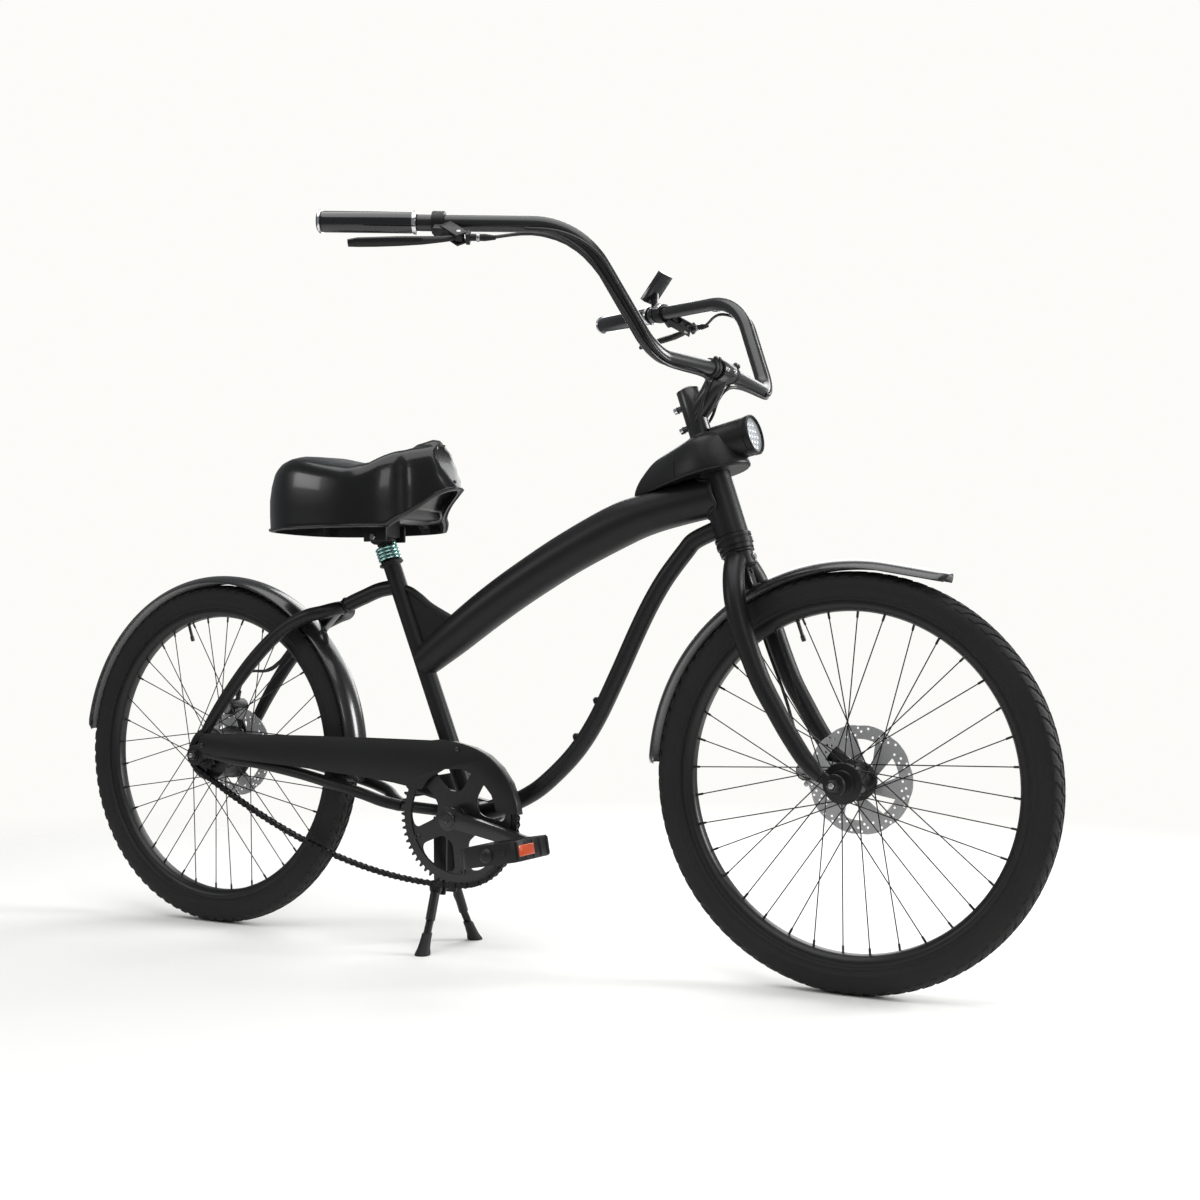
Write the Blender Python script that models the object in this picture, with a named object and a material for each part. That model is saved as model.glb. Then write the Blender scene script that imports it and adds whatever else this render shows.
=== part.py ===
"""A step-through cruiser bicycle, modelled as separate closed solids, one named object for each piece.

Metres, +Z up. While it is modelled the rear axle is at X = 0, +X points forward and -Y is the drive side.
At the end the whole bicycle is moved along X, so that the origin is under the middle of its bounding box.
"""

import math

import bmesh
import bpy
from mathutils import Matrix, Vector

# Clearances between pieces that touch, turn or slide
GAP = 0.0004
RUNNING_GAP = 0.0010
BORE_SIDES = 12

# Wheels
WHEELBASE = 1.319
RIM_RADIUS = 0.2856
TYRE_HEIGHT = 0.0494
TYRE_WIDTH = 0.054
TREAD_HALF_WIDTH = 0.0090
WHEEL_STEPS = 32
RIM_DEPTH = 0.0150
RIM_LIP = 0.0040
RIM_LIP_HEIGHT = 0.0061
RIM_WIDTH = 0.034
SPOKES = 36
SPOKE_RADIUS = 0.00115
AXLE_RADIUS = 0.005
AXLE_HALF_LENGTH = 0.086
NUT_RADIUS = 0.0090
DROPOUT_INNER = 0.0665
DROPOUT_THICKNESS = 0.0070
FRONT_FLANGE_RADIUS = 0.033
FRONT_BARREL_RADIUS = 0.025
REAR_FLANGE_RADIUS = 0.052
REAR_BARREL_RADIUS = 0.047
FLANGE_SPREAD = 0.033
FLANGE_THICKNESS = 0.005
ROTOR_RADIUS = 0.0885
ROTOR_SIDE = 0.0475
ROTOR_THICKNESS = 0.0020

# Steering axis, and heights along it above the point nearest to the front axle
HEAD_ANGLE = math.radians(71.65)
FORK_OFFSET = 0.067
CROWN_LOW = 0.383
LOWER_CUP_LOW = 0.412
HEAD_TUBE_LOW = 0.440
HEAD_TUBE_HIGH = 0.602
STEERER_HIGH = 0.692
STEM_LOW = 0.620
STEM_HIGH = 0.699
HEAD_TUBE_RADIUS = 0.028
CUP_RADIUS = 0.031
CROWN_RADIUS = 0.0255
STEERER_RADIUS = 0.0143
STEM_RADIUS = 0.0195
FORK_LEG_SPREAD = 0.0655
FORK_LEG_RADIUS = 0.0175
FORK_TIP_RADIUS = 0.0125

# Handlebar, with its corners measured forward, sideways and up from the middle of the clamp
CLAMP_ALONG = 0.7078
CLAMP_FORWARD = 0.0688
BAR_RADIUS = 0.0127
BAR_CORNERS = ((-0.013, 0.222, -0.0065), (-0.103, 0.298, 0.1885), (-0.479, 0.456, 0.2055))
BAR_BENDS = (0.055, 0.130)
BAR_CLAMP_HALF = 0.0270
GRIP_LENGTH = 0.160
GRIP_RADIUS = 0.0165
GRIP_RING_RADIUS = 0.0180
LEVER_REACH = 0.068
LEVER_PIVOT_REACH = 0.046
LEVER_CLAMP_AT = 0.190
LEVER_PIVOT_AT = 0.230
LEVER_TIP_AT = 0.062
LEVER_PIN_RADIUS = 0.0025
LEVER_TILT = math.radians(38.0)
DISPLAY_AT = 0.1685
CABLE_RADIUS = 0.0026
CABLE_BORE = 0.0036
CABLE_OFF_BAR = 0.0035
CALIPER_RADIUS = 0.0160

# Frame
CRANK_AXIS_X = 0.605
CRANK_AXIS_Z = 0.243
SEAT_ANGLE = math.radians(68.0)
SEAT_TUBE_LENGTH = 0.4955
SEAT_TUBE_RADIUS = 0.0167
SEAT_POST_RADIUS = 0.0127
SEAT_POST_DEPTH = 0.220
SEAT_POST_SHOWN = 0.052
TOP_TUBE_RADIUS = 0.0360
TOP_TUBE_LOW = 0.2951
TOP_TUBE_HIGH = 0.5130
DOWN_TUBE_AT = 0.4630
DOWN_TUBE_BEND = (0.4600, -0.0270)
BOSS_SHARES = (0.5325, 0.637)
DOWN_TUBE_RADIUS = 0.0155
BB_SHELL_RADIUS = 0.0210
BB_SHELL_HALF_WIDTH = 0.0345
YOKE_RADIUS = 0.0105
YOKE_LENGTH = 0.168
YOKE_RISE = 0.0082
MONOSTAY_RADIUS = 0.0142
SEAT_STAY_RADIUS = 0.0130
CHAIN_STAY_RADIUS = 0.0105
GUSSET_RADIUS = 0.0070

# Drive
CHAIN_PITCH = 0.0127
CHAINRING_TEETH = 60
SPROCKET_TEETH = 16
CHAIN_LINE = 0.048
CHAINRING_THICKNESS = 0.0030
SLACK_AT_SPROCKET = math.radians(-119.5)
SLACK_AT_CHAINRING = math.radians(-87.5)
SLACK_STEPS = 5
SPINDLE_RADIUS = 0.0085
CRANK_LENGTH = 0.175
CRANK_ANGLE = math.radians(-12.0)
CRANK_INNER = 0.0660
CRANK_THICKNESS = 0.0140
PEDAL_LENGTH = 0.110
PEDAL_WIDTH = 0.115
PEDAL_HEIGHT = 0.034
PEDAL_TILT = math.radians(10.0)
PEDAL_SPINDLE_RADIUS = 0.0060
PEDAL_OFF_CRANK = 0.024
CHAIN_PLATE = 0.0012
CHAIN_PLATE_HEIGHT = 0.0084
CHAIN_ROLLER_LENGTH = 0.0072
CHAIN_ROLLER_RADIUS = 0.0038
CHAIN_ARC_STEPS = 10
GUARD_FACE = 0.0575
GUARD_WALL = 0.0018
GUARD_FLANGE = 0.018
GUARD_FLARE_FROM = 0.42
GUARD_FLARE = 0.060
GUARD_TOP_CLEARANCE = 0.0125
GUARD_NOSE_CLEARANCE = 0.0085
GUARD_HOLE_RADIUS = 0.088

# Mudguards
MUDGUARD_CLEARANCE = 0.018
MUDGUARD_WIDTH = 0.064
MUDGUARD_DROP = 0.013
MUDGUARD_WALL = 0.0020
MUDGUARD_BITE = 0.0024
FRONT_MUDGUARD_ARC = (math.radians(63.0), math.radians(177.0))
REAR_MUDGUARD_ARC = (math.radians(-7.0), math.radians(173.5))

# Saddle, spring and stand
SADDLE_SETBACK = 0.2374
SADDLE_LIFT = 0.0596
SADDLE_LENGTH = 0.391
SADDLE_WAIST = 0.310
SADDLE_HEIGHT = 0.157
SADDLE_WIDTH = 0.270
SADDLE_NOSE_LIFT = 0.070
SADDLE_NOSE_LEAN = 0.050
SADDLE_CROWN = 0.010
SADDLE_WALL = 0.005
SPRING_RADIUS = 0.0203
SPRING_WIRE = 0.0025
SPRING_TURNS = 4.5
SPRING_RISE = 0.0350
STAND_PIVOT_X = 0.545
STAND_PIVOT_Z = 0.110
STAND_SHAFT_RADIUS = 0.0060
STAND_LEG_RADIUS = 0.0070
STAND_HALF_WIDTH = 0.034
STAND_KNEE_HEIGHT = 0.088
STAND_FOOT_SPREAD = 0.0845
STAND_FOOT_FORWARD = 0.008
STAND_FOOT_RADIUS = 0.0140
STAND_FOOT_HEIGHT = 0.036

# Places worked out from the sizes above
TYRE_RADIUS = RIM_RADIUS + TYRE_HEIGHT
MUDGUARD_RADIUS = TYRE_RADIUS + MUDGUARD_CLEARANCE
RIM_HOLE_RADIUS = RIM_RADIUS - RIM_DEPTH
BEAD_RADIUS = RIM_RADIUS - RIM_LIP_HEIGHT
AXLE_HEIGHT = TYRE_RADIUS * math.cos(math.pi / WHEEL_STEPS)
REAR_AXLE = Vector((0.0, 0.0, AXLE_HEIGHT))
FRONT_AXLE = Vector((WHEELBASE, 0.0, AXLE_HEIGHT))
CRANK_AXIS = Vector((CRANK_AXIS_X, 0.0, CRANK_AXIS_Z))
STEER_UP = Vector((-math.cos(HEAD_ANGLE), 0.0, math.sin(HEAD_ANGLE)))
STEER_FORWARD = Vector((math.sin(HEAD_ANGLE), 0.0, math.cos(HEAD_ANGLE)))
STEER_FOOT = FRONT_AXLE - STEER_FORWARD * FORK_OFFSET
SEAT_UP = Vector((-math.cos(SEAT_ANGLE), 0.0, math.sin(SEAT_ANGLE)))
SEAT_TOP = CRANK_AXIS + SEAT_UP * SEAT_TUBE_LENGTH
SIDE = Vector((0.0, 1.0, 0.0))

# Bows of the two long tubes as (share of the chord, distance from it), and the top tube's height over its width
TOP_TUBE_BOW = ((0, 0), (0.1187, 0.0132), (0.1944, 0.0216), (0.2912, 0.0305), (0.3996, 0.0373), (0.55, 0.0425))
TOP_TUBE_BOW += ((0.7111, 0.0407), (0.8036, 0.0322), (0.90, 0.018), (1, 0))
TOP_TUBE_HEIGHTS = (0.80, 0.94, 0.986, 1.014, 1.028, 1.05, 1.069, 0.986, 0.98, 0.98)
DOWN_TUBE_BOW = ((0.0868, -0.0245), (0.2009, -0.0200), (0.2722, -0.0098), (0.3484, 0.0059))
DOWN_TUBE_BOW += ((0.4600, 0.0320), (0.5796, 0.0570), (0.6792, 0.0671), (0.7876, 0.0632))
DOWN_TUBE_BOW += ((0.8563, 0.0518), (0.93, 0.030))

# Corners of the two caliper tabs as (x, z), measured from their axles
REAR_CALIPER_TAB = ((-0.006, 0.012), (0.016, 0.012), (0.006, 0.040), (-0.008, 0.068), (-0.027, 0.066), (-0.022, 0.040))
FRONT_CALIPER_TAB = ((-0.057, 0.050), (-0.072, 0.035), (-0.072, 0.016), (-0.066, 0.003))
FRONT_CALIPER_TAB += ((-0.044, 0.004), (-0.026, 0.014), (-0.030, 0.030))

# Saddle seen from above, and its crest seen from the side, as shares of its length and of its width or height
SADDLE_PLAN = ((0, 0), (0.0205, 0.444), (0.084, 0.741), (0.20, 0.941), (0.353, 1.0), (0.558, 0.978), (0.685, 0.852))
SADDLE_PLAN += ((0.775, 0.630), (0.813, 0.444), (0.864, 0.333), (0.928, 0.244), (0.98, 0.133), (1, 0))
SADDLE_CREST = ((0, 0.50), (0.077, 0.700), (0.148, 0.815), (0.238, 0.854), (0.327, 0.828), (0.4425, 0.764))
SADDLE_CREST += ((0.570, 0.713), (0.660, 0.752), (0.7315, 0.873), (0.788, 0.949), (0.872, 0.994), (1, 0.994))

# Other places
ARCH_TOP = SEAT_TOP - Vector((0.1134, 0.0, 0.0834))
SADDLE_FOOT = SEAT_TOP + Vector((-SADDLE_SETBACK, 0.0, SADDLE_LIFT))
CHAINRING_RADIUS = CHAIN_PITCH / (2 * math.sin(math.pi / CHAINRING_TEETH))
SPROCKET_RADIUS = CHAIN_PITCH / (2 * math.sin(math.pi / SPROCKET_TEETH))

# Sides of round pieces
LARGE_SIDES = 16
TUBE_SIDES = 10
JAW_SIDES = 14
SMALL_SIDES = 8
PIN_SIDES = 6

# Bores, wide enough that a round bar clears the middles of their flats
BAR_BORE = (BAR_RADIUS + GAP) / math.cos(math.pi / BORE_SIDES)
PEDAL_BORE = (PEDAL_SPINDLE_RADIUS + GAP) / math.cos(math.pi / SMALL_SIDES)

FINISHES = {
    "frame_black": ((0.016, 0.016, 0.017), 0.45, 0.0),
    "bar_black": ((0.020, 0.020, 0.021), 0.35, 0.3),
    "mudguard_black": ((0.018, 0.018, 0.018), 0.30, 0.0),
    "tyre_rubber": ((0.018, 0.018, 0.018), 0.80, 0.0),
    "rim_black": ((0.014, 0.014, 0.014), 0.35, 0.4),
    "hub_black": ((0.014, 0.014, 0.014), 0.40, 0.4),
    "rotor_steel": ((0.230, 0.230, 0.235), 0.40, 0.9),
    "chain_black": ((0.015, 0.015, 0.015), 0.45, 0.6),
    "crank_black": ((0.017, 0.017, 0.018), 0.40, 0.4),
    "pedal_black": ((0.018, 0.018, 0.018), 0.50, 0.0),
    "grip_gloss": ((0.010, 0.010, 0.010), 0.15, 0.0),
    "saddle_gloss": ((0.012, 0.012, 0.012), 0.25, 0.0),
    "plastic_black": ((0.020, 0.020, 0.020), 0.50, 0.0),
    "spring_chrome": ((0.330, 0.480, 0.440), 0.20, 1.0),
    "bolt_steel": ((0.300, 0.300, 0.300), 0.35, 1.0),
    "cable_black": ((0.015, 0.015, 0.015), 0.45, 0.0),
    "lens_clear": ((0.750, 0.780, 0.800), 0.10, 0.0),
    "display_black": ((0.012, 0.012, 0.013), 0.20, 0.0),
}


def steer(along, forward=0.0, side=0.0):
    """Point given by its height along the steering axis, its distance in front of it and its side."""
    return STEER_FOOT + STEER_UP * along + STEER_FORWARD * forward + SIDE * side


def mirrored(points):
    return [Vector((p[0], -p[1], p[2])) for p in points]


def bent(corners, radii, steps):
    """A path through corners, each inner corner rounded to its radius."""
    corners = [Vector(c) for c in corners]
    path = [corners[0]]
    for before, corner, after, radius in zip(corners, corners[1:], corners[2:], radii):
        back = (before - corner).normalized()
        ahead = (after - corner).normalized()
        half = back.angle(ahead) / 2
        centre = corner + (back + ahead).normalized() * (radius / math.sin(half))
        first = corner + back * (radius / math.tan(half)) - centre
        last = corner + ahead * (radius / math.tan(half)) - centre
        sweep = first.angle(last)
        for step in range(steps + 1):
            t = sweep * step / steps
            path.append(centre + (first * math.sin(sweep - t) + last * math.sin(t)) / math.sin(sweep))
    return path + [corners[-1]]


def along_path(path, distance):
    """(point, direction) at a distance along a path."""
    for here, there in zip(path, path[1:]):
        span = (there - here).length
        if distance <= span:
            return here + (there - here) * (distance / span), (there - here).normalized()
        distance -= span
    return path[-1], (path[-1] - path[-2]).normalized()


def loft(rings, closed=False):
    """A closed solid from rings of equal length. Its ends are capped unless it closes on itself."""
    solid = bmesh.new()
    made = [[solid.verts.new(p) for p in ring] for ring in rings]
    pairs = list(zip(made, made[1:]))
    if closed:
        pairs.append((made[-1], made[0]))
    for low, high in pairs:
        for i in range(len(low)):
            j = (i + 1) % len(low)
            solid.faces.new((low[i], low[j], high[j], high[i]))
    if not closed:
        solid.faces.new(list(reversed(made[0])))
        solid.faces.new(made[-1])
    bmesh.ops.recalc_face_normals(solid, faces=solid.faces[:])
    return solid


def path_frames(path, up, closed=False):
    """(point, across, over) for each point of a path, carried along it without twist."""
    count = len(path)
    frames = []
    for i, point in enumerate(path):
        if closed:
            ahead = path[(i + 1) % count] - path[i - 1]
        else:
            ahead = path[min(i + 1, count - 1)] - path[max(i - 1, 0)]
        ahead.normalize()
        across = ahead.cross(up).normalized()
        up = across.cross(ahead).normalized()
        frames.append((point, across, up))
    return frames


def tube(path, radius, sides, closed=False, up=None):
    """A round bar along a path. The radius is one value, or a list of one value, or (across, over), a point."""
    path = [Vector(p) for p in path]
    if up is None:
        first = (path[1] - path[0]).normalized()
        up = Vector((0, 0, 1)) if abs(first.z) < 0.9 else Vector((1, 0, 0))
    radii = radius if isinstance(radius, (list, tuple)) else [radius] * len(path)
    rings = []
    for (point, across, over), size in zip(path_frames(path, Vector(up), closed), radii):
        wide, high = size if isinstance(size, tuple) else (size, size)
        ring = []
        for i in range(sides):
            angle = 2 * math.pi * (i + 0.5) / sides
            ring.append(point + across * (wide * math.cos(angle)) + over * (high * math.sin(angle)))
        rings.append(ring)
    return loft(rings, closed)


def rod(start, end, radius, sides):
    return tube([start, end], radius, sides)


def turned(profile, centre, axis, steps, closed=False, first=0.5):
    """A turned solid from (radius, height) pairs. An open profile starts and ends on the axis."""
    axis = Vector(axis).normalized()
    out = Vector((0, 0, -1)) if abs(axis.z) < 0.5 else Vector((1, 0, 0))
    out = (out - axis * out.dot(axis)).normalized()
    other = axis.cross(out)
    solid = bmesh.new()
    rings = []
    for radius, height in profile:
        middle = Vector(centre) + axis * height
        if radius < 1e-7:
            rings.append([solid.verts.new(middle)] * steps)
            continue
        ring = []
        for i in range(steps):
            angle = 2 * math.pi * (i + first) / steps
            ring.append(solid.verts.new(middle + (out * math.cos(angle) + other * math.sin(angle)) * radius))
        rings.append(ring)
    pairs = list(zip(rings, rings[1:]))
    if closed:
        pairs.append((rings[-1], rings[0]))
    for low, high in pairs:
        for i in range(steps):
            j = (i + 1) % steps
            corners = []
            for corner in (low[i], low[j], high[j], high[i]):
                if corner not in corners:
                    corners.append(corner)
            if len(corners) > 2:
                solid.faces.new(corners)
    bmesh.ops.recalc_face_normals(solid, faces=solid.faces[:])
    return solid


def slab(outline, low, high, holes=()):
    """A plate with an (x, z) outline and holes, between two y values."""
    solid = bmesh.new()
    edges = []
    for loop in (outline, *holes):
        made = [solid.verts.new((x, low, z)) for x, z in loop]
        edges += [solid.edges.new((a, b)) for a, b in zip(made, made[1:] + made[:1])]
    bmesh.ops.triangle_fill(solid, edges=edges, use_beauty=True)
    grown = bmesh.ops.extrude_face_region(solid, geom=solid.faces[:])
    moved = [item for item in grown["geom"] if isinstance(item, bmesh.types.BMVert)]
    bmesh.ops.translate(solid, verts=moved, vec=(0, high - low, 0))
    bmesh.ops.recalc_face_normals(solid, faces=solid.faces[:])
    return solid


def block(centre, size, turn=None):
    """A box of a size, turned about its centre by a rotation matrix."""
    solid = bmesh.new()
    bmesh.ops.create_cube(solid, size=1.0)
    turn = turn.to_4x4() if turn else Matrix.Identity(4)
    bmesh.ops.transform(
        solid, verts=solid.verts[:], matrix=Matrix.Translation(centre) @ turn @ Matrix.Diagonal((*size, 1.0))
    )
    return solid


def axes(first, second):
    """Rotation whose X axis is first and whose Z axis is near second."""
    first = Vector(first).normalized()
    side = Vector(second).cross(first).normalized()
    third = first.cross(side)
    return Matrix((first, side, third)).transposed()


def helper(solid, name):
    mesh = bpy.data.meshes.new(name)
    solid.to_mesh(mesh)
    solid.free()
    thing = bpy.data.objects.new(name, mesh)
    thing.hide_render = True
    thing.display_type = "WIRE"
    bpy.context.scene.collection.objects.link(thing)
    return thing


def combine(operation, base, tools):
    """The base solid after Boolean steps with each tool. All of them are used up."""
    base = helper(base, "base")
    helpers = [helper(tool, "tool") for tool in tools]
    for thing in helpers:
        step = base.modifiers.new(thing.name, "BOOLEAN")
        step.operation = operation
        step.solver = "EXACT"
        step.object = thing
    graph = bpy.context.evaluated_depsgraph_get()
    mesh = bpy.data.meshes.new_from_object(base.evaluated_get(graph))
    solid = bmesh.new()
    solid.from_mesh(mesh)
    for thing in (base, *helpers):
        used = thing.data
        bpy.data.objects.remove(thing)
        bpy.data.meshes.remove(used)
    bpy.data.meshes.remove(mesh)
    return solid


def cut(base, *tools):
    return combine("DIFFERENCE", base, tools)


def join(base, *tools):
    return combine("UNION", base, tools)


def pivot(name, place, parent):
    """An empty on a joint's axis. Pieces that hang from it turn or slide with that joint."""
    empty = bpy.data.objects.new(name, None)
    empty.empty_display_size = 0.05
    bpy.context.scene.collection.objects.link(empty)
    empty.parent = parent
    empty.location = Vector(place) - (parent.matrix_world.translation if parent else Vector())
    bpy.context.view_layer.update()
    return empty


def piece(name, solid, finish, parent):
    """The named object of a solid, which takes its finish and hangs from its parent."""
    mesh = bpy.data.meshes.new(name)
    solid.to_mesh(mesh)
    solid.free()
    mesh.shade_smooth()
    mesh.set_sharp_from_angle(angle=math.radians(35))
    mesh.materials.append(bpy.data.materials[finish])
    thing = bpy.data.objects.new(name, mesh)
    bpy.context.scene.collection.objects.link(thing)
    thing.parent = parent
    thing.matrix_parent_inverse = parent.matrix_world.inverted()
    return thing


def make_finishes():
    for name, (colour, roughness, metallic) in FINISHES.items():
        material = bpy.data.materials.new(name)
        material.use_nodes = True
        shader = material.node_tree.nodes["Principled BSDF"]
        shader.inputs["Base Color"].default_value = (*colour, 1.0)
        shader.inputs["Roughness"].default_value = roughness
        shader.inputs["Metallic"].default_value = metallic


# Frame tubes. Each function gives its solid with some extra radius, so that a neighbour is cut with a clearance


def head_tube_solid(extra=0.0):
    return rod(steer(HEAD_TUBE_LOW - 0.05), steer(HEAD_TUBE_HIGH + 0.05), HEAD_TUBE_RADIUS + extra, LARGE_SIDES)


def seat_tube_solid(extra=0.0):
    return rod(CRANK_AXIS - SEAT_UP * 0.05, SEAT_TOP + SEAT_UP * 0.05, SEAT_TUBE_RADIUS + extra, LARGE_SIDES)


def shell_solid(extra=0.0):
    side = SIDE * (BB_SHELL_HALF_WIDTH + extra)
    return rod(CRANK_AXIS - side, CRANK_AXIS + side, BB_SHELL_RADIUS + extra, LARGE_SIDES)


def yoke_solid(extra=0.0):
    rear = CRANK_AXIS + Vector((-YOKE_LENGTH - extra, 0, YOKE_RISE))
    return rod(rear, CRANK_AXIS, YOKE_RADIUS + extra, TUBE_SIDES)


def top_tube_path():
    """Centre line of the top tube from the seat tube to the head tube, as a rise over its chord."""
    rear = CRANK_AXIS + SEAT_UP * TOP_TUBE_LOW
    front = steer(TOP_TUBE_HIGH)
    chord = front - rear
    up = Vector((-chord.z, 0, chord.x)).normalized()
    return [rear + chord * share + up * rise for share, rise in TOP_TUBE_BOW]


def top_tube_solid(extra=0.0):
    radii = []
    for height in TOP_TUBE_HEIGHTS:
        radii.append((TOP_TUBE_RADIUS * min(height, 1.0) * 0.97 + extra, TOP_TUBE_RADIUS * height + extra))
    return tube(top_tube_path(), radii, LARGE_SIDES, up=Vector((-0.6, 0, 0.8)))


def down_tube_path():
    """Centre line of the down tube from the head tube to the crank axis, as a bow to the rear of its chord."""
    head = steer(DOWN_TUBE_AT)
    chord = CRANK_AXIS - head
    rear = Vector((-chord.z, 0, chord.x)).normalized()
    bowed_part = [head + chord * share + rear * bow for share, bow in DOWN_TUBE_BOW]
    return [head, steer(*DOWN_TUBE_BEND)] + bowed_part + [CRANK_AXIS]


def down_tube_solid(extra=0.0):
    return tube(down_tube_path(), DOWN_TUBE_RADIUS + extra, TUBE_SIDES, up=Vector((1, 0, 0)))


def bowed(start, end, bows):
    """Path between two points. Each bow is (share of the way, rise over the chord, distance to the right)."""
    chord = end - start
    over = Vector((-chord.z, 0, chord.x)).normalized()
    path = [start]
    for share, rise, side in bows:
        point = start + chord * share + over * rise
        path.append(Vector((point.x, -side, point.z)))
    return path + [end]


def monostay_path():
    route = [SEAT_TOP - SEAT_UP * 0.0475]
    route += [SEAT_TOP - Vector(p) for p in ((0.0261, 0, 0.0504), (0.0602, 0, 0.0619), (0.0904, 0, 0.0729))]
    return route + [ARCH_TOP]


def seat_stay_path():
    """Right half of the arch from its top to the right dropout."""
    bows = ((0.009, -0.0008, 0.0180), (0.054, -0.0066, 0.0380), (0.128, -0.0212, 0.0470), (0.250, -0.0363, 0.0490))
    bows += ((0.396, -0.0407, 0.0520), (0.560, -0.0368, 0.0560), (0.749, -0.0252, 0.0610), (0.901, -0.0117, 0.0655))
    return bowed(ARCH_TOP, REAR_AXLE + Vector((0.0170, -0.0690, 0.0360)), bows)


def seat_arch_solid(extra=0.0):
    """Both seat stays as one arch. Each stay is one half of it."""
    half = seat_stay_path()
    radii = [SEAT_STAY_RADIUS + extra] * (len(half) - 3)
    radii += [SEAT_STAY_RADIUS * 0.93 + extra, SEAT_STAY_RADIUS * 0.82 + extra, SEAT_STAY_RADIUS * 0.66 + extra]
    half[-1] = half[-1] + (half[-1] - half[-2]).normalized() * extra
    path = list(reversed(half)) + mirrored(half[1:])
    return tube(path, list(reversed(radii)) + radii[1:], TUBE_SIDES)


def chain_stay_path():
    """Right chain stay from the dropout to the yoke."""
    bows = ((0.068, 0.0015, 0.0670), (0.184, 0.0056, 0.0600), (0.311, 0.0101, 0.0530), (0.541, 0.0135, 0.0480))
    bows += ((0.747, 0.0122, 0.0460), (0.854, 0.0094, 0.0380), (0.928, 0.0026, 0.0210))
    rear = REAR_AXLE + Vector((0.0210, -0.0690, 0.0040))
    return bowed(rear, CRANK_AXIS + Vector((0.008 - YOKE_LENGTH, -0.004, YOKE_RISE)), bows)


def chain_stay_solid(extra=0.0):
    path = chain_stay_path()
    radii = [CHAIN_STAY_RADIUS * 0.62 + extra, CHAIN_STAY_RADIUS * 0.80 + extra]
    radii += [CHAIN_STAY_RADIUS + extra] * (len(path) - 2)
    return tube(path, radii, TUBE_SIDES)


def mirror_side(solid):
    bmesh.ops.transform(solid, verts=solid.verts[:], matrix=Matrix.Diagonal((1, -1, 1, 1)))
    bmesh.ops.reverse_faces(solid, faces=solid.faces[:])
    return solid


def dropout(centre, side, radius, arms):
    """Plate round an axle, on one side of the wheel, with an arm out to each given point."""
    inner = side * DROPOUT_INNER
    outer = side * (DROPOUT_INNER + DROPOUT_THICKNESS)
    middle = Vector((centre.x, (inner + outer) / 2, centre.z))
    half = SIDE * (DROPOUT_THICKNESS / 2)
    plate = rod(middle - half, middle + half, radius, LARGE_SIDES)
    for reach, width in arms:
        end = Vector((reach[0], middle.y, reach[1]))
        turn = axes(end - middle, SIDE)
        size = ((end - middle).length, width, DROPOUT_THICKNESS * 0.9)
        plate = join(plate, block((middle + end) / 2, size, turn))
    return plate


def tab_solid(axle, outline):
    """Mounting tab of a caliper in the plane of the left dropout, its outline measured from the axle."""
    outline = [(axle.x + x, axle.z + z) for x, z in outline]
    return slab(outline, DROPOUT_INNER + 0.0010, DROPOUT_INNER + DROPOUT_THICKNESS - 0.0010)


def axle_hole(centre, side):
    bore = (AXLE_RADIUS + GAP) / math.cos(math.pi / SMALL_SIDES)
    return rod(centre + SIDE * (side * 0.055), centre + SIDE * (side * 0.095), bore, SMALL_SIDES)


def make_head(root):
    low, high, bore = HEAD_TUBE_LOW, HEAD_TUBE_HIGH, STEERER_RADIUS + RUNNING_GAP
    profile = [(bore, low), (HEAD_TUBE_RADIUS, low), (HEAD_TUBE_RADIUS, high - 0.016), (CUP_RADIUS, high - 0.014)]
    profile += [(CUP_RADIUS, high), (bore, high)]
    piece("head_tube", turned(profile, STEER_FOOT, STEER_UP, LARGE_SIDES, closed=True), "frame_black", root)
    high = HEAD_TUBE_LOW - GAP
    low = LOWER_CUP_LOW
    profile = [(bore, low), (CUP_RADIUS - 0.002, low), (CUP_RADIUS, low + 0.002), (CUP_RADIUS, high), (bore, high)]
    piece("headset_lower_cup", turned(profile, STEER_FOOT, STEER_UP, LARGE_SIDES, closed=True), "frame_black", root)


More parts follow.
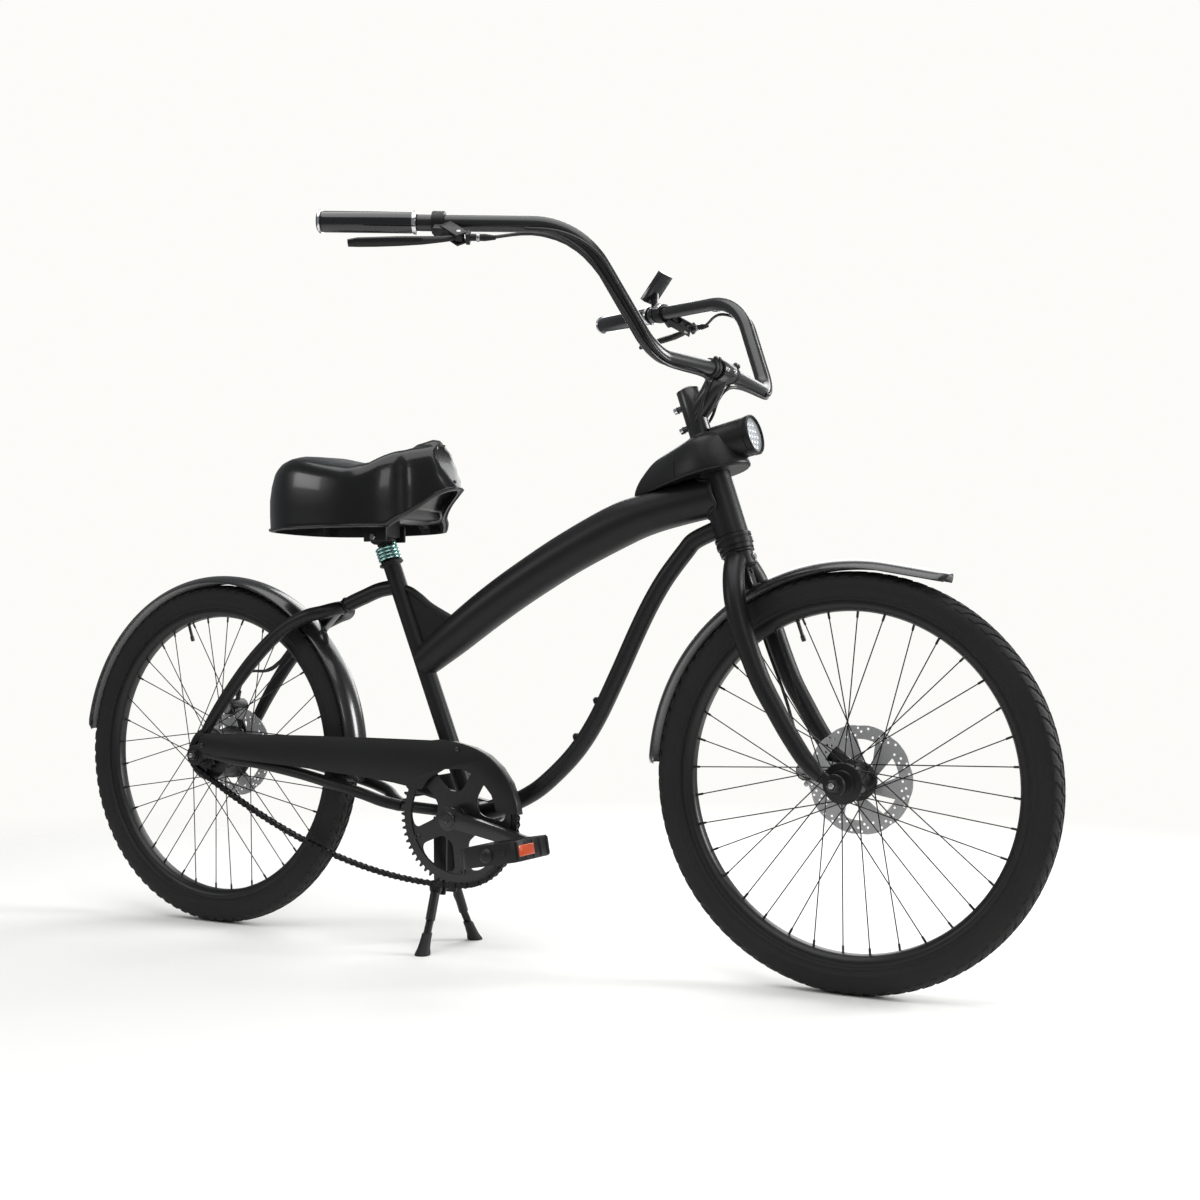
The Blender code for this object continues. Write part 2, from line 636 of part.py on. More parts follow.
def make_main_tubes(root):
    ahead = SIDE.cross(SEAT_UP)
    rear_cut = block(CRANK_AXIS + SEAT_UP * 0.33 + ahead * -0.10, (0.2, 0.2, 0.3), axes(ahead, SEAT_UP))
    top = cut(top_tube_solid(), head_tube_solid(GAP), seat_tube_solid(GAP), rear_cut)
    piece("top_tube", top, "frame_black", root)
    down = down_tube_solid()
    path = down_tube_path()
    total = sum((b - a).length for a, b in zip(path, path[1:]))
    for share in BOSS_SHARES:
        point, direction = along_path(path, share * total)
        out = SIDE.cross(direction)
        down = join(down, rod(point, point + out * (DOWN_TUBE_RADIUS + 0.004), 0.0065, SMALL_SIDES))
    cup = rod(steer(LOWER_CUP_LOW - 0.02), steer(HEAD_TUBE_LOW + GAP), CUP_RADIUS + 2 * GAP, LARGE_SIDES)
    down = cut(down, head_tube_solid(GAP), cup, shell_solid(GAP), top_tube_solid(GAP))
    piece("down_tube", down, "frame_black", root)
    bore = SEAT_POST_RADIUS + GAP
    profile = [(0, 0), (SEAT_TUBE_RADIUS, 0), (SEAT_TUBE_RADIUS, SEAT_TUBE_LENGTH - 0.004)]
    collar = SPRING_RADIUS + SPRING_WIRE
    profile += [(collar, SEAT_TUBE_LENGTH - 0.002), (collar, SEAT_TUBE_LENGTH)]
    profile += [(bore, SEAT_TUBE_LENGTH), (bore, SEAT_TUBE_LENGTH - SEAT_POST_DEPTH - 0.02)]
    profile += [(0, SEAT_TUBE_LENGTH - SEAT_POST_DEPTH - 0.02)]
    seat = turned(profile, CRANK_AXIS, SEAT_UP, LARGE_SIDES)
    seat = cut(seat, shell_solid(GAP), yoke_solid(GAP), down_tube_solid(GAP))
    piece("seat_tube", seat, "frame_black", root)
    shell = join(shell_solid(), cut(yoke_solid(), shell_solid(-0.004)))
    side = SIDE * (BB_SHELL_HALF_WIDTH + 0.01)
    shell = cut(shell, rod(CRANK_AXIS - side, CRANK_AXIS + side, SPINDLE_RADIUS + RUNNING_GAP, BORE_SIDES))
    piece("bottom_bracket_shell", shell, "frame_black", root)


def make_gusset(root):
    low = CRANK_AXIS + SEAT_UP * 0.3150
    ahead = SIDE.cross(SEAT_UP)
    places = ((0.4440, 0.0), (0.4327, 0.0195), (0.4108, 0.0368), (0.3851, 0.0531), (0.3450, 0.0880))
    path = [CRANK_AXIS + SEAT_UP * up + ahead * out for up, out in places]
    outline = [(p.x, p.z) for p in path] + [(low.x + 0.05, low.z), (low.x, low.z)]
    web = slab(outline, -0.0042, 0.0042)
    gusset = join(tube(path, GUSSET_RADIUS, SMALL_SIDES), web)
    gusset = cut(gusset, seat_tube_solid(GAP), top_tube_solid(GAP))
    piece("seat_gusset", gusset, "frame_black", root)


def make_stays(root):
    mono = tube(monostay_path(), MONOSTAY_RADIUS, TUBE_SIDES)
    piece("monostay", cut(mono, seat_tube_solid(GAP), seat_arch_solid(GAP)), "frame_black", root)
    eye = (REAR_AXLE.x + 0.0290, REAR_AXLE.z + 0.0300)
    lug = (REAR_AXLE.x + 0.0300, REAR_AXLE.z + 0.0020)
    far_side = block((0.2, 0.5 - GAP, 0.4), (1.0, 1.0, 1.0))
    right = join(chain_stay_solid(), dropout(REAR_AXLE, -1, 0.0200, [(eye, 0.020), (lug, 0.018)]))
    right = cut(right, axle_hole(REAR_AXLE, -1), seat_arch_solid(GAP), yoke_solid(GAP), far_side)
    left = mirror_side(right.copy())
    tab = tab_solid(REAR_AXLE, REAR_CALIPER_TAB)
    tab = cut(tab, seat_arch_solid(GAP), axle_hole(REAR_AXLE, 1))
    left = join(left, tab)
    piece("seat_stay_arch", seat_arch_solid(), "frame_black", root)
    piece("chain_stay_right", right, "frame_black", root)
    piece("chain_stay_left", left, "frame_black", root)


def largest(solid, side):
    """Keeps the body of a solid whose middle lies on one side."""
    left = set(solid.verts)
    bodies = []
    while left:
        body = {left.pop()}
        edge = list(body)
        while edge:
            vert = edge.pop()
            for link in vert.link_edges:
                other = link.other_vert(vert)
                if other in left:
                    left.remove(other)
                    body.add(other)
                    edge.append(other)
        bodies.append(body)
    keep = max(bodies, key=lambda body: (side * sum(v.co.y for v in body) > 0, len(body)))
    bmesh.ops.delete(solid, geom=[v for v in solid.verts if v not in keep], context="VERTS")
    return solid


# Wheels


def make_axle(name, centre, parent):
    """Axle rod with a cone inside and a nut outside each dropout."""
    inner = DROPOUT_INNER - GAP
    outer = DROPOUT_INNER + DROPOUT_THICKNESS + GAP
    half = [(AXLE_RADIUS, inner - 0.010), (NUT_RADIUS, inner - 0.009), (NUT_RADIUS, inner)]
    half.append((AXLE_RADIUS, inner + 0.0001))
    half += [(AXLE_RADIUS, outer), (NUT_RADIUS, outer + 0.0001), (NUT_RADIUS, outer + 0.008)]
    half += [(AXLE_RADIUS, outer + 0.0082), (AXLE_RADIUS, AXLE_HALF_LENGTH), (0, AXLE_HALF_LENGTH)]
    profile = [(r, -h) for r, h in reversed(half)] + half
    piece(name, turned(profile, centre, SIDE, PIN_SIDES), "bolt_steel", parent)


def tyre_solid(centre):
    half = RIM_WIDTH / 2
    foot = half - RIM_LIP - GAP
    seat = BEAD_RADIUS + GAP
    wide = TYRE_WIDTH / 2
    right = [(seat, foot), (RIM_RADIUS + GAP, foot), (RIM_RADIUS + 0.0040, half + 0.0030)]
    right += [(RIM_RADIUS + TYRE_HEIGHT * 0.515, wide), (RIM_RADIUS + TYRE_HEIGHT * 0.850, wide * 0.73)]
    right.append((TYRE_RADIUS, TREAD_HALF_WIDTH))
    profile = right + [(r, -y) for r, y in reversed(right)]
    return turned(profile, centre, SIDE, WHEEL_STEPS, closed=True)


def rim_solid(centre):
    half = RIM_WIDTH / 2
    right = [(BEAD_RADIUS, half - RIM_LIP), (RIM_RADIUS, half - RIM_LIP), (RIM_RADIUS, half)]
    right += [(RIM_HOLE_RADIUS, 0.0110)]
    profile = right + [(r, -y) for r, y in reversed(right)]
    return turned(profile, centre, SIDE, WHEEL_STEPS, closed=True)


def hub_solid(centre, flange, barrel):
    """Hub shell with its spokes, laced in crossed pairs to both flanges."""
    bore = AXLE_RADIUS + RUNNING_GAP
    rotor_face = ROTOR_SIDE - ROTOR_THICKNESS / 2 - GAP
    half = [(barrel, FLANGE_SPREAD - FLANGE_THICKNESS), (flange, FLANGE_SPREAD - FLANGE_THICKNESS + 0.0005)]
    half.append((flange, FLANGE_SPREAD))
    right = half + [(barrel * 0.55, FLANGE_SPREAD + 0.0060), (bore, FLANGE_SPREAD + 0.0060)]
    left = half + [(0.0240, FLANGE_SPREAD + 0.0030), (0.0240, rotor_face), (bore, rotor_face)]
    profile = [(r, -y) for r, y in reversed(right)] + left
    hub = turned(profile, centre, SIDE, LARGE_SIDES, closed=True)
    spokes = bmesh.new()
    lacing = math.radians(62.0)
    rim_reach = (RIM_HOLE_RADIUS - GAP) * math.cos(math.pi / WHEEL_STEPS) - SPOKE_RADIUS / 2
    for k in range(SPOKES):
        side = 1 if k % 2 else -1
        turn = 1 if k // 2 % 2 else -1
        rim_angle = 2 * math.pi * (k + 0.5) / SPOKES
        ends = []
        for radius, angle, y in (
            (flange - 0.0045, rim_angle + turn * lacing, FLANGE_SPREAD - FLANGE_THICKNESS / 2 + turn * 0.0016),
            (rim_reach, rim_angle, 0.0040),
        ):
            ends.append(centre + Vector((math.sin(angle) * radius, side * y, -math.cos(angle) * radius)))
        add_rod(spokes, ends[0], ends[1], SPOKE_RADIUS, 3)
    return join(hub, spokes)


def add_rod(solid, start, end, radius, sides):
    """Puts one more rod into a solid that holds several separate bodies."""
    mesh = bpy.data.meshes.new("rod")
    one = rod(start, end, radius, sides)
    one.to_mesh(mesh)
    one.free()
    solid.from_mesh(mesh)
    bpy.data.meshes.remove(mesh)


def ring_points(centre, radius, steps, wave=0.0, waves=1):
    """(x, z) points of a round or waved outline."""
    points = []
    for i in range(steps):
        angle = 2 * math.pi * i / steps
        size = radius + wave * math.cos(waves * angle)
        points.append((centre.x + size * math.cos(angle), centre.z + size * math.sin(angle)))
    return points


def window(centre, start, end, low, high, steps):
    """(x, z) outline of an opening between two radii, narrower at its inner end."""
    points = []
    for i in range(steps + 1):
        angle = start + (end - start) * i / steps
        points.append((centre.x + high * math.cos(angle), centre.z + high * math.sin(angle)))
    middle = (start + end) / 2
    for share in (0.45, 0.0, -0.45):
        angle = middle + (end - start) * share
        points.append((centre.x + low * math.cos(angle), centre.z + low * math.sin(angle)))
    return points


def rotor_solid(centre):
    holes = [ring_points(centre, AXLE_RADIUS + 0.010, 10)]
    for k in range(5):
        start = 2 * math.pi * k / 5
        holes.append(window(centre, start + 0.10, start + 1.14, 0.030, ROTOR_RADIUS - 0.017, 3))
    outline = ring_points(centre, ROTOR_RADIUS - 0.0015, 30, 0.0015, 10)
    return slab(outline, ROTOR_SIDE - ROTOR_THICKNESS / 2, ROTOR_SIDE + ROTOR_THICKNESS / 2, holes)


def make_wheel(name, centre, flange, barrel, parent):
    piece(name + "_tyre", tyre_solid(centre), "tyre_rubber", parent)
    piece(name + "_rim", rim_solid(centre), "rim_black", parent)
    piece(name + "_hub", hub_solid(centre, flange, barrel), "hub_black", parent)
    piece(name + "_rotor", rotor_solid(centre), "rotor_steel", parent)


# Drive


def toothed(centre, pitch_radius, teeth, turn=0.0):
    """(x, z) outline of a chain wheel: a root and a tip for each tooth."""
    points = []
    for k in range(teeth):
        for share, radius in ((0.0, pitch_radius - 0.0042), (0.5, pitch_radius + 0.0032)):
            angle = turn + 2 * math.pi * (k + share) / teeth
            points.append((centre.x + radius * math.cos(angle), centre.z + radius * math.sin(angle)))
    return points


def make_chainring(parent):
    holes = [ring_points(CRANK_AXIS, 0.0165, 12)]
    for k in range(5):
        middle = CRANK_ANGLE + 2 * math.pi * (k + 0.5) / 5
        holes.append(window(CRANK_AXIS, middle - 0.50, middle + 0.50, 0.048, CHAINRING_RADIUS - 0.024, 5))
    half = CHAINRING_THICKNESS / 2
    outline = toothed(CRANK_AXIS, CHAINRING_RADIUS, CHAINRING_TEETH)
    piece("chainring", slab(outline, -CHAIN_LINE - half, -CHAIN_LINE + half, holes), "crank_black", parent)


def make_sprocket(parent):
    half = CHAINRING_THICKNESS / 2
    outline = toothed(REAR_AXLE, SPROCKET_RADIUS, SPROCKET_TEETH)
    wheel = slab(outline, -CHAIN_LINE - half, -CHAIN_LINE + half)
    outer = REAR_AXLE - SIDE * (DROPOUT_INNER - 0.0115)
    inner = REAR_AXLE - SIDE * (FLANGE_SPREAD + 0.0072)
    body = rod(outer, inner, 0.0225, LARGE_SIDES)
    bore = rod(REAR_AXLE - SIDE * 0.09, REAR_AXLE - SIDE * 0.02, AXLE_RADIUS + RUNNING_GAP, SMALL_SIDES)
    piece("rear_sprocket", cut(join(wheel, body), bore), "chain_black", parent)


def round_wheel(centre, radius, angle):
    """(point, direction of growing angle) on a wheel in the plane of the bicycle."""
    out = Vector((math.cos(angle), 0, math.sin(angle)))
    return centre + out * radius, Vector((-out.z, 0, out.x))


def chain_loop():
    """Pitch line of the chain, and the places of its rollers. Its lower run hangs slack."""
    span = CRANK_AXIS - REAR_AXLE
    lean = math.asin((CHAINRING_RADIUS - SPROCKET_RADIUS) / span.length)
    upper = math.atan2(span.z, span.x) + lean + math.pi / 2
    line = []
    for centre, radius, start, end, steps in (
        (CRANK_AXIS, CHAINRING_RADIUS, SLACK_AT_CHAINRING, upper, CHAIN_ARC_STEPS),
        (REAR_AXLE, SPROCKET_RADIUS, upper, SLACK_AT_SPROCKET + 2 * math.pi, CHAIN_ARC_STEPS // 2),
    ):
        line += [round_wheel(centre, radius, start + (end - start) * i / steps)[0] for i in range(steps + 1)]
    front, back = line[CHAIN_ARC_STEPS], line[CHAIN_ARC_STEPS + 1]
    rollers = [front + (back - front) * share for share in (0.10, 0.37, 0.63, 0.90)]
    low, heading = round_wheel(REAR_AXLE, SPROCKET_RADIUS, SLACK_AT_SPROCKET)
    high, leaving = round_wheel(CRANK_AXIS, CHAINRING_RADIUS, SLACK_AT_CHAINRING)
    chord = high - low
    reach = (chord.x * leaving.z - chord.z * leaving.x) / (heading.x * leaving.z - heading.z * leaving.x)
    sag = low + heading * reach
    slack = []
    for step in range(1, SLACK_STEPS):
        t = step / SLACK_STEPS
        slack.append(low * (1 - t) ** 2 + sag * (2 * t * (1 - t)) + high * t**2)
    return line + slack, rollers + slack[::2] + slack[-1:]


def make_chain(root):
    path, places = chain_loop()
    high = CHAIN_PLATE_HEIGHT / 2
    thick = CHAIN_PLATE / 2
    plates = []
    for side in (-1, 1):
        middle = SIDE * (-CHAIN_LINE + side * CHAIN_ROLLER_LENGTH / 2)
        rings = []
        for i, point in enumerate(path):
            ahead = (path[(i + 1) % len(path)] - path[i - 1]).normalized()
            out = ahead.cross(SIDE)
            corners = ((high, thick), (high, -thick), (-high, -thick), (-high, thick))
            rings.append([point + middle + out * a + SIDE * b for a, b in corners])
        plates.append(loft(rings, closed=True))
    rollers = []
    half = SIDE * (CHAIN_ROLLER_LENGTH / 2)
    for place in places:
        point = place - SIDE * CHAIN_LINE
        rollers.append(rod(point - half, point + half, CHAIN_ROLLER_RADIUS, PIN_SIDES))
    piece("chain", join(plates[0], plates[1], *rollers), "chain_black", root)


def pedal_outer():
    """Distance from the middle of the bicycle to the outer end of a pedal's spindle."""
    return CRANK_INNER + CRANK_THICKNESS + PEDAL_OFF_CRANK + PEDAL_WIDTH - 0.004


def crank_arm(side, angle):
    """Tapered arm from the spindle to the pedal on one side, with its two round ends."""
    near = side * CRANK_INNER
    far = side * (CRANK_INNER + CRANK_THICKNESS)
    out = Vector((math.cos(angle), 0, math.sin(angle)))
    over = Vector((-out.z, 0, out.x))
    end = CRANK_AXIS + out * CRANK_LENGTH
    shape = []
    for reach, half in ((0.0, 0.0150), (0.0, -0.0150), (CRANK_LENGTH, -0.0110), (CRANK_LENGTH, 0.0110)):
        corner = CRANK_AXIS + out * reach + over * half
        shape.append((corner.x, corner.z))
    arm = slab(shape, min(near, far), max(near, far))
    boss = rod(CRANK_AXIS + SIDE * near, CRANK_AXIS + SIDE * far, 0.0215, LARGE_SIDES)
    eye = rod(end + SIDE * near, end + SIDE * far, 0.0135, BORE_SIDES)
    spindle_start = end + SIDE * (side * (CRANK_INNER + 0.006))
    spindle = rod(spindle_start, end + SIDE * (side * pedal_outer()), PEDAL_SPINDLE_RADIUS, SMALL_SIDES)
    return join(arm, boss, eye, spindle), end


def cross_rod(start, end, radius):
    """Round bar across the bicycle on the crank axis, between two y values."""
    return rod(CRANK_AXIS + SIDE * start, CRANK_AXIS + SIDE * end, radius, BORE_SIDES)


def make_cranks(parent):
    shell_side = BB_SHELL_HALF_WIDTH + 0.002
    arm_side = CRANK_INNER + 0.004
    spindle_end = CRANK_INNER + 0.010
    right, right_end = crank_arm(-1, CRANK_ANGLE)
    neck = cross_rod(-shell_side, -arm_side, 0.0160 - GAP)
    spindle = cross_rod(-arm_side, spindle_end, SPINDLE_RADIUS)
    cap = cross_rod(-arm_side - 0.004, -CRANK_INNER - CRANK_THICKNESS - 0.003, 0.0150)
    piece("crank_right", join(right, neck, spindle, cap), "crank_black", parent)
    left, left_end = crank_arm(1, CRANK_ANGLE + math.pi)
    sleeve = cross_rod(shell_side, arm_side, 0.0150)
    bore = cross_rod(0, spindle_end + GAP, SPINDLE_RADIUS + GAP)
    piece("crank_left", cut(join(left, sleeve), bore), "crank_black", parent)
    make_pedal("pedal_right", right_end, -1, pivot("pedal_right_axis", right_end, parent))
    make_pedal("pedal_left", left_end, 1, pivot("pedal_left_axis", left_end, parent))


def rounded_rectangle(length, width, radius, steps):
    points = []
    for quarter in range(4):
        start = quarter * math.pi / 2
        cx = (length / 2 - radius) * (1 if quarter in (0, 3) else -1)
        cy = (width / 2 - radius) * (1 if quarter in (0, 1) else -1)
        for i in range(steps + 1):
            angle = start + math.pi / 2 * i / steps
            points.append((cx + radius * math.cos(angle), cy + radius * math.sin(angle)))
    return points


def make_pedal(name, centre, side, parent):
    """Two-bar pedal: a frame with rounded corners round a sleeve, with a domed cap on its outer end."""
    inner = CRANK_INNER + CRANK_THICKNESS + PEDAL_OFF_CRANK
    middle = centre + SIDE * (side * (inner + PEDAL_WIDTH / 2))
    tilt = Matrix.Rotation(-PEDAL_TILT, 3, "Y")
    rings = []
    for grow in (0.0, -0.0050):
        outline = rounded_rectangle(PEDAL_LENGTH + 2 * grow, PEDAL_WIDTH + 2 * grow, 0.014 + grow, 2)
        for up in (-0.5, 0.5) if grow == 0 else (0.5, -0.5):
            height = PEDAL_HEIGHT * up
            rings.append([middle + tilt @ Vector((x, y, height)) for x, y in outline])
    frame = loft(rings, closed=True)
    start = centre + SIDE * (side * (CRANK_INNER + CRANK_THICKNESS + RUNNING_GAP))
    end = centre + SIDE * (side * (inner + PEDAL_WIDTH + 0.006))
    length = (end - start).length
    profile = [(0, 0), (0.0105, 0), (0.0105, 0.030), (0.0125, 0.040), (0.0125, PEDAL_WIDTH + 0.020)]
    profile += [(0.0090, length - 0.001), (0, length)]
    sleeve = turned(profile, start, end - start, TUBE_SIDES)
    bore_end = centre + SIDE * (side * (pedal_outer() + GAP))
    bore = rod(start - SIDE * (side * 0.01), bore_end, PEDAL_BORE, SMALL_SIDES)
    piece(name, cut(join(frame, sleeve), bore), "pedal_black", parent)


def make_chain_guard(root):
    """Flat plate over the upper run, curved down in front of the chainring, with a flange over the chain."""
    nose = CHAINRING_RADIUS + GUARD_NOSE_CLEARANCE
    top = CRANK_AXIS_Z + CHAINRING_RADIUS + GUARD_TOP_CLEARANCE
    lip = [(0.0500, top - 0.001), (0.3200, top + 0.001), (CRANK_AXIS_X - 0.010, top)]
    inside = [(x, z - GUARD_WALL) for x, z in lip]
    for degrees in (75, 60, 45, 30, 15, 5):
        for line, radius in ((lip, nose), (inside, nose - GUARD_WALL)):
            point = round_wheel(CRANK_AXIS, radius, math.radians(degrees))[0]
            line.append((point.x, point.z))
    outline = [(0.0220, top - 0.006), (0.0400, top - 0.001)] + lip
    for degrees in (10, 30, 55, 80, 105, 130, 148):
        point = round_wheel(CRANK_AXIS, GUARD_HOLE_RADIUS, math.radians(degrees))[0]
        outline.append((point.x, point.z))
    outline += [(0.4700, 0.2990), (0.4080, 0.3060), (0.2510, 0.3200), (0.0560, 0.3330), (0.0240, 0.3430)]
    face = -GUARD_FACE
    plate = slab(outline, face - GUARD_WALL, face)
    flange = slab(lip + list(reversed(inside)), face - GUARD_WALL * 0.5, face + GUARD_FLANGE)
    guard = join(plate, flange)
    flare(guard)
    seat_at = CRANK_AXIS + SEAT_UP * ((top - CRANK_AXIS_Z) / SEAT_UP.z)
    tab_end = GUARD_FACE - GUARD_FLANGE + 0.004
    tab = block((seat_at.x, -tab_end / 2, top - 0.0005), (0.016, tab_end, 0.0025))
    ear_face = GUARD_FACE + (GUARD_FLARE_FROM - 0.0275) * GUARD_FLARE + GUARD_WALL / 2
    corners = [(0.019, 0.345), (0.036, 0.345), (0.036, 0.362), (0.019, 0.362)]
    ear = slab(corners, -ear_face, -DROPOUT_INNER - DROPOUT_THICKNESS - GAP)
    guard = join(guard, cut(tab, seat_tube_solid(GAP)), ear)
    piece("chain_guard", guard, "frame_black", root)


def flare(solid):
    """Leans the guard out towards the rear, so that it passes outside the chain stay and the dropout."""
    for vert in solid.verts:
        vert.co.y -= max(0.0, GUARD_FLARE_FROM - vert.co.x) * GUARD_FLARE


# Mudguards


def mudguard(centre, arc, steps, flares):
    """Curved shell over a wheel. Flares give extra radius near its two ends."""
    start, end = arc
    half = MUDGUARD_WIDTH / 2
    section = []
    for share in (-1.0, -0.55, 0.0, 0.55, 1.0):
        section.append((share * half, -MUDGUARD_DROP * abs(share) ** 2.4))
    under = [(y * (half - MUDGUARD_WALL) / half, drop - MUDGUARD_WALL) for y, drop in reversed(section)]
    rings = []
    for i in range(steps + 1):
        t = i / steps
        angle = start + (end - start) * t
        extra = flares[0] * max(0.0, 1 - t * 7) ** 2 + flares[1] * max(0.0, 1 - (1 - t) * 7) ** 2
        out = Vector((math.cos(angle), 0, math.sin(angle)))
        rings.append([centre + out * (MUDGUARD_RADIUS + extra + h) + SIDE * y for y, h in section + under])
    return loft(rings)


def make_rear_mudguard(root):
    shell = mudguard(REAR_AXLE, REAR_MUDGUARD_ARC, 18, (0.0, 0.0))
    top = seat_stay_path()[0]
    out = (top - REAR_AXLE).normalized()
    reach = (top - REAR_AXLE).length
    low = MUDGUARD_RADIUS - MUDGUARD_BITE
    strap = block(REAR_AXLE + out * ((low + reach) / 2), (reach - low, 0.018, 0.003), axes(out, SIDE.cross(out)))
    strap = cut(strap, seat_arch_solid(GAP))
    piece("rear_mudguard", join(shell, strap), "mudguard_black", root)


def make_front_mudguard(parent):
    shell = mudguard(FRONT_AXLE, FRONT_MUDGUARD_ARC, 12, (0.014, 0.0))
    up = steer(CROWN_LOW - GAP) - FRONT_AXLE
    low = FRONT_AXLE + up.normalized() * (MUDGUARD_RADIUS - MUDGUARD_BITE)
    high = steer(CROWN_LOW - GAP)
    bracket = block((low + high) / 2, (0.020, 0.022, (high - low).length), axes(STEER_FORWARD, STEER_UP))
    bracket = cut(bracket, fork_leg_solid(-1, GAP), fork_leg_solid(1, GAP))
    piece("front_mudguard", join(shell, largest(bracket, 0)), "mudguard_black", parent)


# Lamp housing


def make_shroud(root):
    """Drop-shaped housing round the head tube: a tail over the top tube, a barrel for the lamp and a collar."""
    tilt = math.radians(12.4)
    ahead = Vector((math.cos(tilt), 0, math.sin(tilt)))
    up = Vector((-ahead.z, 0, ahead.x))
    origin = steer(0.5560)
    levels = (
        (-0.0070, -0.148, 0.0620, 0.0560),
        (-0.0030, -0.150, 0.0660, 0.0575),
        (0.0220, -0.132, 0.0600, 0.0540),
        (0.0420, -0.104, 0.0540, 0.0480),
        (0.0510, -0.076, 0.0490, 0.0420),
        (0.0575, -0.048, 0.0410, 0.0320),
    )
    rings = []
    for height, tail, front, wide in levels:
        ring = []
        for i in range(LARGE_SIDES):
            angle = 2 * math.pi * i / LARGE_SIDES
            x, y = math.cos(angle), math.sin(angle)
            if x > 0:
                point = (x * front, y * wide)
            else:
                point = (-tail * x, y * wide * (1 - 0.80 * abs(x) ** 1.6))
            ring.append(origin + ahead * point[0] + SIDE * point[1] + up * height)
        rings.append(ring)
    body = loft(rings)
    lens_centre = steer(0.5945) + ahead * 0.093
    barrel = rod(lens_centre - ahead * 0.0700, lens_centre, 0.0335, LARGE_SIDES)
    collar = rod(steer(0.590), steer(0.6175), 0.0265, LARGE_SIDES)
    housing = join(body, barrel, collar)
    head_bore = rod(steer(0.45), steer(HEAD_TUBE_HIGH + 0.004), CUP_RADIUS + 2 * GAP, LARGE_SIDES)
    stem_bore = rod(steer(0.58), steer(0.66), STEERER_RADIUS + 0.0040, LARGE_SIDES)
    recess = rod(lens_centre - ahead * 0.010, lens_centre + ahead * 0.01, 0.0300, LARGE_SIDES)
    housing = cut(housing, head_bore, stem_bore, recess, top_tube_solid(GAP))
    piece("headlight_shroud", largest(housing, 0), "frame_black", root)
    profile = [(0, -0.0095), (0.0295, -0.0095), (0.0295, -0.004), (0.022, -0.0015), (0, -0.0005)]
    piece("headlight_lens", turned(profile, lens_centre, ahead, LARGE_SIDES), "lens_clear", root)


# Fork, stem and bar


def fork_leg_path(side):
    route = [(0.3980, 0.0000, 0.012), (0.3860, 0.0000, 0.030), (0.3600, -0.0010, 0.0500), (0.3250, -0.0040, 0.0615)]
    route += [(0.2800, -0.0055, 0.0650), (0.2306, -0.0040, 0.0655), (0.1850, 0.0000, 0.0655), (0.1400, 0.0090, 0.0655)]
    route += [(0.0950, 0.0190, 0.0660), (0.0500, 0.0330, 0.0680), (0.0170, 0.0500, 0.0700)]
    return [steer(along, forward, side * y * FORK_LEG_SPREAD / 0.0655) for along, forward, y in route]


def fork_leg_solid(side, extra=0.0):
    path = fork_leg_path(side)
    count = len(path) - 1
    radii = []
    for i in range(count + 1):
        t = max(0.0, i / count - 0.35) / 0.65
        radii.append(FORK_LEG_RADIUS + (FORK_TIP_RADIUS - FORK_LEG_RADIUS) * t**1.5 + extra)
    radii[-1] = FORK_TIP_RADIUS * 0.72 + extra
    return tube(path, radii, TUBE_SIDES, up=Vector((1, 0, 0)))


def make_fork(parent):
    profile = [(0, CROWN_LOW), (CROWN_RADIUS - 0.003, CROWN_LOW), (CROWN_RADIUS, CROWN_LOW + 0.003)]
    profile += [(CROWN_RADIUS, LOWER_CUP_LOW - GAP - 0.004), (CROWN_RADIUS + 0.003, LOWER_CUP_LOW - GAP - 0.003)]
    profile += [(CROWN_RADIUS + 0.003, LOWER_CUP_LOW - GAP), (STEERER_RADIUS, LOWER_CUP_LOW - GAP + 0.0001)]
    profile += [(STEERER_RADIUS, STEERER_HIGH), (0, STEERER_HIGH)]
    steerer = turned(profile, STEER_FOOT, STEER_UP, LARGE_SIDES)
    piece("fork_steerer", steerer, "frame_black", parent)
    shoulder = LOWER_CUP_LOW - 0.0060
    crown_cut = [(0, CROWN_LOW - GAP), (CROWN_RADIUS + GAP, CROWN_LOW - GAP), (CROWN_RADIUS + GAP, shoulder)]
    wide = CROWN_RADIUS + 0.0040
    crown_cut += [(wide, shoulder), (wide, CROWN_LOW + 0.06), (0, CROWN_LOW + 0.06)]
    for side, name in ((-1, "fork_leg_right"), (1, "fork_leg_left")):
        leg = fork_leg_solid(side)
        arm = steer(0.0300, 0.0420)
        leg = join(leg, dropout(FRONT_AXLE, side, 0.0175, [((arm.x, arm.z), 0.0170)]))
        if side > 0:
            leg = join(leg, tab_solid(FRONT_AXLE, FRONT_CALIPER_TAB))
        leg = cut(leg, turned(crown_cut, STEER_FOOT, STEER_UP, LARGE_SIDES), axle_hole(FRONT_AXLE, side))
        leg = cut(leg, block(steer(0.37), (0.2, 2 * GAP, 0.2)))
        piece(name, largest(leg, side), "frame_black", parent)


def bar_path():
    """Centre line of the left half of the bar, from the clamp to its end."""
    clamp = steer(CLAMP_ALONG, CLAMP_FORWARD)
    start = clamp + SIDE * BAR_CLAMP_HALF
    corners = [start] + [clamp + Vector(offset) for offset in BAR_CORNERS]
    return [clamp] + bent(corners, BAR_BENDS, 5)


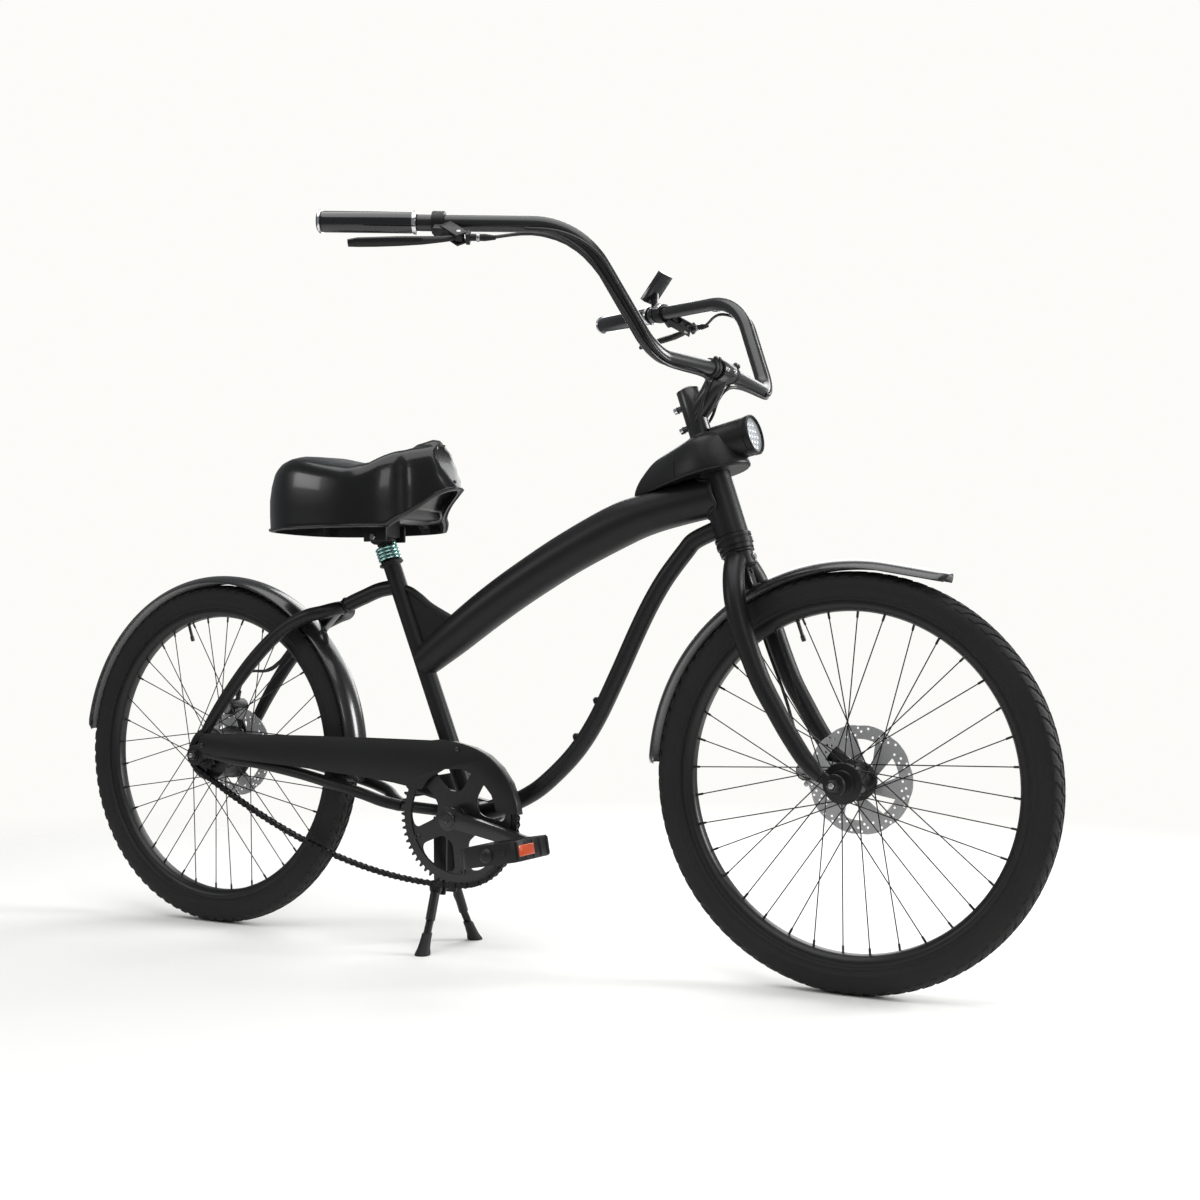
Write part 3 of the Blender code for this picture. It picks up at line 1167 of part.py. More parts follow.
def make_stem(parent):
    clamp = steer(CLAMP_ALONG, CLAMP_FORWARD)
    post = rod(steer(STEM_LOW), steer(STEM_HIGH), STEM_RADIUS, LARGE_SIDES)
    start = steer(0.6580, 0.004)
    middle = steer(0.6800, 0.036)
    facing = (clamp - middle).normalized()
    sizes = [(0.0190, 0.0185), (0.0185, 0.0165), (0.0210, 0.0170)]
    reach = tube([start, middle, clamp - facing * 0.004], sizes, TUBE_SIDES, up=Vector((0.8, 0, -0.5)))
    jaw = rod(clamp - SIDE * 0.0230, clamp + SIDE * 0.0230, 0.0190, JAW_SIDES)
    bolts = [rod(steer(height, -0.010), steer(height, -0.0290), 0.0052, SMALL_SIDES) for height in (0.640, 0.676)]
    body = join(post, reach, jaw, *bolts)
    bore = rod(steer(STEM_LOW - 0.01), steer(STEERER_HIGH + GAP), STEERER_RADIUS + GAP, LARGE_SIDES)
    bar = rod(clamp - SIDE * 0.04, clamp + SIDE * 0.04, BAR_BORE, BORE_SIDES)
    split = block(clamp + facing * (0.05 + GAP / 2), (0.1, 0.1, 0.1), axes(facing, SIDE.cross(facing)))
    piece("stem", largest(cut(body, bore, bar, split), 0), "bar_black", parent)
    cap = rod(clamp - SIDE * 0.0230, clamp + SIDE * 0.0230, 0.0190, JAW_SIDES)
    back = block(clamp - facing * (0.05 - GAP), (0.1, 0.1, 0.1), axes(facing, SIDE.cross(facing)))
    cap = cut(cap, rod(clamp - SIDE * 0.04, clamp + SIDE * 0.04, BAR_BORE, BORE_SIDES), back)
    piece("stem_faceplate", cap, "bar_black", parent)


def make_handlebar(parent):
    left = bar_path()
    path = [Vector((p.x, -p.y, p.z)) for p in reversed(left[1:])] + left
    path[-1] = path[-1] + (path[-2] - path[-1]).normalized() * 0.004
    path[0] = path[0] + (path[1] - path[0]).normalized() * 0.004
    piece("handlebar", tube(path, BAR_RADIUS, TUBE_SIDES), "bar_black", parent)


def bar_station(side, from_end):
    """(point, direction towards the stem) on the bar's straight end, at a distance from that end."""
    path = bar_path()
    end, before = path[-1], path[-2]
    ahead = (before - end).normalized()
    point = end + ahead * from_end
    return Vector((point.x, side * point.y, point.z)), Vector((ahead.x, side * ahead.y, ahead.z))


def lever_frame(side):
    """Directions at the grips: along the bar, out towards the lever, and the lever's hinge."""
    _, ahead = bar_station(side, 0)
    out = Vector((0, side * math.cos(LEVER_TILT), -math.sin(LEVER_TILT)))
    out = (out - ahead * out.dot(ahead)).normalized()
    return ahead, out, ahead.cross(out)


def grip_solid(side):
    end, ahead = bar_station(side, -0.002)
    profile = [(0, 0), (GRIP_RING_RADIUS - 0.001, 0), (GRIP_RING_RADIUS, 0.001), (GRIP_RING_RADIUS, 0.006)]
    profile += [(GRIP_RADIUS, 0.0062), (GRIP_RADIUS, GRIP_LENGTH - 0.0092), (GRIP_RING_RADIUS, GRIP_LENGTH - 0.009)]
    profile += [(GRIP_RING_RADIUS, GRIP_LENGTH), (BAR_BORE, GRIP_LENGTH), (BAR_BORE, 0.0055), (0, 0.0055)]
    return turned(profile, end, ahead, BORE_SIDES)


def lever_solid(side):
    ahead, out, hinge = lever_frame(side)
    place, _ = bar_station(side, 0)

    def spot(from_end, reach):
        return place + ahead * from_end + out * reach

    pivot_at = spot(LEVER_PIVOT_AT, LEVER_PIVOT_REACH)
    blade_length = LEVER_PIVOT_AT - LEVER_TIP_AT
    route = [pivot_at]
    sizes = [(0.0046, 0.0048)]
    for share, reach, wide, thick in (
        (0.14, -0.0140, 0.0046, 0.0060),
        (0.32, -0.0090, 0.0064, 0.0065),
        (0.53, -0.0055, 0.0078, 0.0062),
        (0.74, -0.0020, 0.0080, 0.0055),
        (0.91, 0.0, 0.0078, 0.0050),
        (1.0, 0.0030, 0.0060, 0.0045),
    ):
        route.append(spot(LEVER_PIVOT_AT - blade_length * share, LEVER_REACH + reach))
        sizes.append((wide, thick))
    blade = tube(route, sizes, SMALL_SIDES, up=out)
    eye = rod(pivot_at - hinge * 0.0048, pivot_at + hinge * 0.0048, 0.0085, TUBE_SIDES)
    hole = rod(pivot_at - hinge * 0.02, pivot_at + hinge * 0.02, LEVER_PIN_RADIUS + GAP, PIN_SIDES)
    return cut(join(blade, eye), hole), pivot_at


def lever_bracket_solid(side):
    ahead, out, hinge = lever_frame(side)
    place, _ = bar_station(side, LEVER_CLAMP_AT)
    pivot_at = bar_station(side, LEVER_PIVOT_AT)[0] + out * LEVER_PIVOT_REACH
    half = 0.0095
    clamp = rod(place - ahead * half, place + ahead * half, BAR_RADIUS + 0.0055, BORE_SIDES)
    arm = block(place + ahead * 0.012 + out * 0.0210, (0.020, 0.030, 0.0130), axes(out, hinge))
    root = place + ahead * 0.020 + out * 0.024
    reach = pivot_at - root
    plates = []
    for face in (-1, 1):
        middle = (root + pivot_at) / 2 + hinge * (face * 0.0075)
        plates.append(block(middle, (reach.length + 0.018, 0.020, 0.0030), axes(reach, hinge)))
    pin = rod(pivot_at - hinge * 0.0085, pivot_at + hinge * 0.0085, LEVER_PIN_RADIUS, PIN_SIDES)
    barrel_start = pivot_at + ahead * 0.0125 + out * 0.001
    barrel = rod(barrel_start, barrel_start + ahead * 0.026, 0.0055, SMALL_SIDES)
    bridge = block(barrel_start + ahead * 0.002, (0.006, 0.016, 0.0170), axes(ahead, hinge))
    body = join(clamp, arm, *plates, bridge, barrel, pin)
    bar = rod(place - ahead * 0.05, place + ahead * 0.05, BAR_BORE, BORE_SIDES)
    cable = rod(barrel_start + ahead * 0.020, barrel_start + ahead * 0.04, CABLE_BORE, PIN_SIDES)
    return cut(body, bar, cable), barrel_start + ahead * (0.020 + GAP)


def make_controls(parent):
    for side, name in ((-1, "right"), (1, "left")):
        piece("grip_" + name, grip_solid(side), "grip_gloss", parent)
        bracket, barrel = lever_bracket_solid(side)
        piece("lever_bracket_" + name, bracket, "plastic_black", parent)
        lever, place = lever_solid(side)
        piece("brake_lever_" + name, lever, "plastic_black", pivot("brake_lever_" + name + "_axis", place, parent))
        piece("brake_cable_" + name, cable_solid(side, barrel), "cable_black", parent)
    make_display(parent)


def cable_solid(side, barrel):
    """Cable from the lever's barrel, along the bar to the stem and down behind it to the collar."""
    ahead, out, _ = lever_frame(side)
    path = bar_path()
    total = sum((b - a).length for a, b in zip(path, path[1:]))
    off = BAR_RADIUS + CABLE_RADIUS + CABLE_OFF_BAR
    route = [barrel, barrel + ahead * 0.022]
    for share in (0.60, 0.52, 0.44, 0.36, 0.32, 0.285, 0.255, 0.225, 0.19, 0.11):
        point, heading = along_path(path, total * share)
        point = Vector((point.x, side * point.y, point.z))
        heading = Vector((heading.x, side * heading.y, heading.z))
        down = Vector((0.35, side * 0.55, -0.75))
        down = (down - heading * down.dot(heading)).normalized()
        route.append(point + down * off)
    clamp = steer(CLAMP_ALONG, CLAMP_FORWARD)
    route.append(clamp + Vector((-0.004, side * 0.034, -0.0185)))
    route.append(steer(0.6700, 0.0330, side * 0.0260))
    route.append(steer(0.6520, 0.0230, side * 0.0250))
    route.append(steer(0.6390, 0.0060, side * 0.0245))
    return tube(route, CABLE_RADIUS, PIN_SIDES)


def make_display(parent):
    place, ahead = bar_station(1, DISPLAY_AT)
    lean = Vector((0.62, 0, 0.78)).normalized()
    over = SIDE.cross(lean) * -1
    ring = rod(place - ahead * 0.006, place + ahead * 0.006, BAR_RADIUS + 0.0035, BORE_SIDES)
    body = block(place + lean * 0.0440 + over * 0.0300, (0.066, 0.046, 0.011), axes(lean, over))
    arm = block(place + Vector((0, 0, 0.0270)), (0.011, 0.011, 0.034))
    bar = rod(place - ahead * 0.05, place + ahead * 0.05, BAR_BORE, BORE_SIDES)
    piece("display", cut(join(ring, arm, body), bar), "display_black", parent)


# Brakes at the wheels


def caliper_solid(centre, foot, direction, axle):
    """Caliper body with a slot for the rotor, a foot on the outer face of its tab and a cable barrel."""
    low = ROTOR_SIDE - 0.0120
    high = DROPOUT_INNER + DROPOUT_THICKNESS + 0.0078
    body = rod(centre + SIDE * low, centre + SIDE * high, CALIPER_RADIUS, BORE_SIDES)
    direction = Vector(direction).normalized()
    barrel_start = centre + SIDE * (ROTOR_SIDE + 0.0150)
    barrel_end = barrel_start + direction * 0.0330
    barrel = rod(barrel_start, barrel_end, 0.0048, 8)
    face = DROPOUT_INNER + DROPOUT_THICKNESS + GAP
    middle = SIDE * ((face + high) / 2)
    deep = high - face
    pad = block(foot + middle, (0.015, deep, 0.022))
    link = block((foot + centre) / 2 + middle, ((foot - centre).length + 0.010, deep, 0.014), level(foot - centre))
    room = SIDE * (ROTOR_THICKNESS / 2 + 0.0015)
    slot = rod(axle + SIDE * ROTOR_SIDE - room, axle + SIDE * ROTOR_SIDE + room, ROTOR_RADIUS + 0.0020, 36)
    cable = rod(barrel_end - direction * 0.008, barrel_end + direction * 0.01, CABLE_BORE, PIN_SIDES)
    return cut(join(body, barrel, pad, link), slot, cable), barrel_end


def level(direction):
    return axes(direction, SIDE.cross(Vector(direction)))


def caliper_arm_solid(place, direction):
    """Actuating arm on the outer face of a caliper, round a stub shaft."""
    low = DROPOUT_INNER + DROPOUT_THICKNESS + 0.0078 + GAP
    start = Vector((place.x, low, place.z))
    end = start + Vector(direction).normalized() * 0.030
    half = SIDE * 0.0020
    eye = rod(start, start + half * 2, 0.0080, 12)
    tip = rod(end, end + half * 2, 0.0045, 10)
    bar = block((start + end) / 2 + half, ((end - start).length, 0.0040, 0.0080), level(end - start))
    return join(eye, tip, bar)


def make_brakes(bicycle, steering):
    rear = REAR_AXLE + Vector((-0.0170, 0, 0.0900))
    foot = REAR_AXLE + Vector((-0.0170, 0, 0.0560))
    lean = Vector((0.25, 0, 0.97)).normalized()
    solid, barrel = caliper_solid(rear, foot, lean, REAR_AXLE)
    piece("rear_caliper", solid, "plastic_black", bicycle)
    arm = pivot("rear_caliper_arm_axis", rear, bicycle)
    piece("rear_caliper_arm", caliper_arm_solid(rear, (-0.6, 0, 0.8)), "bolt_steel", arm)
    stay = mirrored(seat_stay_path())
    route = [barrel - lean * (0.008 - GAP), barrel + lean * 0.020, barrel + lean * 0.045 + Vector((0.010, 0, 0))]
    for low, high in ((stay[-3], stay[-4]), (stay[-4], stay[-5]), (stay[-5], stay[-6])):
        over = (high - low).cross(SIDE).normalized()
        route.append((low + high) / 2 + over * (SEAT_STAY_RADIUS + CABLE_RADIUS + CABLE_OFF_BAR))
    piece("rear_brake_cable", tube(route, CABLE_RADIUS, PIN_SIDES), "cable_black", bicycle)
    front = FRONT_AXLE + Vector((-0.0900, 0, 0.0107))
    foot = FRONT_AXLE + Vector((-0.0640, 0, 0.0180))
    lean = Vector((-0.45, 0, 0.89)).normalized()
    solid, barrel = caliper_solid(front, foot, lean, FRONT_AXLE)
    piece("front_caliper", cut(solid, fork_leg_solid(1, GAP)), "plastic_black", steering)
    arm = pivot("front_caliper_arm_axis", front, steering)
    piece("front_caliper_arm", caliper_arm_solid(front, (-0.5, 0, -0.8)), "bolt_steel", arm)
    route = [steer(0.3860, -0.0250, 0.0400), steer(0.3600, -0.0225, 0.0500), steer(0.3250, -0.0252, 0.0615)]
    route += [steer(0.2800, -0.0264, 0.0650), steer(0.2306, -0.0252, 0.0655), steer(0.1850, -0.0214, 0.0660)]
    route += [steer(0.1400, -0.0215, 0.0670), barrel + lean * 0.020, barrel - lean * (0.008 - GAP)]
    piece("front_brake_cable", tube(route, CABLE_RADIUS, PIN_SIDES, up=Vector((1, 0, 0))), "cable_black", steering)


# Saddle, spring and stand


def saddle_half_width(x):
    """Half width of the saddle's rim at a distance from its rear edge."""
    along = min(max(x / SADDLE_LENGTH, 0.0), 1.0)
    for (x0, y0), (x1, y1) in zip(SADDLE_PLAN, SADDLE_PLAN[1:]):
        if along <= x1:
            return SADDLE_WIDTH / 2 * (y0 + (y1 - y0) * (along - x0) / (x1 - x0))
    return 0.0


def saddle_top(x, side):
    """Height of the cushion: a hump at the rear, a dip, a rise at the waist and a level nose."""
    along = min(max(x / SADDLE_LENGTH, 0.0), 1.0)
    height = SADDLE_CREST[-1][1]
    for (x0, z0), (x1, z1) in zip(SADDLE_CREST, SADDLE_CREST[1:]):
        if x0 <= along <= x1:
            height = z0 + (z1 - z0) * (along - x0) / (x1 - x0)
            break
    crown = SADDLE_CROWN * (1.0 if x < SADDLE_WAIST else 0.5)
    return SADDLE_HEIGHT * height + crown * (1 - side * side)


def saddle_rim_height(x):
    """The rim is level under the wide part and climbs towards the nose."""
    start = SADDLE_WAIST - 0.015
    share = max(0.0, (x - start) / (SADDLE_LENGTH - start))
    return SADDLE_NOSE_LIFT * (1 - (1 - min(1.0, share)) ** 1.5)


def saddle_side_height(x, side):
    """Height of the widest part of the cushion's wall, a little over halfway from the rim to the top."""
    return saddle_rim_height(x) * 0.45 + saddle_top(x, 1) * 0.55


def saddle_outline(inset, lean):
    """(x, y) points round the saddle from its rear edge to its tip and back. Lean draws only the nose in."""
    points = []
    for share, wide in SADDLE_PLAN:
        x = inset + (SADDLE_LENGTH - 2 * inset) * share - lean * max(0.0, (share - 0.62) / 0.38) ** 2
        half = wide * SADDLE_WIDTH / 2
        points.append((x, max(half * 0.5, half - inset)))
    return points + [(x, -y) for x, y in reversed(points[1:-1])]


def saddle_ring(inset, lean, height):
    ring = []
    for x, y in saddle_outline(inset, lean):
        wide = max(0.02, saddle_half_width(x))
        ring.append(SADDLE_FOOT + Vector((x, y, height(x, min(1.0, y / wide)))))
    return ring


def saddle_solid(rings):
    """A closed solid from saddle outlines, one above the other, whose two ends are closed by strips across."""
    solid = bmesh.new()
    made = [[solid.verts.new(p) for p in ring] for ring in rings]
    count = len(made[0])
    for low, high in zip(made, made[1:]):
        for i in range(count):
            j = (i + 1) % count
            solid.faces.new((low[i], low[j], high[j], high[i]))
    for ring in (made[0], made[-1]):
        solid.faces.new((ring[0], ring[1], ring[-1]))
        for i in range(1, count // 2 - 1):
            solid.faces.new((ring[i], ring[i + 1], ring[count - 1 - i], ring[count - i]))
        solid.faces.new((ring[count // 2 - 1], ring[count // 2], ring[count // 2 + 1]))
    bmesh.ops.recalc_face_normals(solid, faces=solid.faces[:])
    return solid


def crown_ring(shrink):
    """Smaller ring on top of the cushion, drawn in towards its middle."""
    ring = []
    for x, y in saddle_outline(0.0280, SADDLE_NOSE_LEAN - 0.020):
        wide = max(0.02, saddle_half_width(x))
        narrow = y * (1 - shrink)
        x += (SADDLE_LENGTH * 0.406 - x) * shrink * (0.50 if x < SADDLE_WAIST else 0.12)
        ring.append(SADDLE_FOOT + Vector((x, narrow, saddle_top(x, narrow / wide))))
    return ring


def make_saddle(parent):
    lean = SADDLE_NOSE_LEAN
    rings = [saddle_ring(0.0, 0.0, lambda x, side: saddle_rim_height(x))]
    rings.append(saddle_ring(-0.0020, lean * 0.55, saddle_side_height))
    rings.append(saddle_ring(0.0015, lean * 0.76, lambda x, side: saddle_top(x, 1) - 0.020))
    rings.append(saddle_ring(0.0110, lean - 0.011, lambda x, side: saddle_top(x, 1) - 0.005))
    rings.append(saddle_ring(0.0280, lean - 0.020, lambda x, side: saddle_top(x, 0.85)))
    rings.append(crown_ring(0.38))
    rings.append(crown_ring(0.80))
    inside = SADDLE_WALL
    hollow = [saddle_ring(inside, 0.0, lambda x, side: saddle_rim_height(x) - 0.01)]
    hollow.append(saddle_ring(inside, lean * 0.60, lambda x, side: saddle_rim_height(x) + 0.045))
    piece("saddle_cover", cut(saddle_solid(rings), saddle_solid(hollow)), "saddle_gloss", parent)
    inside = SADDLE_WALL + 0.0040
    pan = [saddle_ring(inside, lean * 0.46, lambda x, side: saddle_rim_height(x) + 0.0240)]
    pan.append(saddle_ring(inside, lean * 0.60, lambda x, side: saddle_rim_height(x) + 0.0360))
    post_top = SEAT_TOP + SEAT_UP * SEAT_POST_SHOWN
    clamp = rod(post_top - SIDE * 0.0240, post_top + SIDE * 0.0240, 0.0150, BORE_SIDES)
    high = SADDLE_FOOT.z + 0.036
    neck = block((post_top.x + 0.002, 0, (post_top.z + high) / 2), (0.044, 0.042, high - post_top.z))
    top = post_top + SEAT_UP * 0.006
    bore = rod(top - SEAT_UP * 0.06, top + SEAT_UP * GAP, SEAT_POST_RADIUS + GAP, BORE_SIDES)
    piece("saddle_base", cut(join(saddle_solid(pan), clamp, neck), bore), "plastic_black", parent)
    high = SEAT_POST_SHOWN + 0.006
    profile = [(0, -SEAT_POST_DEPTH), (SEAT_POST_RADIUS, -SEAT_POST_DEPTH), (SEAT_POST_RADIUS, high), (0, high)]
    piece("seat_post", turned(profile, SEAT_TOP, SEAT_UP, BORE_SIDES), "bar_black", parent)


def make_spring(root):
    """Wound spring round the post, from the collar of the seat tube upwards, in one unbroken tube."""
    steps = 8
    across = SEAT_UP.cross(SIDE)
    count = int(SPRING_TURNS * steps)
    path = []
    for i in range(count + 1):
        angle = 2 * math.pi * i / steps
        rise = SPRING_WIRE + GAP + (SPRING_RISE - 2 * SPRING_WIRE) * i / count
        out = across * math.cos(angle) + SIDE * math.sin(angle)
        path.append(SEAT_TOP + out * SPRING_RADIUS + SEAT_UP * rise)
    first = (path[0] - path[1]).normalized()
    last = (path[-1] - path[-2]).normalized()
    path = [path[0] + first * SPRING_WIRE * 2] + path + [path[-1] + last * SPRING_WIRE * 2]
    piece("spring_collar", tube(path, SPRING_WIRE, 6, up=SEAT_UP), "spring_chrome", root)


def make_stand(root):
    axis = Vector((STAND_PIVOT_X, 0, STAND_PIVOT_Z))
    yoke_z = CRANK_AXIS_Z + YOKE_RISE * (CRANK_AXIS_X - STAND_PIVOT_X) / YOKE_LENGTH
    high = yoke_z - 0.002
    low = STAND_PIVOT_Z - 0.014
    bracket = block((STAND_PIVOT_X, 0, (high + low) / 2), (0.030, 0.040, high - low))
    bore = rod(axis - SIDE * 0.05, axis + SIDE * 0.05, STAND_SHAFT_RADIUS + RUNNING_GAP / 2, TUBE_SIDES)
    bracket = cut(bracket, bore, yoke_solid(GAP), shell_solid(GAP))
    piece("stand_bracket", bracket, "frame_black", root)
    swing = pivot("center_stand_axis", axis, root)
    stand = rod(axis - SIDE * STAND_HALF_WIDTH, axis + SIDE * STAND_HALF_WIDTH, STAND_SHAFT_RADIUS, TUBE_SIDES)
    parts = []
    for side in (-1, 1):
        hip = axis + SIDE * (side * (STAND_HALF_WIDTH - 0.001))
        knee = Vector((STAND_PIVOT_X, side * (STAND_HALF_WIDTH + 0.002), STAND_KNEE_HEIGHT))
        foot = Vector((STAND_PIVOT_X + STAND_FOOT_FORWARD, side * STAND_FOOT_SPREAD, 0.0))
        ankle = knee + (foot - knee) * 0.86
        parts.append(tube([hip, knee, ankle], STAND_LEG_RADIUS, SMALL_SIDES, up=Vector((1, 0, 0))))
        profile = [(0, 0), (STAND_FOOT_RADIUS, 0), (STAND_FOOT_RADIUS, 0.0030), (0.0092, STAND_FOOT_HEIGHT)]
        profile.append((0, STAND_FOOT_HEIGHT))
        cone = turned(profile, foot, (0, 0, 1), TUBE_SIDES)
        lean = (ankle - foot) / (ankle.z - foot.z)
        for vert in cone.verts:
            vert.co.x += lean.x * vert.co.z
            vert.co.y += lean.y * vert.co.z
        parts.append(cone)
        parts.append(rod(hip - SIDE * (side * 0.004), hip + SIDE * (side * 0.003), 0.0095, TUBE_SIDES))
    piece("center_stand", join(stand, *parts), "plastic_black", swing)


def main():
    for thing in list(bpy.data.objects):
        bpy.data.objects.remove(thing)
    make_finishes()
    bicycle = pivot("bicycle", (0, 0, 0), None)
    make_head(bicycle)
    make_main_tubes(bicycle)
    make_gusset(bicycle)
    make_stays(bicycle)
    make_axle("rear_axle", REAR_AXLE, bicycle)
    make_chain_guard(bicycle)
    make_rear_mudguard(bicycle)
    make_shroud(bicycle)
    make_chain(bicycle)
    make_spring(bicycle)
    make_stand(bicycle)
    steering = pivot("steering_axis", steer(HEAD_TUBE_LOW), bicycle)
    make_fork(steering)
    make_front_mudguard(steering)
    make_stem(steering)
    make_handlebar(steering)
    make_controls(steering)
    make_axle("front_axle", FRONT_AXLE, steering)
    make_brakes(bicycle, steering)
    rear_wheel = pivot("rear_wheel_axis", REAR_AXLE, bicycle)
    make_wheel("rear", REAR_AXLE, REAR_FLANGE_RADIUS, REAR_BARREL_RADIUS, rear_wheel)
    front_wheel = pivot("front_wheel_axis", FRONT_AXLE, steering)
    make_wheel("front", FRONT_AXLE, FRONT_FLANGE_RADIUS, FRONT_BARREL_RADIUS, front_wheel)
    make_sprocket(pivot("rear_sprocket_axis", REAR_AXLE, bicycle))
    crank = pivot("crank_axis", CRANK_AXIS, bicycle)
    make_chainring(crank)
    make_cranks(crank)
    make_saddle(pivot("seat_height_axis", SEAT_TOP, bicycle))
    centre_on_origin(bicycle)


def centre_on_origin(bicycle):
    """Moves the whole bicycle along X, so that the origin is midway between its two ends."""
    bpy.context.view_layer.update()
    reach = []
    for thing in bpy.data.objects:
        if thing.type == "MESH":
            reach += [(thing.matrix_world @ v.co).x for v in thing.data.vertices]
    bicycle.location.x -= (min(reach) + max(reach)) / 2


main()
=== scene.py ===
"""Looks of a step-through cruiser bicycle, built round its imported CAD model.

Every size is in metres. Pieces are modelled with the rear axle at X = 0 and moved once into the frame of the
CAD model, where the drive side is at -Y and the front wheel at +X.
"""

import logging
from collections.abc import Sequence
from dataclasses import dataclass
from enum import Enum
from math import asin, atan2, copysign, cos, hypot, pi, radians, sin, sqrt, tan

import bmesh
import bpy
from mathutils import Matrix, Vector


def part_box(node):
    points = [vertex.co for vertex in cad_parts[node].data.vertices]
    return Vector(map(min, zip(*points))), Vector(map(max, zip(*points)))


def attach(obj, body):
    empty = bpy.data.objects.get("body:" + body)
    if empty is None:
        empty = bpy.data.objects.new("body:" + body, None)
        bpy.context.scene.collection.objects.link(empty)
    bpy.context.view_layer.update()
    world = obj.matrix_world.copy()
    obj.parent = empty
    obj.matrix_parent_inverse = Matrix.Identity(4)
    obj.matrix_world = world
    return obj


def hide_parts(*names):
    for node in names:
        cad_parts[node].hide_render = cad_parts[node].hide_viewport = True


LOG = logging.getLogger("bicycle")
SIDE = Vector((0.0, 1.0, 0.0))
TURN = 2 * pi
Point = Sequence[float]
Pair = tuple[float, float]
Triple = tuple[float, float, float]
Profile = Sequence[Pair]
Object = bpy.types.Object


# Shader values


class Value:
    """A socket of a shader tree that can be used in sums, as plain numbers are."""

    def __init__(self, shade: "Shade", socket: bpy.types.NodeSocket) -> None:
        """Keeps the tree and the socket."""
        self.shade = shade
        self.socket = socket

    def _do(self, operation: str, *values: "Value | float") -> "Value":
        """One Math node on some values."""
        return self.shade.node("Math", dict(enumerate(values)), operation=operation)

    def __add__(self, other: "Value | float") -> "Value":
        """Sum."""
        return self._do("ADD", self, other)

    __radd__ = __add__

    def __mul__(self, other: "Value | float") -> "Value":
        """Product."""
        return self._do("MULTIPLY", self, other)

    __rmul__ = __mul__

    def __sub__(self, other: "Value | float") -> "Value":
        """Difference."""
        return self._do("SUBTRACT", self, other)

    def __rsub__(self, other: "Value | float") -> "Value":
        """Difference from a number."""
        return self._do("SUBTRACT", other, self)

    def __pow__(self, other: "Value | float") -> "Value":
        """Power."""
        return self._do("POWER", self, other)

    def step(self, low: float, high: float) -> "Value":
        """Smooth rise from 0 at low to 1 at high.

        Args:
            low: Value at which the rise starts.
            high: Value at which it ends.

        Returns:
            The share of the rise.
        """
        return self.shade.node(
            "MapRange", {"Value": self, "From Min": low, "From Max": high}, interpolation_type="SMOOTHSTEP"
        )


class Shade:
    """The shader tree of one material, with short ways of adding nodes."""

    def __init__(self, name: str) -> None:
        """Starts a material of that name with a lone Principled shader."""
        self.material = bpy.data.materials.new(name)
        self.material.use_nodes = True
        self.tree = self.material.node_tree
        self.surface = self.tree.nodes["Principled BSDF"]

    def node(self, kind: str, inputs: dict | None = None, out: int | str = 0, **settings: object) -> Value:
        """Adds a node.

        Args:
            kind: Type of the node, without its ShaderNode prefix.
            inputs: Value or link for each input, by name or index.
            out: Output that is wanted, by name or index.
            settings: Settings of the node, made before its inputs.

        Returns:
            The wanted output.
        """
        made = self.tree.nodes.new("ShaderNode" + kind)
        for key, value in settings.items():
            setattr(made, key, value)
        for key, value in (inputs or {}).items():
            self.feed(made.inputs[key], value)
        return Value(self, made.outputs[out])

    def feed(self, socket: bpy.types.NodeSocket, value: object) -> None:
        """Gives a socket a value or a link."""
        if isinstance(value, Value):
            self.tree.links.new(value.socket, socket)
        else:
            socket.default_value = value

    def place(self, source: str = "Object") -> Value:
        """Object or UV coordinates."""
        return self.node("TexCoord", out=source)

    def moved(self, centre: Point, scale: Point = (1, 1, 1)) -> Value:
        """Object coordinates about a centre, stretched by a scale."""
        offset = [-c * s for c, s in zip(centre, scale)]
        return self.node("Mapping", {"Vector": self.place(), "Location": offset, "Scale": scale})

    def noise(self, scale: float, detail: float = 2.0, where: Value | None = None) -> Value:
        """Cloudy noise from 0 to 1, with so many features in a metre."""
        inputs = {"Vector": where or self.place(), "Scale": scale, "Detail": detail}
        return self.node("TexNoise", inputs, noise_dimensions="3D")

    def cells(self, scale: float, feature: str = "F1", where: Value | None = None) -> Value:
        """Distance to the nearest cell point or cell edge, with so many cells in a metre."""
        inputs = {"Vector": where or self.place(), "Scale": scale}
        return self.node("TexVoronoi", inputs, out="Distance", feature=feature)

    def axes(self, vector: Value) -> list[Value]:
        """The three parts of a vector."""
        parts = self.node("SeparateXYZ", {0: vector}).socket.node
        return [Value(self, output) for output in parts.outputs]

    def blend(self, share: Value | float, first: Point, second: Point | Value) -> Value:
        """Mixes two colours by a share."""
        node = self.tree.nodes.new("ShaderNodeMix")
        node.data_type = "RGBA"
        sockets = [socket for socket in node.inputs if socket.enabled]
        for socket, value in zip(sockets, (share, first, second)):
            full = (*value, 1.0) if isinstance(value, (tuple, list)) and len(value) == 3 else value
            self.feed(socket, full)
        return Value(self, next(output for output in node.outputs if output.enabled))

    def bump(self, height: Value, depth: float) -> None:
        """Gives the surface a relief of a depth in metres."""
        normal = self.node("Bump", {"Height": height, "Distance": depth, "Strength": 1.0})
        self.feed(self.surface.inputs["Normal"], normal)

    def set(self, **values: object) -> None:
        """Sets inputs of the Principled shader, named with _ for a space."""
        for key, value in values.items():
            self.feed(self.surface.inputs[key.replace("_", " ")], value)


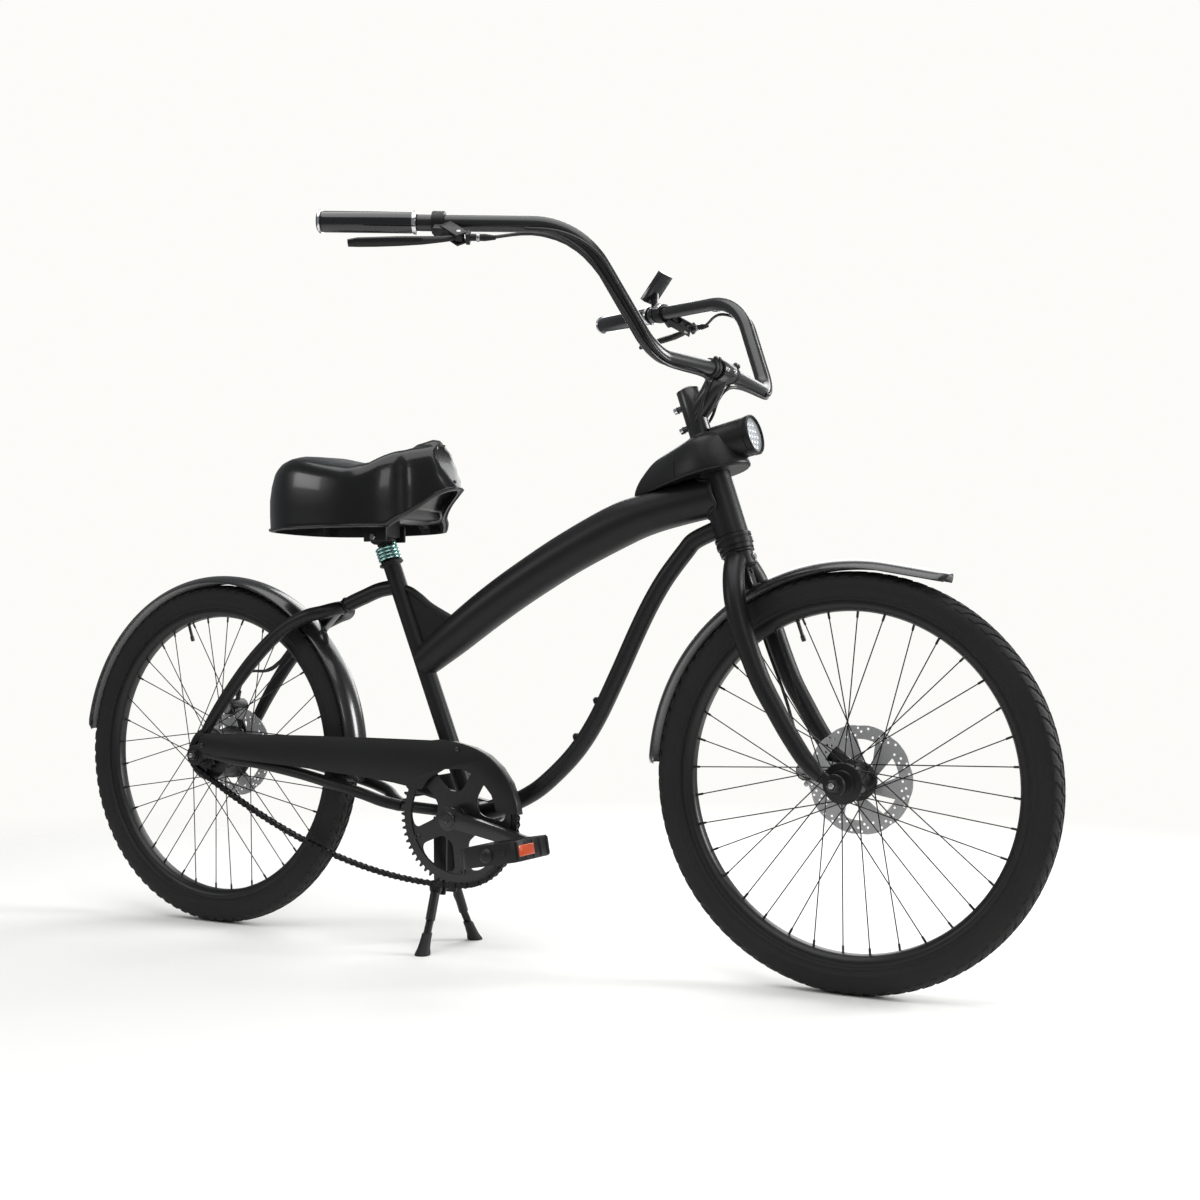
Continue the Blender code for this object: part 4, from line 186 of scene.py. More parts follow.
class Grain(Enum):
    """What the surface of a finish is like close up."""

    POWDER = "fine matt powder coat with a soft speckle"
    SATIN = "smooth satin lacquer"
    TURNED = "metal with fine lines round an axle"
    BRUSHED = "metal with fine straight lines"
    RUBBER = "matt moulded rubber"
    VINYL = "glossy grained vinyl"
    MOULDED = "spark-eroded plastic"
    POLISHED = "polished metal or plastic"
    CLEAR = "clear plastic"


@dataclass(frozen=True)
class Finish:
    """A surface finish, and how its material is made."""

    name: str
    grain: Grain
    colour: Triple
    roughness: float
    metallic: float = 0.0
    coat: float = 0.0
    slot: str = ""

    def material(self) -> bpy.types.Material:
        """The material, made on first use.

        Returns:
            The Blender material of this finish.
        """
        found = bpy.data.materials.get("finish_" + self.name)
        if found:
            return found
        shade = Shade("finish_" + self.name)
        shade.set(Base_Color=(*self.colour, 1.0), Roughness=self.roughness, Metallic=self.metallic)
        shade.set(Coat_Weight=self.coat, Coat_Roughness=0.08)
        if self.grain in (Grain.POWDER, Grain.RUBBER, Grain.MOULDED, Grain.VINYL):
            shade.set(Specular_IOR_Level=0.28)
        makers = (
            self.powder, self.satin, self.turned, self.brushed, self.rubber, self.vinyl, self.moulded,
            self.polished, self.clear,
        )
        dict(zip(Grain, makers))[self.grain](shade)
        return shade.material

    def lighter(self, factor: float) -> Triple:
        """The colour made lighter by a factor."""
        red, green, blue = self.colour
        return (min(1.0, red * factor), min(1.0, green * factor), min(1.0, blue * factor))

    def powder(self, shade: Shade) -> None:
        """Orange peel a millimetre wide, with a fine speckle of lighter grains."""
        speckle = shade.cells(1500.0).step(0.34, 0.1)
        clouds = shade.noise(7.0, 3.0)
        shade.set(Base_Color=shade.blend(speckle * 0.45 + clouds * 0.2, self.colour, self.lighter(2.4)))
        shade.set(Roughness=self.roughness - 0.06 + clouds * 0.12)
        shade.bump(shade.noise(620.0, 2.0), 0.00012)

    def satin(self, shade: Shade) -> None:
        """Faint flow marks and a little dust on a smooth coat."""
        clouds = shade.noise(11.0, 4.0)
        dust = shade.noise(240.0, 2.0).step(0.62, 0.78)
        shade.set(Roughness=self.roughness - 0.05 + clouds * 0.1 + dust * 0.06)
        shade.set(Base_Color=shade.blend(dust * 0.35 + clouds * 0.2, self.colour, self.lighter(1.9)))
        shade.bump(shade.noise(180.0, 1.0), 0.00004)

    def turned(self, shade: Shade) -> None:
        """Rings about the axle of the nearer wheel, as a lathe or a grinder leaves them."""
        across, _, up = shade.axes(shade.place())
        reach = ((across - FRONT.x) * (across - FRONT.x) + (up - FRONT.z) * (up - FRONT.z)) ** 0.5
        far = ((across - REAR.x) * (across - REAR.x) + (up - REAR.z) * (up - REAR.z)) ** 0.5
        rings = shade.node("Math", {0: reach, 1: far}, operation="MINIMUM")
        where = shade.node("CombineXYZ", {"X": rings})
        lines = shade.noise(2600.0, 2.0, where)
        shade.set(Roughness=self.roughness - 0.08 + lines * 0.2)
        shade.set(Base_Color=shade.blend(lines * 0.7, self.lighter(0.75), self.lighter(1.25)))
        shade.bump(lines, 0.00003)

    def brushed(self, shade: Shade) -> None:
        """Short scratches along X."""
        lines = shade.noise(1.0, 2.0, shade.moved((0, 0, 0), (120.0, 2200.0, 2200.0)))
        shade.set(Roughness=self.roughness - 0.06 + lines * 0.16)
        shade.set(Base_Color=shade.blend(lines * 0.7, self.lighter(0.8), self.lighter(1.2)))
        shade.bump(lines, 0.00003)

    def rubber(self, shade: Shade) -> None:
        """Matt skin with a fine grain, a greyer bloom in patches."""
        bloom = shade.noise(16.0, 4.0)
        grain = shade.noise(900.0, 2.0)
        shade.set(Base_Color=shade.blend(bloom * 0.6 + grain * 0.2, self.lighter(0.8), self.lighter(1.7)))
        shade.set(Roughness=self.roughness - 0.08 + grain * 0.16)
        shade.bump(grain, 0.00012)

    def vinyl(self, shade: Shade) -> None:
        """Pebbled grain under a gloss, with finer creases between the pebbles."""
        pebbles = shade.cells(520.0, "DISTANCE_TO_EDGE").step(0.0, 0.22)
        clouds = shade.noise(9.0, 3.0)
        shade.set(Roughness=self.roughness + (1 - pebbles) * 0.05 + clouds * 0.05)
        shade.set(Base_Color=shade.blend(clouds * 0.5, self.colour, self.lighter(1.8)))
        shade.bump(pebbles * 0.8 + shade.noise(1600.0, 1.0) * 0.2, 0.00003)

    def moulded(self, shade: Shade) -> None:
        """Even sparkle of a spark-eroded mould."""
        spark = shade.noise(1300.0, 3.0)
        shade.set(Roughness=self.roughness - 0.07 + spark * 0.16)
        shade.set(Base_Color=shade.blend(spark * 0.5, self.colour, self.lighter(1.9)))
        shade.bump(spark, 0.00006)

    def polished(self, shade: Shade) -> None:
        """Smooth, with the slightest haze."""
        haze = shade.noise(26.0, 3.0)
        shade.set(Roughness=self.roughness + haze * 0.07)
        shade.set(Base_Color=shade.blend(haze * 0.5, self.colour, self.lighter(1.15)))
        shade.bump(shade.noise(90.0, 1.0), 0.00002)

    def clear(self, shade: Shade) -> None:
        """Clear plastic that shows what is behind it."""
        shade.set(Alpha=0.22 + shade.noise(30.0, 2.0) * 0.06, IOR=1.49)
        shade.set(Roughness=self.roughness + shade.noise(140.0, 2.0) * 0.04)


POWDER_BLACK = Finish("powder_black", Grain.POWDER, (0.007, 0.007, 0.0074), 0.4, slot="frame_black")
BAR_BLACK = Finish("bar_black", Grain.SATIN, (0.011, 0.011, 0.0115), 0.3, coat=0.2, slot="bar_black")
GUARD_BLACK = Finish("guard_black", Grain.SATIN, (0.01, 0.01, 0.0105), 0.25, coat=0.35, slot="mudguard_black")
TYRE_BLACK = Finish("tyre_black", Grain.RUBBER, (0.009, 0.009, 0.009), 0.66, slot="tyre_rubber")
RIM_BLACK = Finish("rim_black", Grain.TURNED, (0.006, 0.006, 0.006), 0.36, metallic=0.2, slot="rim_black")
HUB_BLACK = Finish("hub_black", Grain.TURNED, (0.016, 0.016, 0.016), 0.36, metallic=0.5, slot="hub_black")
SPOKE_BLACK = Finish(
    "spoke_black", Grain.POLISHED, (0.014, 0.014, 0.014), 0.3, metallic=0.6, slot="hub_black"
)
ROTOR_GREY = Finish("rotor_grey", Grain.TURNED, (0.5, 0.5, 0.505), 0.44, metallic=0.5, slot="rotor_steel")
CHAIN_BLACK = Finish(
    "chain_black", Grain.BRUSHED, (0.018, 0.018, 0.019), 0.36, metallic=0.7, slot="chain_black"
)
CRANK_BLACK = Finish("crank_black", Grain.SATIN, (0.01, 0.01, 0.0105), 0.3, coat=0.1, slot="crank_black")
PEDAL_BLACK = Finish("pedal_black", Grain.MOULDED, (0.01, 0.01, 0.0105), 0.4, slot="pedal_black")
GRIP_BLACK = Finish("grip_black", Grain.POLISHED, (0.008, 0.008, 0.009), 0.12, coat=0.5, slot="grip_gloss")
SADDLE_BLACK = Finish(
    "saddle_black", Grain.VINYL, (0.0045, 0.0045, 0.0048), 0.2, coat=0.3, slot="saddle_gloss"
)
MOULDED_BLACK = Finish("moulded_black", Grain.MOULDED, (0.01, 0.01, 0.0105), 0.38, slot="plastic_black")
TEAL_CHROME = Finish(
    "teal_chrome", Grain.POLISHED, (0.36, 0.6, 0.56), 0.13, metallic=1.0, slot="spring_chrome"
)
STEEL = Finish("steel", Grain.BRUSHED, (0.42, 0.42, 0.42), 0.32, metallic=1.0, slot="bolt_steel")
CHROME = Finish("chrome", Grain.POLISHED, (0.72, 0.72, 0.73), 0.1, metallic=1.0, slot="bolt_steel")
CABLE_BLACK = Finish("cable_black", Grain.SATIN, (0.014, 0.014, 0.014), 0.38, slot="cable_black")
LENS = Finish("lens", Grain.CLEAR, (0.85, 0.88, 0.9), 0.06, slot="lens_clear")
DISPLAY_BLACK = Finish(
    "display_black", Grain.POLISHED, (0.01, 0.01, 0.011), 0.16, coat=0.5, slot="display_black"
)
SCREEN = Finish("screen", Grain.POLISHED, (0.62, 0.64, 0.65), 0.22, slot="display_black")
REFLECTOR = Finish("reflector", Grain.POLISHED, (0.62, 0.075, 0.012), 0.2, coat=0.6, slot="pedal_black")
STRAP_BLACK = Finish("strap_black", Grain.RUBBER, (0.012, 0.012, 0.012), 0.6, slot="plastic_black")


# Places of the bicycle, before it is moved into the CAD frame


def rim_centre(node: str) -> Vector:
    """Middle of a CAD node's box."""
    low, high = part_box(node)
    return (low + high) / 2


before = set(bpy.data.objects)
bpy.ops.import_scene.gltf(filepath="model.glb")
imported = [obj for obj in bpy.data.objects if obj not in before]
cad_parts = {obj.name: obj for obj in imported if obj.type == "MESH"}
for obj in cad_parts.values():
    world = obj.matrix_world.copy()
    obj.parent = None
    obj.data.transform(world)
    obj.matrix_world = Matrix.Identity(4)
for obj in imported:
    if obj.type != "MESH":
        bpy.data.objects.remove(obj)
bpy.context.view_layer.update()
REAR = rim_centre("rear_rim")
FRONT = rim_centre("front_rim")
SHIFT = Vector((REAR.x, 0.0, 0.0))
REAR_AXLE = REAR - SHIFT
FRONT_AXLE = FRONT - SHIFT
CRANK_AXIS = Vector((0.605, 0.0, 0.243))
HEAD_ANGLE = radians(71.65)
STEER_UP = Vector((-cos(HEAD_ANGLE), 0.0, sin(HEAD_ANGLE)))
STEER_AHEAD = Vector((sin(HEAD_ANGLE), 0.0, cos(HEAD_ANGLE)))
STEER_FOOT = FRONT_AXLE - STEER_AHEAD * 0.067
SEAT_ANGLE = radians(68.0)
SEAT_UP = Vector((-cos(SEAT_ANGLE), 0.0, sin(SEAT_ANGLE)))
SEAT_LONG = 0.4955
SEAT_TOP = CRANK_AXIS + SEAT_UP * SEAT_LONG
CRANK_ANGLE = radians(-12.0)
STAY_JOINT = SEAT_TOP - Vector((0.1134, 0.0, 0.0834))
SIDES = ((-1, "right"), (1, "left"))


def steer(along: float, forward: float = 0.0, side: float = 0.0) -> Vector:
    """Point by its height along the steering axis, its distance in front of it and its side."""
    return STEER_FOOT + STEER_UP * along + STEER_AHEAD * forward + SIDE * side


BAR_CLAMP = steer(0.7078, 0.0688)


def mirrored(points: Sequence[Vector]) -> list[Vector]:
    """Points on the other side of the bicycle."""
    return [Vector((p.x, -p.y, p.z)) for p in points]


# Shapes


def plain_head(radius: float, rim: float, top: float, high: float) -> list[Pair]:
    """Profile of a bolt's head with a straight rim and a chamfer up to its top."""
    return [(0, 0), (radius, 0), (radius, rim), (top, high), (0, high)]


def bolt_head(
    radius: float, rim: float, top: float, high: float, socket: float, floor: float
) -> list[Pair]:
    """Profile of a bolt's head as the plain one, with a socket down to its floor."""
    return [(0, 0), (radius, 0), (radius, rim), (top, high), (socket, high), (socket, floor), (0, floor)]


def smooth(points: Sequence[Point], steps: int = 6) -> list[Vector]:
    """Points along a Catmull-Rom curve.

    Args:
        points: Places that the curve goes through.
        steps: Points for each span.

    Returns:
        The curve's points.
    """
    places = [Vector(p) for p in points]
    ends = [places[0] * 2 - places[1], *places, places[-1] * 2 - places[-2]]
    curve = []
    for a, b, c, d in zip(ends, ends[1:], ends[2:], ends[3:]):
        for step in range(steps):
            t = step / steps
            cubic = (b * 3 - a - c * 3 + d) * t**3
            curve.append((b * 2 + (c - a) * t + (a * 2 - b * 5 + c * 4 - d) * t**2 + cubic) / 2)
    return [*curve, places[-1]]


def eased(values: Sequence[float], steps: int = 6) -> list[float]:
    """Values along a smooth curve through the given ones."""
    return [place.x for place in smooth([(value, 0, 0) for value in values], steps)]


def bent(corners: Sequence[Vector], radii: Sequence[float], steps: int) -> list[Vector]:
    """A path through corners, each inner corner rounded to its radius."""
    path = [corners[0]]
    for before, corner, after, radius in zip(corners, corners[1:], corners[2:], radii):
        back, ahead = (before - corner).normalized(), (after - corner).normalized()
        half = back.angle(ahead) / 2
        centre = corner + (back + ahead).normalized() * (radius / sin(half))
        first = corner + back * (radius / tan(half)) - centre
        last = corner + ahead * (radius / tan(half)) - centre
        sweep = first.angle(last)
        for step in range(steps + 1):
            t = sweep * step / steps
            path.append(centre + (first * sin(sweep - t) + last * sin(t)) / sin(sweep))
    return [*path, corners[-1]]


def length_of(path: Sequence[Vector]) -> float:
    """Length of a path."""
    return sum((b - a).length for a, b in zip(path, path[1:]))


def along_path(path: Sequence[Vector], distance: float) -> tuple[Vector, Vector]:
    """Point and direction at a distance along a path."""
    for here, there in zip(path, path[1:]):
        span = (there - here).length
        if distance <= span:
            return here + (there - here) * (distance / span), (there - here).normalized()
        distance -= span
    return path[-1].copy(), (path[-1] - path[-2]).normalized()


def turn_to(first: Point, second: Point) -> Matrix:
    """Rotation whose X axis is first and whose Z axis is near second."""
    ahead = Vector(first).normalized()
    side = Vector(second).cross(ahead).normalized()
    return Matrix((ahead, side, ahead.cross(side))).transposed()


class Solid:
    """A mesh in the making, which can take more closed shapes."""

    def __init__(self) -> None:
        """Starts empty."""
        self.mesh = bmesh.new()

    def loft(self, rings: Sequence[Sequence[Vector]], closed: bool = False) -> "Solid":
        """Adds a skin over rings of equal length.

        Args:
            rings: Rings of points, one after another.
            closed: Whether the last ring joins the first, and the ends stay open.

        Returns:
            This solid.
        """
        made = [[self.mesh.verts.new(p) for p in ring] for ring in rings]
        pairs = list(zip(made, made[1:])) + ([(made[-1], made[0])] if closed else [])
        faces = []
        for low, high in pairs:
            for i in range(len(low)):
                j = (i + 1) % len(low)
                faces.append(self.mesh.faces.new((low[i], low[j], high[j], high[i])))
        if not closed:
            faces.append(self.mesh.faces.new(list(reversed(made[0]))))
            faces.append(self.mesh.faces.new(made[-1]))
        bmesh.ops.recalc_face_normals(self.mesh, faces=faces)
        return self

    def tube(
        self,
        path: Sequence[Point],
        radius: object,
        sides: int = 24,
        up: Point | None = None,
        closed: bool = False,
    ) -> "Solid":
        """Adds a round bar along a path.

        Args:
            path: Points on its centre line.
            radius: One value, or a list with a value or an (across, over) pair for each point.
            sides: Sides of the bar.
            up: Direction that the over radius points in.
            closed: Whether the path closes on itself.

        Returns:
            This solid.
        """
        places = [Vector(p) for p in path]
        count = len(places)
        first = (places[1] - places[0]).normalized()
        over = Vector(up) if up else Vector((0, 0, 1)) if abs(first.z) < 0.9 else Vector((1, 0, 0))
        radii = radius if isinstance(radius, (list, tuple)) else [radius] * count
        rings = []
        for i, (point, size) in enumerate(zip(places, radii)):
            if closed:
                ahead = places[(i + 1) % count] - places[i - 1]
            else:
                ahead = places[min(i + 1, count - 1)] - places[max(i - 1, 0)]
            across = ahead.normalized().cross(over).normalized()
            over = across.cross(ahead.normalized()).normalized()
            wide, high = size if isinstance(size, tuple) else (size, size)
            ring = []
            for k in range(sides):
                angle = TURN * (k + 0.5) / sides
                ring.append(point + across * (wide * cos(angle)) + over * (high * sin(angle)))
            rings.append(ring)
        return self.loft(rings, closed)

    def rod(self, start: Vector, end: Vector, radius: float, sides: int = 24, ease: float = 0.0) -> "Solid":
        """Adds a straight bar whose two ends are chamfered by ease."""
        span = (end - start).length
        profile = [(0.0, 0.0), (radius, 0.0), (radius, span), (0.0, span)]
        if ease:
            profile[1:3] = [
                (radius - ease, 0.0), (radius, ease), (radius, span - ease), (radius - ease, span)
            ]
        return self.lathe(profile, start, end - start, sides)

    def lathe(
        self, profile: Profile, centre: Point, axis: Point, steps: int = 32, closed: bool = False
    ) -> "Solid":
        """Adds a turned shape.

        Args:
            profile: (radius, height) pairs, which start and end on the axis unless closed.
            centre: Point from which the heights are measured.
            axis: Direction of the axis.
            steps: Sides of the shape.
            closed: Whether the last pair joins the first.

        Returns:
            This solid.
        """
        along = Vector(axis).normalized()
        out = Vector((0, 0, -1)) if abs(along.z) < 0.5 else Vector((1, 0, 0))
        out = (out - along * out.dot(along)).normalized()
        other = along.cross(out)
        rings = []
        for radius, height in profile:
            middle = Vector(centre) + along * height
            if radius < 1e-7:
                rings.append([self.mesh.verts.new(middle)] * steps)
                continue
            angles = [TURN * (k + 0.5) / steps for k in range(steps)]
            arms = [out * cos(angle) + other * sin(angle) for angle in angles]
            rings.append([self.mesh.verts.new(middle + arm * radius) for arm in arms])
        faces = []
        for low, high in [*zip(rings, rings[1:]), *([(rings[-1], rings[0])] if closed else [])]:
            for k in range(steps):
                j = (k + 1) % steps
                corners = list(dict.fromkeys((low[k], low[j], high[j], high[k])))
                if len(corners) > 2:
                    faces.append(self.mesh.faces.new(corners))
        bmesh.ops.recalc_face_normals(self.mesh, faces=faces)
        return self

    def plate(
        self, outline: Profile, low: float, high: float, holes: Sequence[list] = ()
    ) -> "Solid":
        """Adds a plate with an (x, z) outline and holes, between two y values."""
        part = bmesh.new()
        edges = []
        for loop in (outline, *holes):
            made = [part.verts.new((x, low, z)) for x, z in loop]
            edges += [part.edges.new((a, b)) for a, b in zip(made, made[1:] + made[:1])]
        bmesh.ops.triangle_fill(part, edges=edges, use_beauty=True)
        bmesh.ops.dissolve_limit(part, angle_limit=0.01, verts=part.verts[:], edges=part.edges[:])
        grown = bmesh.ops.extrude_face_region(part, geom=part.faces[:])
        moved = [item for item in grown["geom"] if isinstance(item, bmesh.types.BMVert)]
        bmesh.ops.translate(part, verts=moved, vec=(0, high - low, 0))
        bmesh.ops.recalc_face_normals(part, faces=part.faces[:])
        return self.add(part)

    def block(self, centre: Vector, size: Point, turn: Matrix | None = None, ease: float = 0.0) -> "Solid":
        """Adds a box turned about its centre, with its edges rounded by ease."""
        part = bmesh.new()
        bmesh.ops.create_cube(part, size=1.0)
        bmesh.ops.transform(part, verts=part.verts[:], matrix=Matrix.Diagonal((*size, 1.0)))
        if ease:
            bmesh.ops.bevel(part, geom=part.edges[:], offset=ease, segments=3, profile=0.5, affect="EDGES")
        place = Matrix.Translation(centre) @ (turn.to_4x4() if turn else Matrix.Identity(4))
        bmesh.ops.transform(part, verts=part.verts[:], matrix=place)
        return self.add(part)

    def add(self, part: "bmesh.types.BMesh | Solid") -> "Solid":
        """Takes over another mesh."""
        source = part.mesh if isinstance(part, Solid) else part
        mesh = bpy.data.meshes.new("part")
        source.to_mesh(mesh)
        source.free()
        self.mesh.from_mesh(mesh)
        bpy.data.meshes.remove(mesh)
        return self

    def ease(self, width: float, angle: float = 35.0) -> "Solid":
        """Rounds the edges that are sharper than an angle."""
        edges = [edge for edge in self.mesh.edges if len(edge.link_faces) == 2]
        sharp = [edge for edge in edges if edge.calc_face_angle(0.0) > radians(angle)]
        how = {"profile": 0.5, "affect": "EDGES", "clamp_overlap": True}
        bmesh.ops.bevel(self.mesh, geom=sharp, offset=width, segments=2, **how)
        return self

    def object(self, name: str, finish: Finish, sharp: float = 40.0) -> Object:
        """Makes the object, moved into the CAD frame.

        Args:
            name: Name of the piece.
            finish: Finish of the piece.
            sharp: Angle in degrees above which an edge stays sharp.

        Returns:
            The new object, which rides on nothing yet.
        """
        mesh = bpy.data.meshes.new(name)
        bmesh.ops.translate(self.mesh, verts=self.mesh.verts[:], vec=SHIFT)
        self.mesh.to_mesh(mesh)
        self.mesh.free()
        mesh.shade_smooth()
        mesh.set_sharp_from_angle(angle=radians(sharp))
        thing = placed(name, mesh)
        dress(thing, finish)
        return thing

    def piece(self, name: str, finish: Finish, body: str, *nodes: str, sharp: float = 40.0) -> None:
        """Makes the object and lets it ride on a body and stand for CAD nodes."""
        fit(self.object(name, finish, sharp), body, *nodes)


def placed(name: str, data: bpy.types.ID) -> Object:
    """A new object of the scene."""
    thing = bpy.data.objects.new(name, data)
    bpy.context.scene.collection.objects.link(thing)
    return thing


def dress(thing: Object, finish: Finish) -> None:
    """Gives an object a finish."""
    thing.data.materials.clear()
    thing.data.materials.append(finish.material())


def fit(thing: Object, body: str, *nodes: str) -> None:
    """Lets a piece ride on a body and stand for CAD nodes.

    Args:
        thing: The piece.
        body: Name of the CAD body that it moves with.
        nodes: CAD nodes that it stands for.
    """
    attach(thing, body)
    if nodes:
        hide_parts(*nodes)
    LOG.info("%s rides on %s", thing.name, body)


def applied(thing: Object) -> None:
    """Makes the result of an object's modifiers its plain mesh."""
    mesh = bpy.data.meshes.new_from_object(thing.evaluated_get(bpy.context.evaluated_depsgraph_get()))
    thing.modifiers.clear()
    thing.data = mesh


def merged(node: str) -> Solid:
    """A copy of a CAD node with its loose triangles joined to flat faces."""
    part = Solid()
    mesh = part.mesh
    mesh.from_mesh(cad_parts[node].data)
    bmesh.ops.remove_doubles(mesh, verts=mesh.verts[:], dist=1e-5)
    bmesh.ops.dissolve_limit(mesh, angle_limit=radians(1.0), verts=mesh.verts[:], edges=mesh.edges[:])
    bmesh.ops.translate(mesh, verts=mesh.verts[:], vec=-SHIFT)
    return part


def refined(node: str, finish: Finish, body: str, ease: float) -> None:
    """Makes a copy of a CAD node with rounded edges, which stands for it.

    Args:
        node: The CAD node.
        finish: Finish of the copy.
        body: CAD body that it rides on.
        ease: Radius of its edges.
    """
    merged(node).ease(ease, 48.0).piece(node + "_finished", finish, body, node, sharp=50.0)


def rounded(node: str, finish: Finish, body: str, swell: float = 0.0005) -> None:
    """Makes a subdivided copy of a CAD node that is one plain tube, which stands for it.

    Args:
        node: The CAD node.
        finish: Finish of the copy.
        body: CAD body that it rides on.
        swell: Distance by which the skin is pushed out again after the division.
    """
    thing = merged(node).object(node + "_rounded", finish, 180.0)
    step = thing.modifiers.new("divide", "SUBSURF")
    step.levels = step.render_levels = 2
    applied(thing)
    for vert in thing.data.vertices:
        vert.co += vert.normal * swell
    fit(thing, body, node)


# What repeats, made with Geometry Nodes


class Tree:
    """A Geometry Nodes tree in the making."""

    def __init__(self, name: str, inputs: dict[str, str]) -> None:
        """Starts a tree with a geometry input and some named inputs of given socket types."""
        self.tree = bpy.data.node_groups.new(name, "GeometryNodeTree")
        face = self.tree.interface
        face.new_socket("Geometry", in_out="INPUT", socket_type="NodeSocketGeometry")
        self.names = {
            key: face.new_socket(key, in_out="INPUT", socket_type=kind) for key, kind in inputs.items()
        }
        face.new_socket("Geometry", in_out="OUTPUT", socket_type="NodeSocketGeometry")
        self.source = self.tree.nodes.new("NodeGroupInput")
        self.result = self.tree.nodes.new("NodeGroupOutput")

    def given(self, key: str) -> bpy.types.NodeSocket:
        """One of the tree's inputs."""
        return self.source.outputs[key]

    def add(self, kind: str, inputs: dict, **settings: object) -> bpy.types.Node:
        """Adds a node whose inputs take values or links."""
        node = self.tree.nodes.new(kind)
        for key, value in settings.items():
            setattr(node, key, value)
        for key, value in inputs.items():
            if isinstance(value, bpy.types.NodeSocket):
                self.tree.links.new(value, node.inputs[key])
            else:
                node.inputs[key].default_value = value
        return node

    def end(self, spots: bpy.types.Node, turn: bpy.types.Node) -> None:
        """Sets the item on the spots, makes the copies real and gives them the material."""
        shape = self.add("GeometryNodeObjectInfo", {"Object": self.given("Item")}, transform_space="ORIGINAL")
        links = {
            "Points": spots.outputs[0], "Instance": shape.outputs["Geometry"], "Rotation": turn.outputs[0]
        }
        copies = self.add("GeometryNodeInstanceOnPoints", links)
        real = self.add("GeometryNodeRealizeInstances", {"Geometry": copies.outputs[0]})
        inputs = {"Geometry": real.outputs[0], "Material": self.given("Material")}
        painted = self.add("GeometryNodeSetMaterial", inputs)
        self.tree.links.new(painted.outputs[0], self.result.inputs[0])

    def run(self, name: str, points: Sequence[Vector], finish: Finish, **values: object) -> Object:
        """Runs the tree on a cloud of points and keeps the result as a plain mesh.

        Args:
            name: Name of the new piece.
            points: Points that the tree is given.
            finish: Finish of the piece.
            values: Value of each named input but the material.

        Returns:
            The new piece, which rides on nothing yet.
        """
        mesh = bpy.data.meshes.new(name + "_points")
        mesh.from_pydata([tuple(p) for p in points], [], [])
        for key, numbers in list(values.items()):
            if isinstance(numbers, list):
                layer = mesh.attributes.new(key, "FLOAT_VECTOR", "POINT")
                layer.data.foreach_set("vector", [part for row in numbers for part in row])
                values.pop(key)
        carrier = placed(name + "_carrier", mesh)
        modifier = carrier.modifiers.new("nodes", "NODES")
        modifier.node_group = self.tree
        for key, value in {**values, "Material": finish.material()}.items():
            modifier[self.names[key].identifier] = value
        graph = bpy.context.evaluated_depsgraph_get()
        made = bpy.data.meshes.new_from_object(carrier.evaluated_get(graph))
        bpy.data.objects.remove(carrier)
        part = Solid()
        part.mesh.from_mesh(made)
        return part.object(name, finish)


def item(part: Solid) -> Object:
    """A hidden object that a tree repeats."""
    mesh = bpy.data.meshes.new("item")
    part.mesh.to_mesh(mesh)
    part.mesh.free()
    thing = placed("item", mesh)
    thing.hide_render = True
    thing.display_type = "WIRE"
    return thing


def placing_tree() -> Tree:
    """A tree that sets an item on each point, turned by the vectors ahead and above."""
    tree = Tree("place_items", {"Item": "NodeSocketObject", "Material": "NodeSocketMaterial"})
    ahead = tree.add("GeometryNodeInputNamedAttribute", {"Name": "ahead"}, data_type="FLOAT_VECTOR")
    above = tree.add("GeometryNodeInputNamedAttribute", {"Name": "above"}, data_type="FLOAT_VECTOR")
    turn = tree.add(
        "FunctionNodeAxesToRotation",
        {"Primary Axis": ahead.outputs[0], "Secondary Axis": above.outputs[0]},
        primary_axis="X",
        secondary_axis="Z",
    )
    spots = tree.add("GeometryNodeMeshToPoints", {"Mesh": tree.given("Geometry")})
    tree.end(spots, turn)
    return tree


def ring_tree() -> Tree:
    """A tree that turns copies of an item about the Y axis through a centre."""
    inputs = {
        "Item": "NodeSocketObject",
        "Count": "NodeSocketInt",
        "Centre": "NodeSocketVector",
        "Phase": "NodeSocketFloat",
        "Material": "NodeSocketMaterial",
    }
    tree = Tree("ring_of_items", inputs)
    spots = tree.add("GeometryNodePoints", {"Count": tree.given("Count"), "Position": tree.given("Centre")})
    number = tree.add("GeometryNodeInputIndex", {})
    share = tree.add("ShaderNodeMath", {0: number.outputs[0], 1: tree.given("Count")}, operation="DIVIDE")
    angle = tree.add(
        "ShaderNodeMath", {0: share.outputs[0], 1: TURN, 2: tree.given("Phase")}, operation="MULTIPLY_ADD"
    )
    turn = tree.add("ShaderNodeCombineXYZ", {"Y": angle.outputs[0]})
    tree.end(spots, turn)
    return tree


PLACING = placing_tree()
RING = ring_tree()


def ring_of(name: str, part: Solid, count: int, centre: Vector, finish: Finish, phase: float = 0.0) -> Object:
    """Copies of a shape, made round the Y axis at the origin, set round an axle.

    Args:
        name: Name of the new piece.
        part: The shape, as it is at the +X side of its axle, which lies at the origin.
        count: Number of copies.
        centre: Middle of the ring.
        finish: Finish of the piece.
        phase: Angle of the first copy.

    Returns:
        The new piece.
    """
    shape = item(part)
    made = RING.run(
        name, [Vector((0, 0, 0))], finish, Item=shape, Count=count, Centre=tuple(centre), Phase=phase
    )
    bpy.data.objects.remove(shape)
    return made


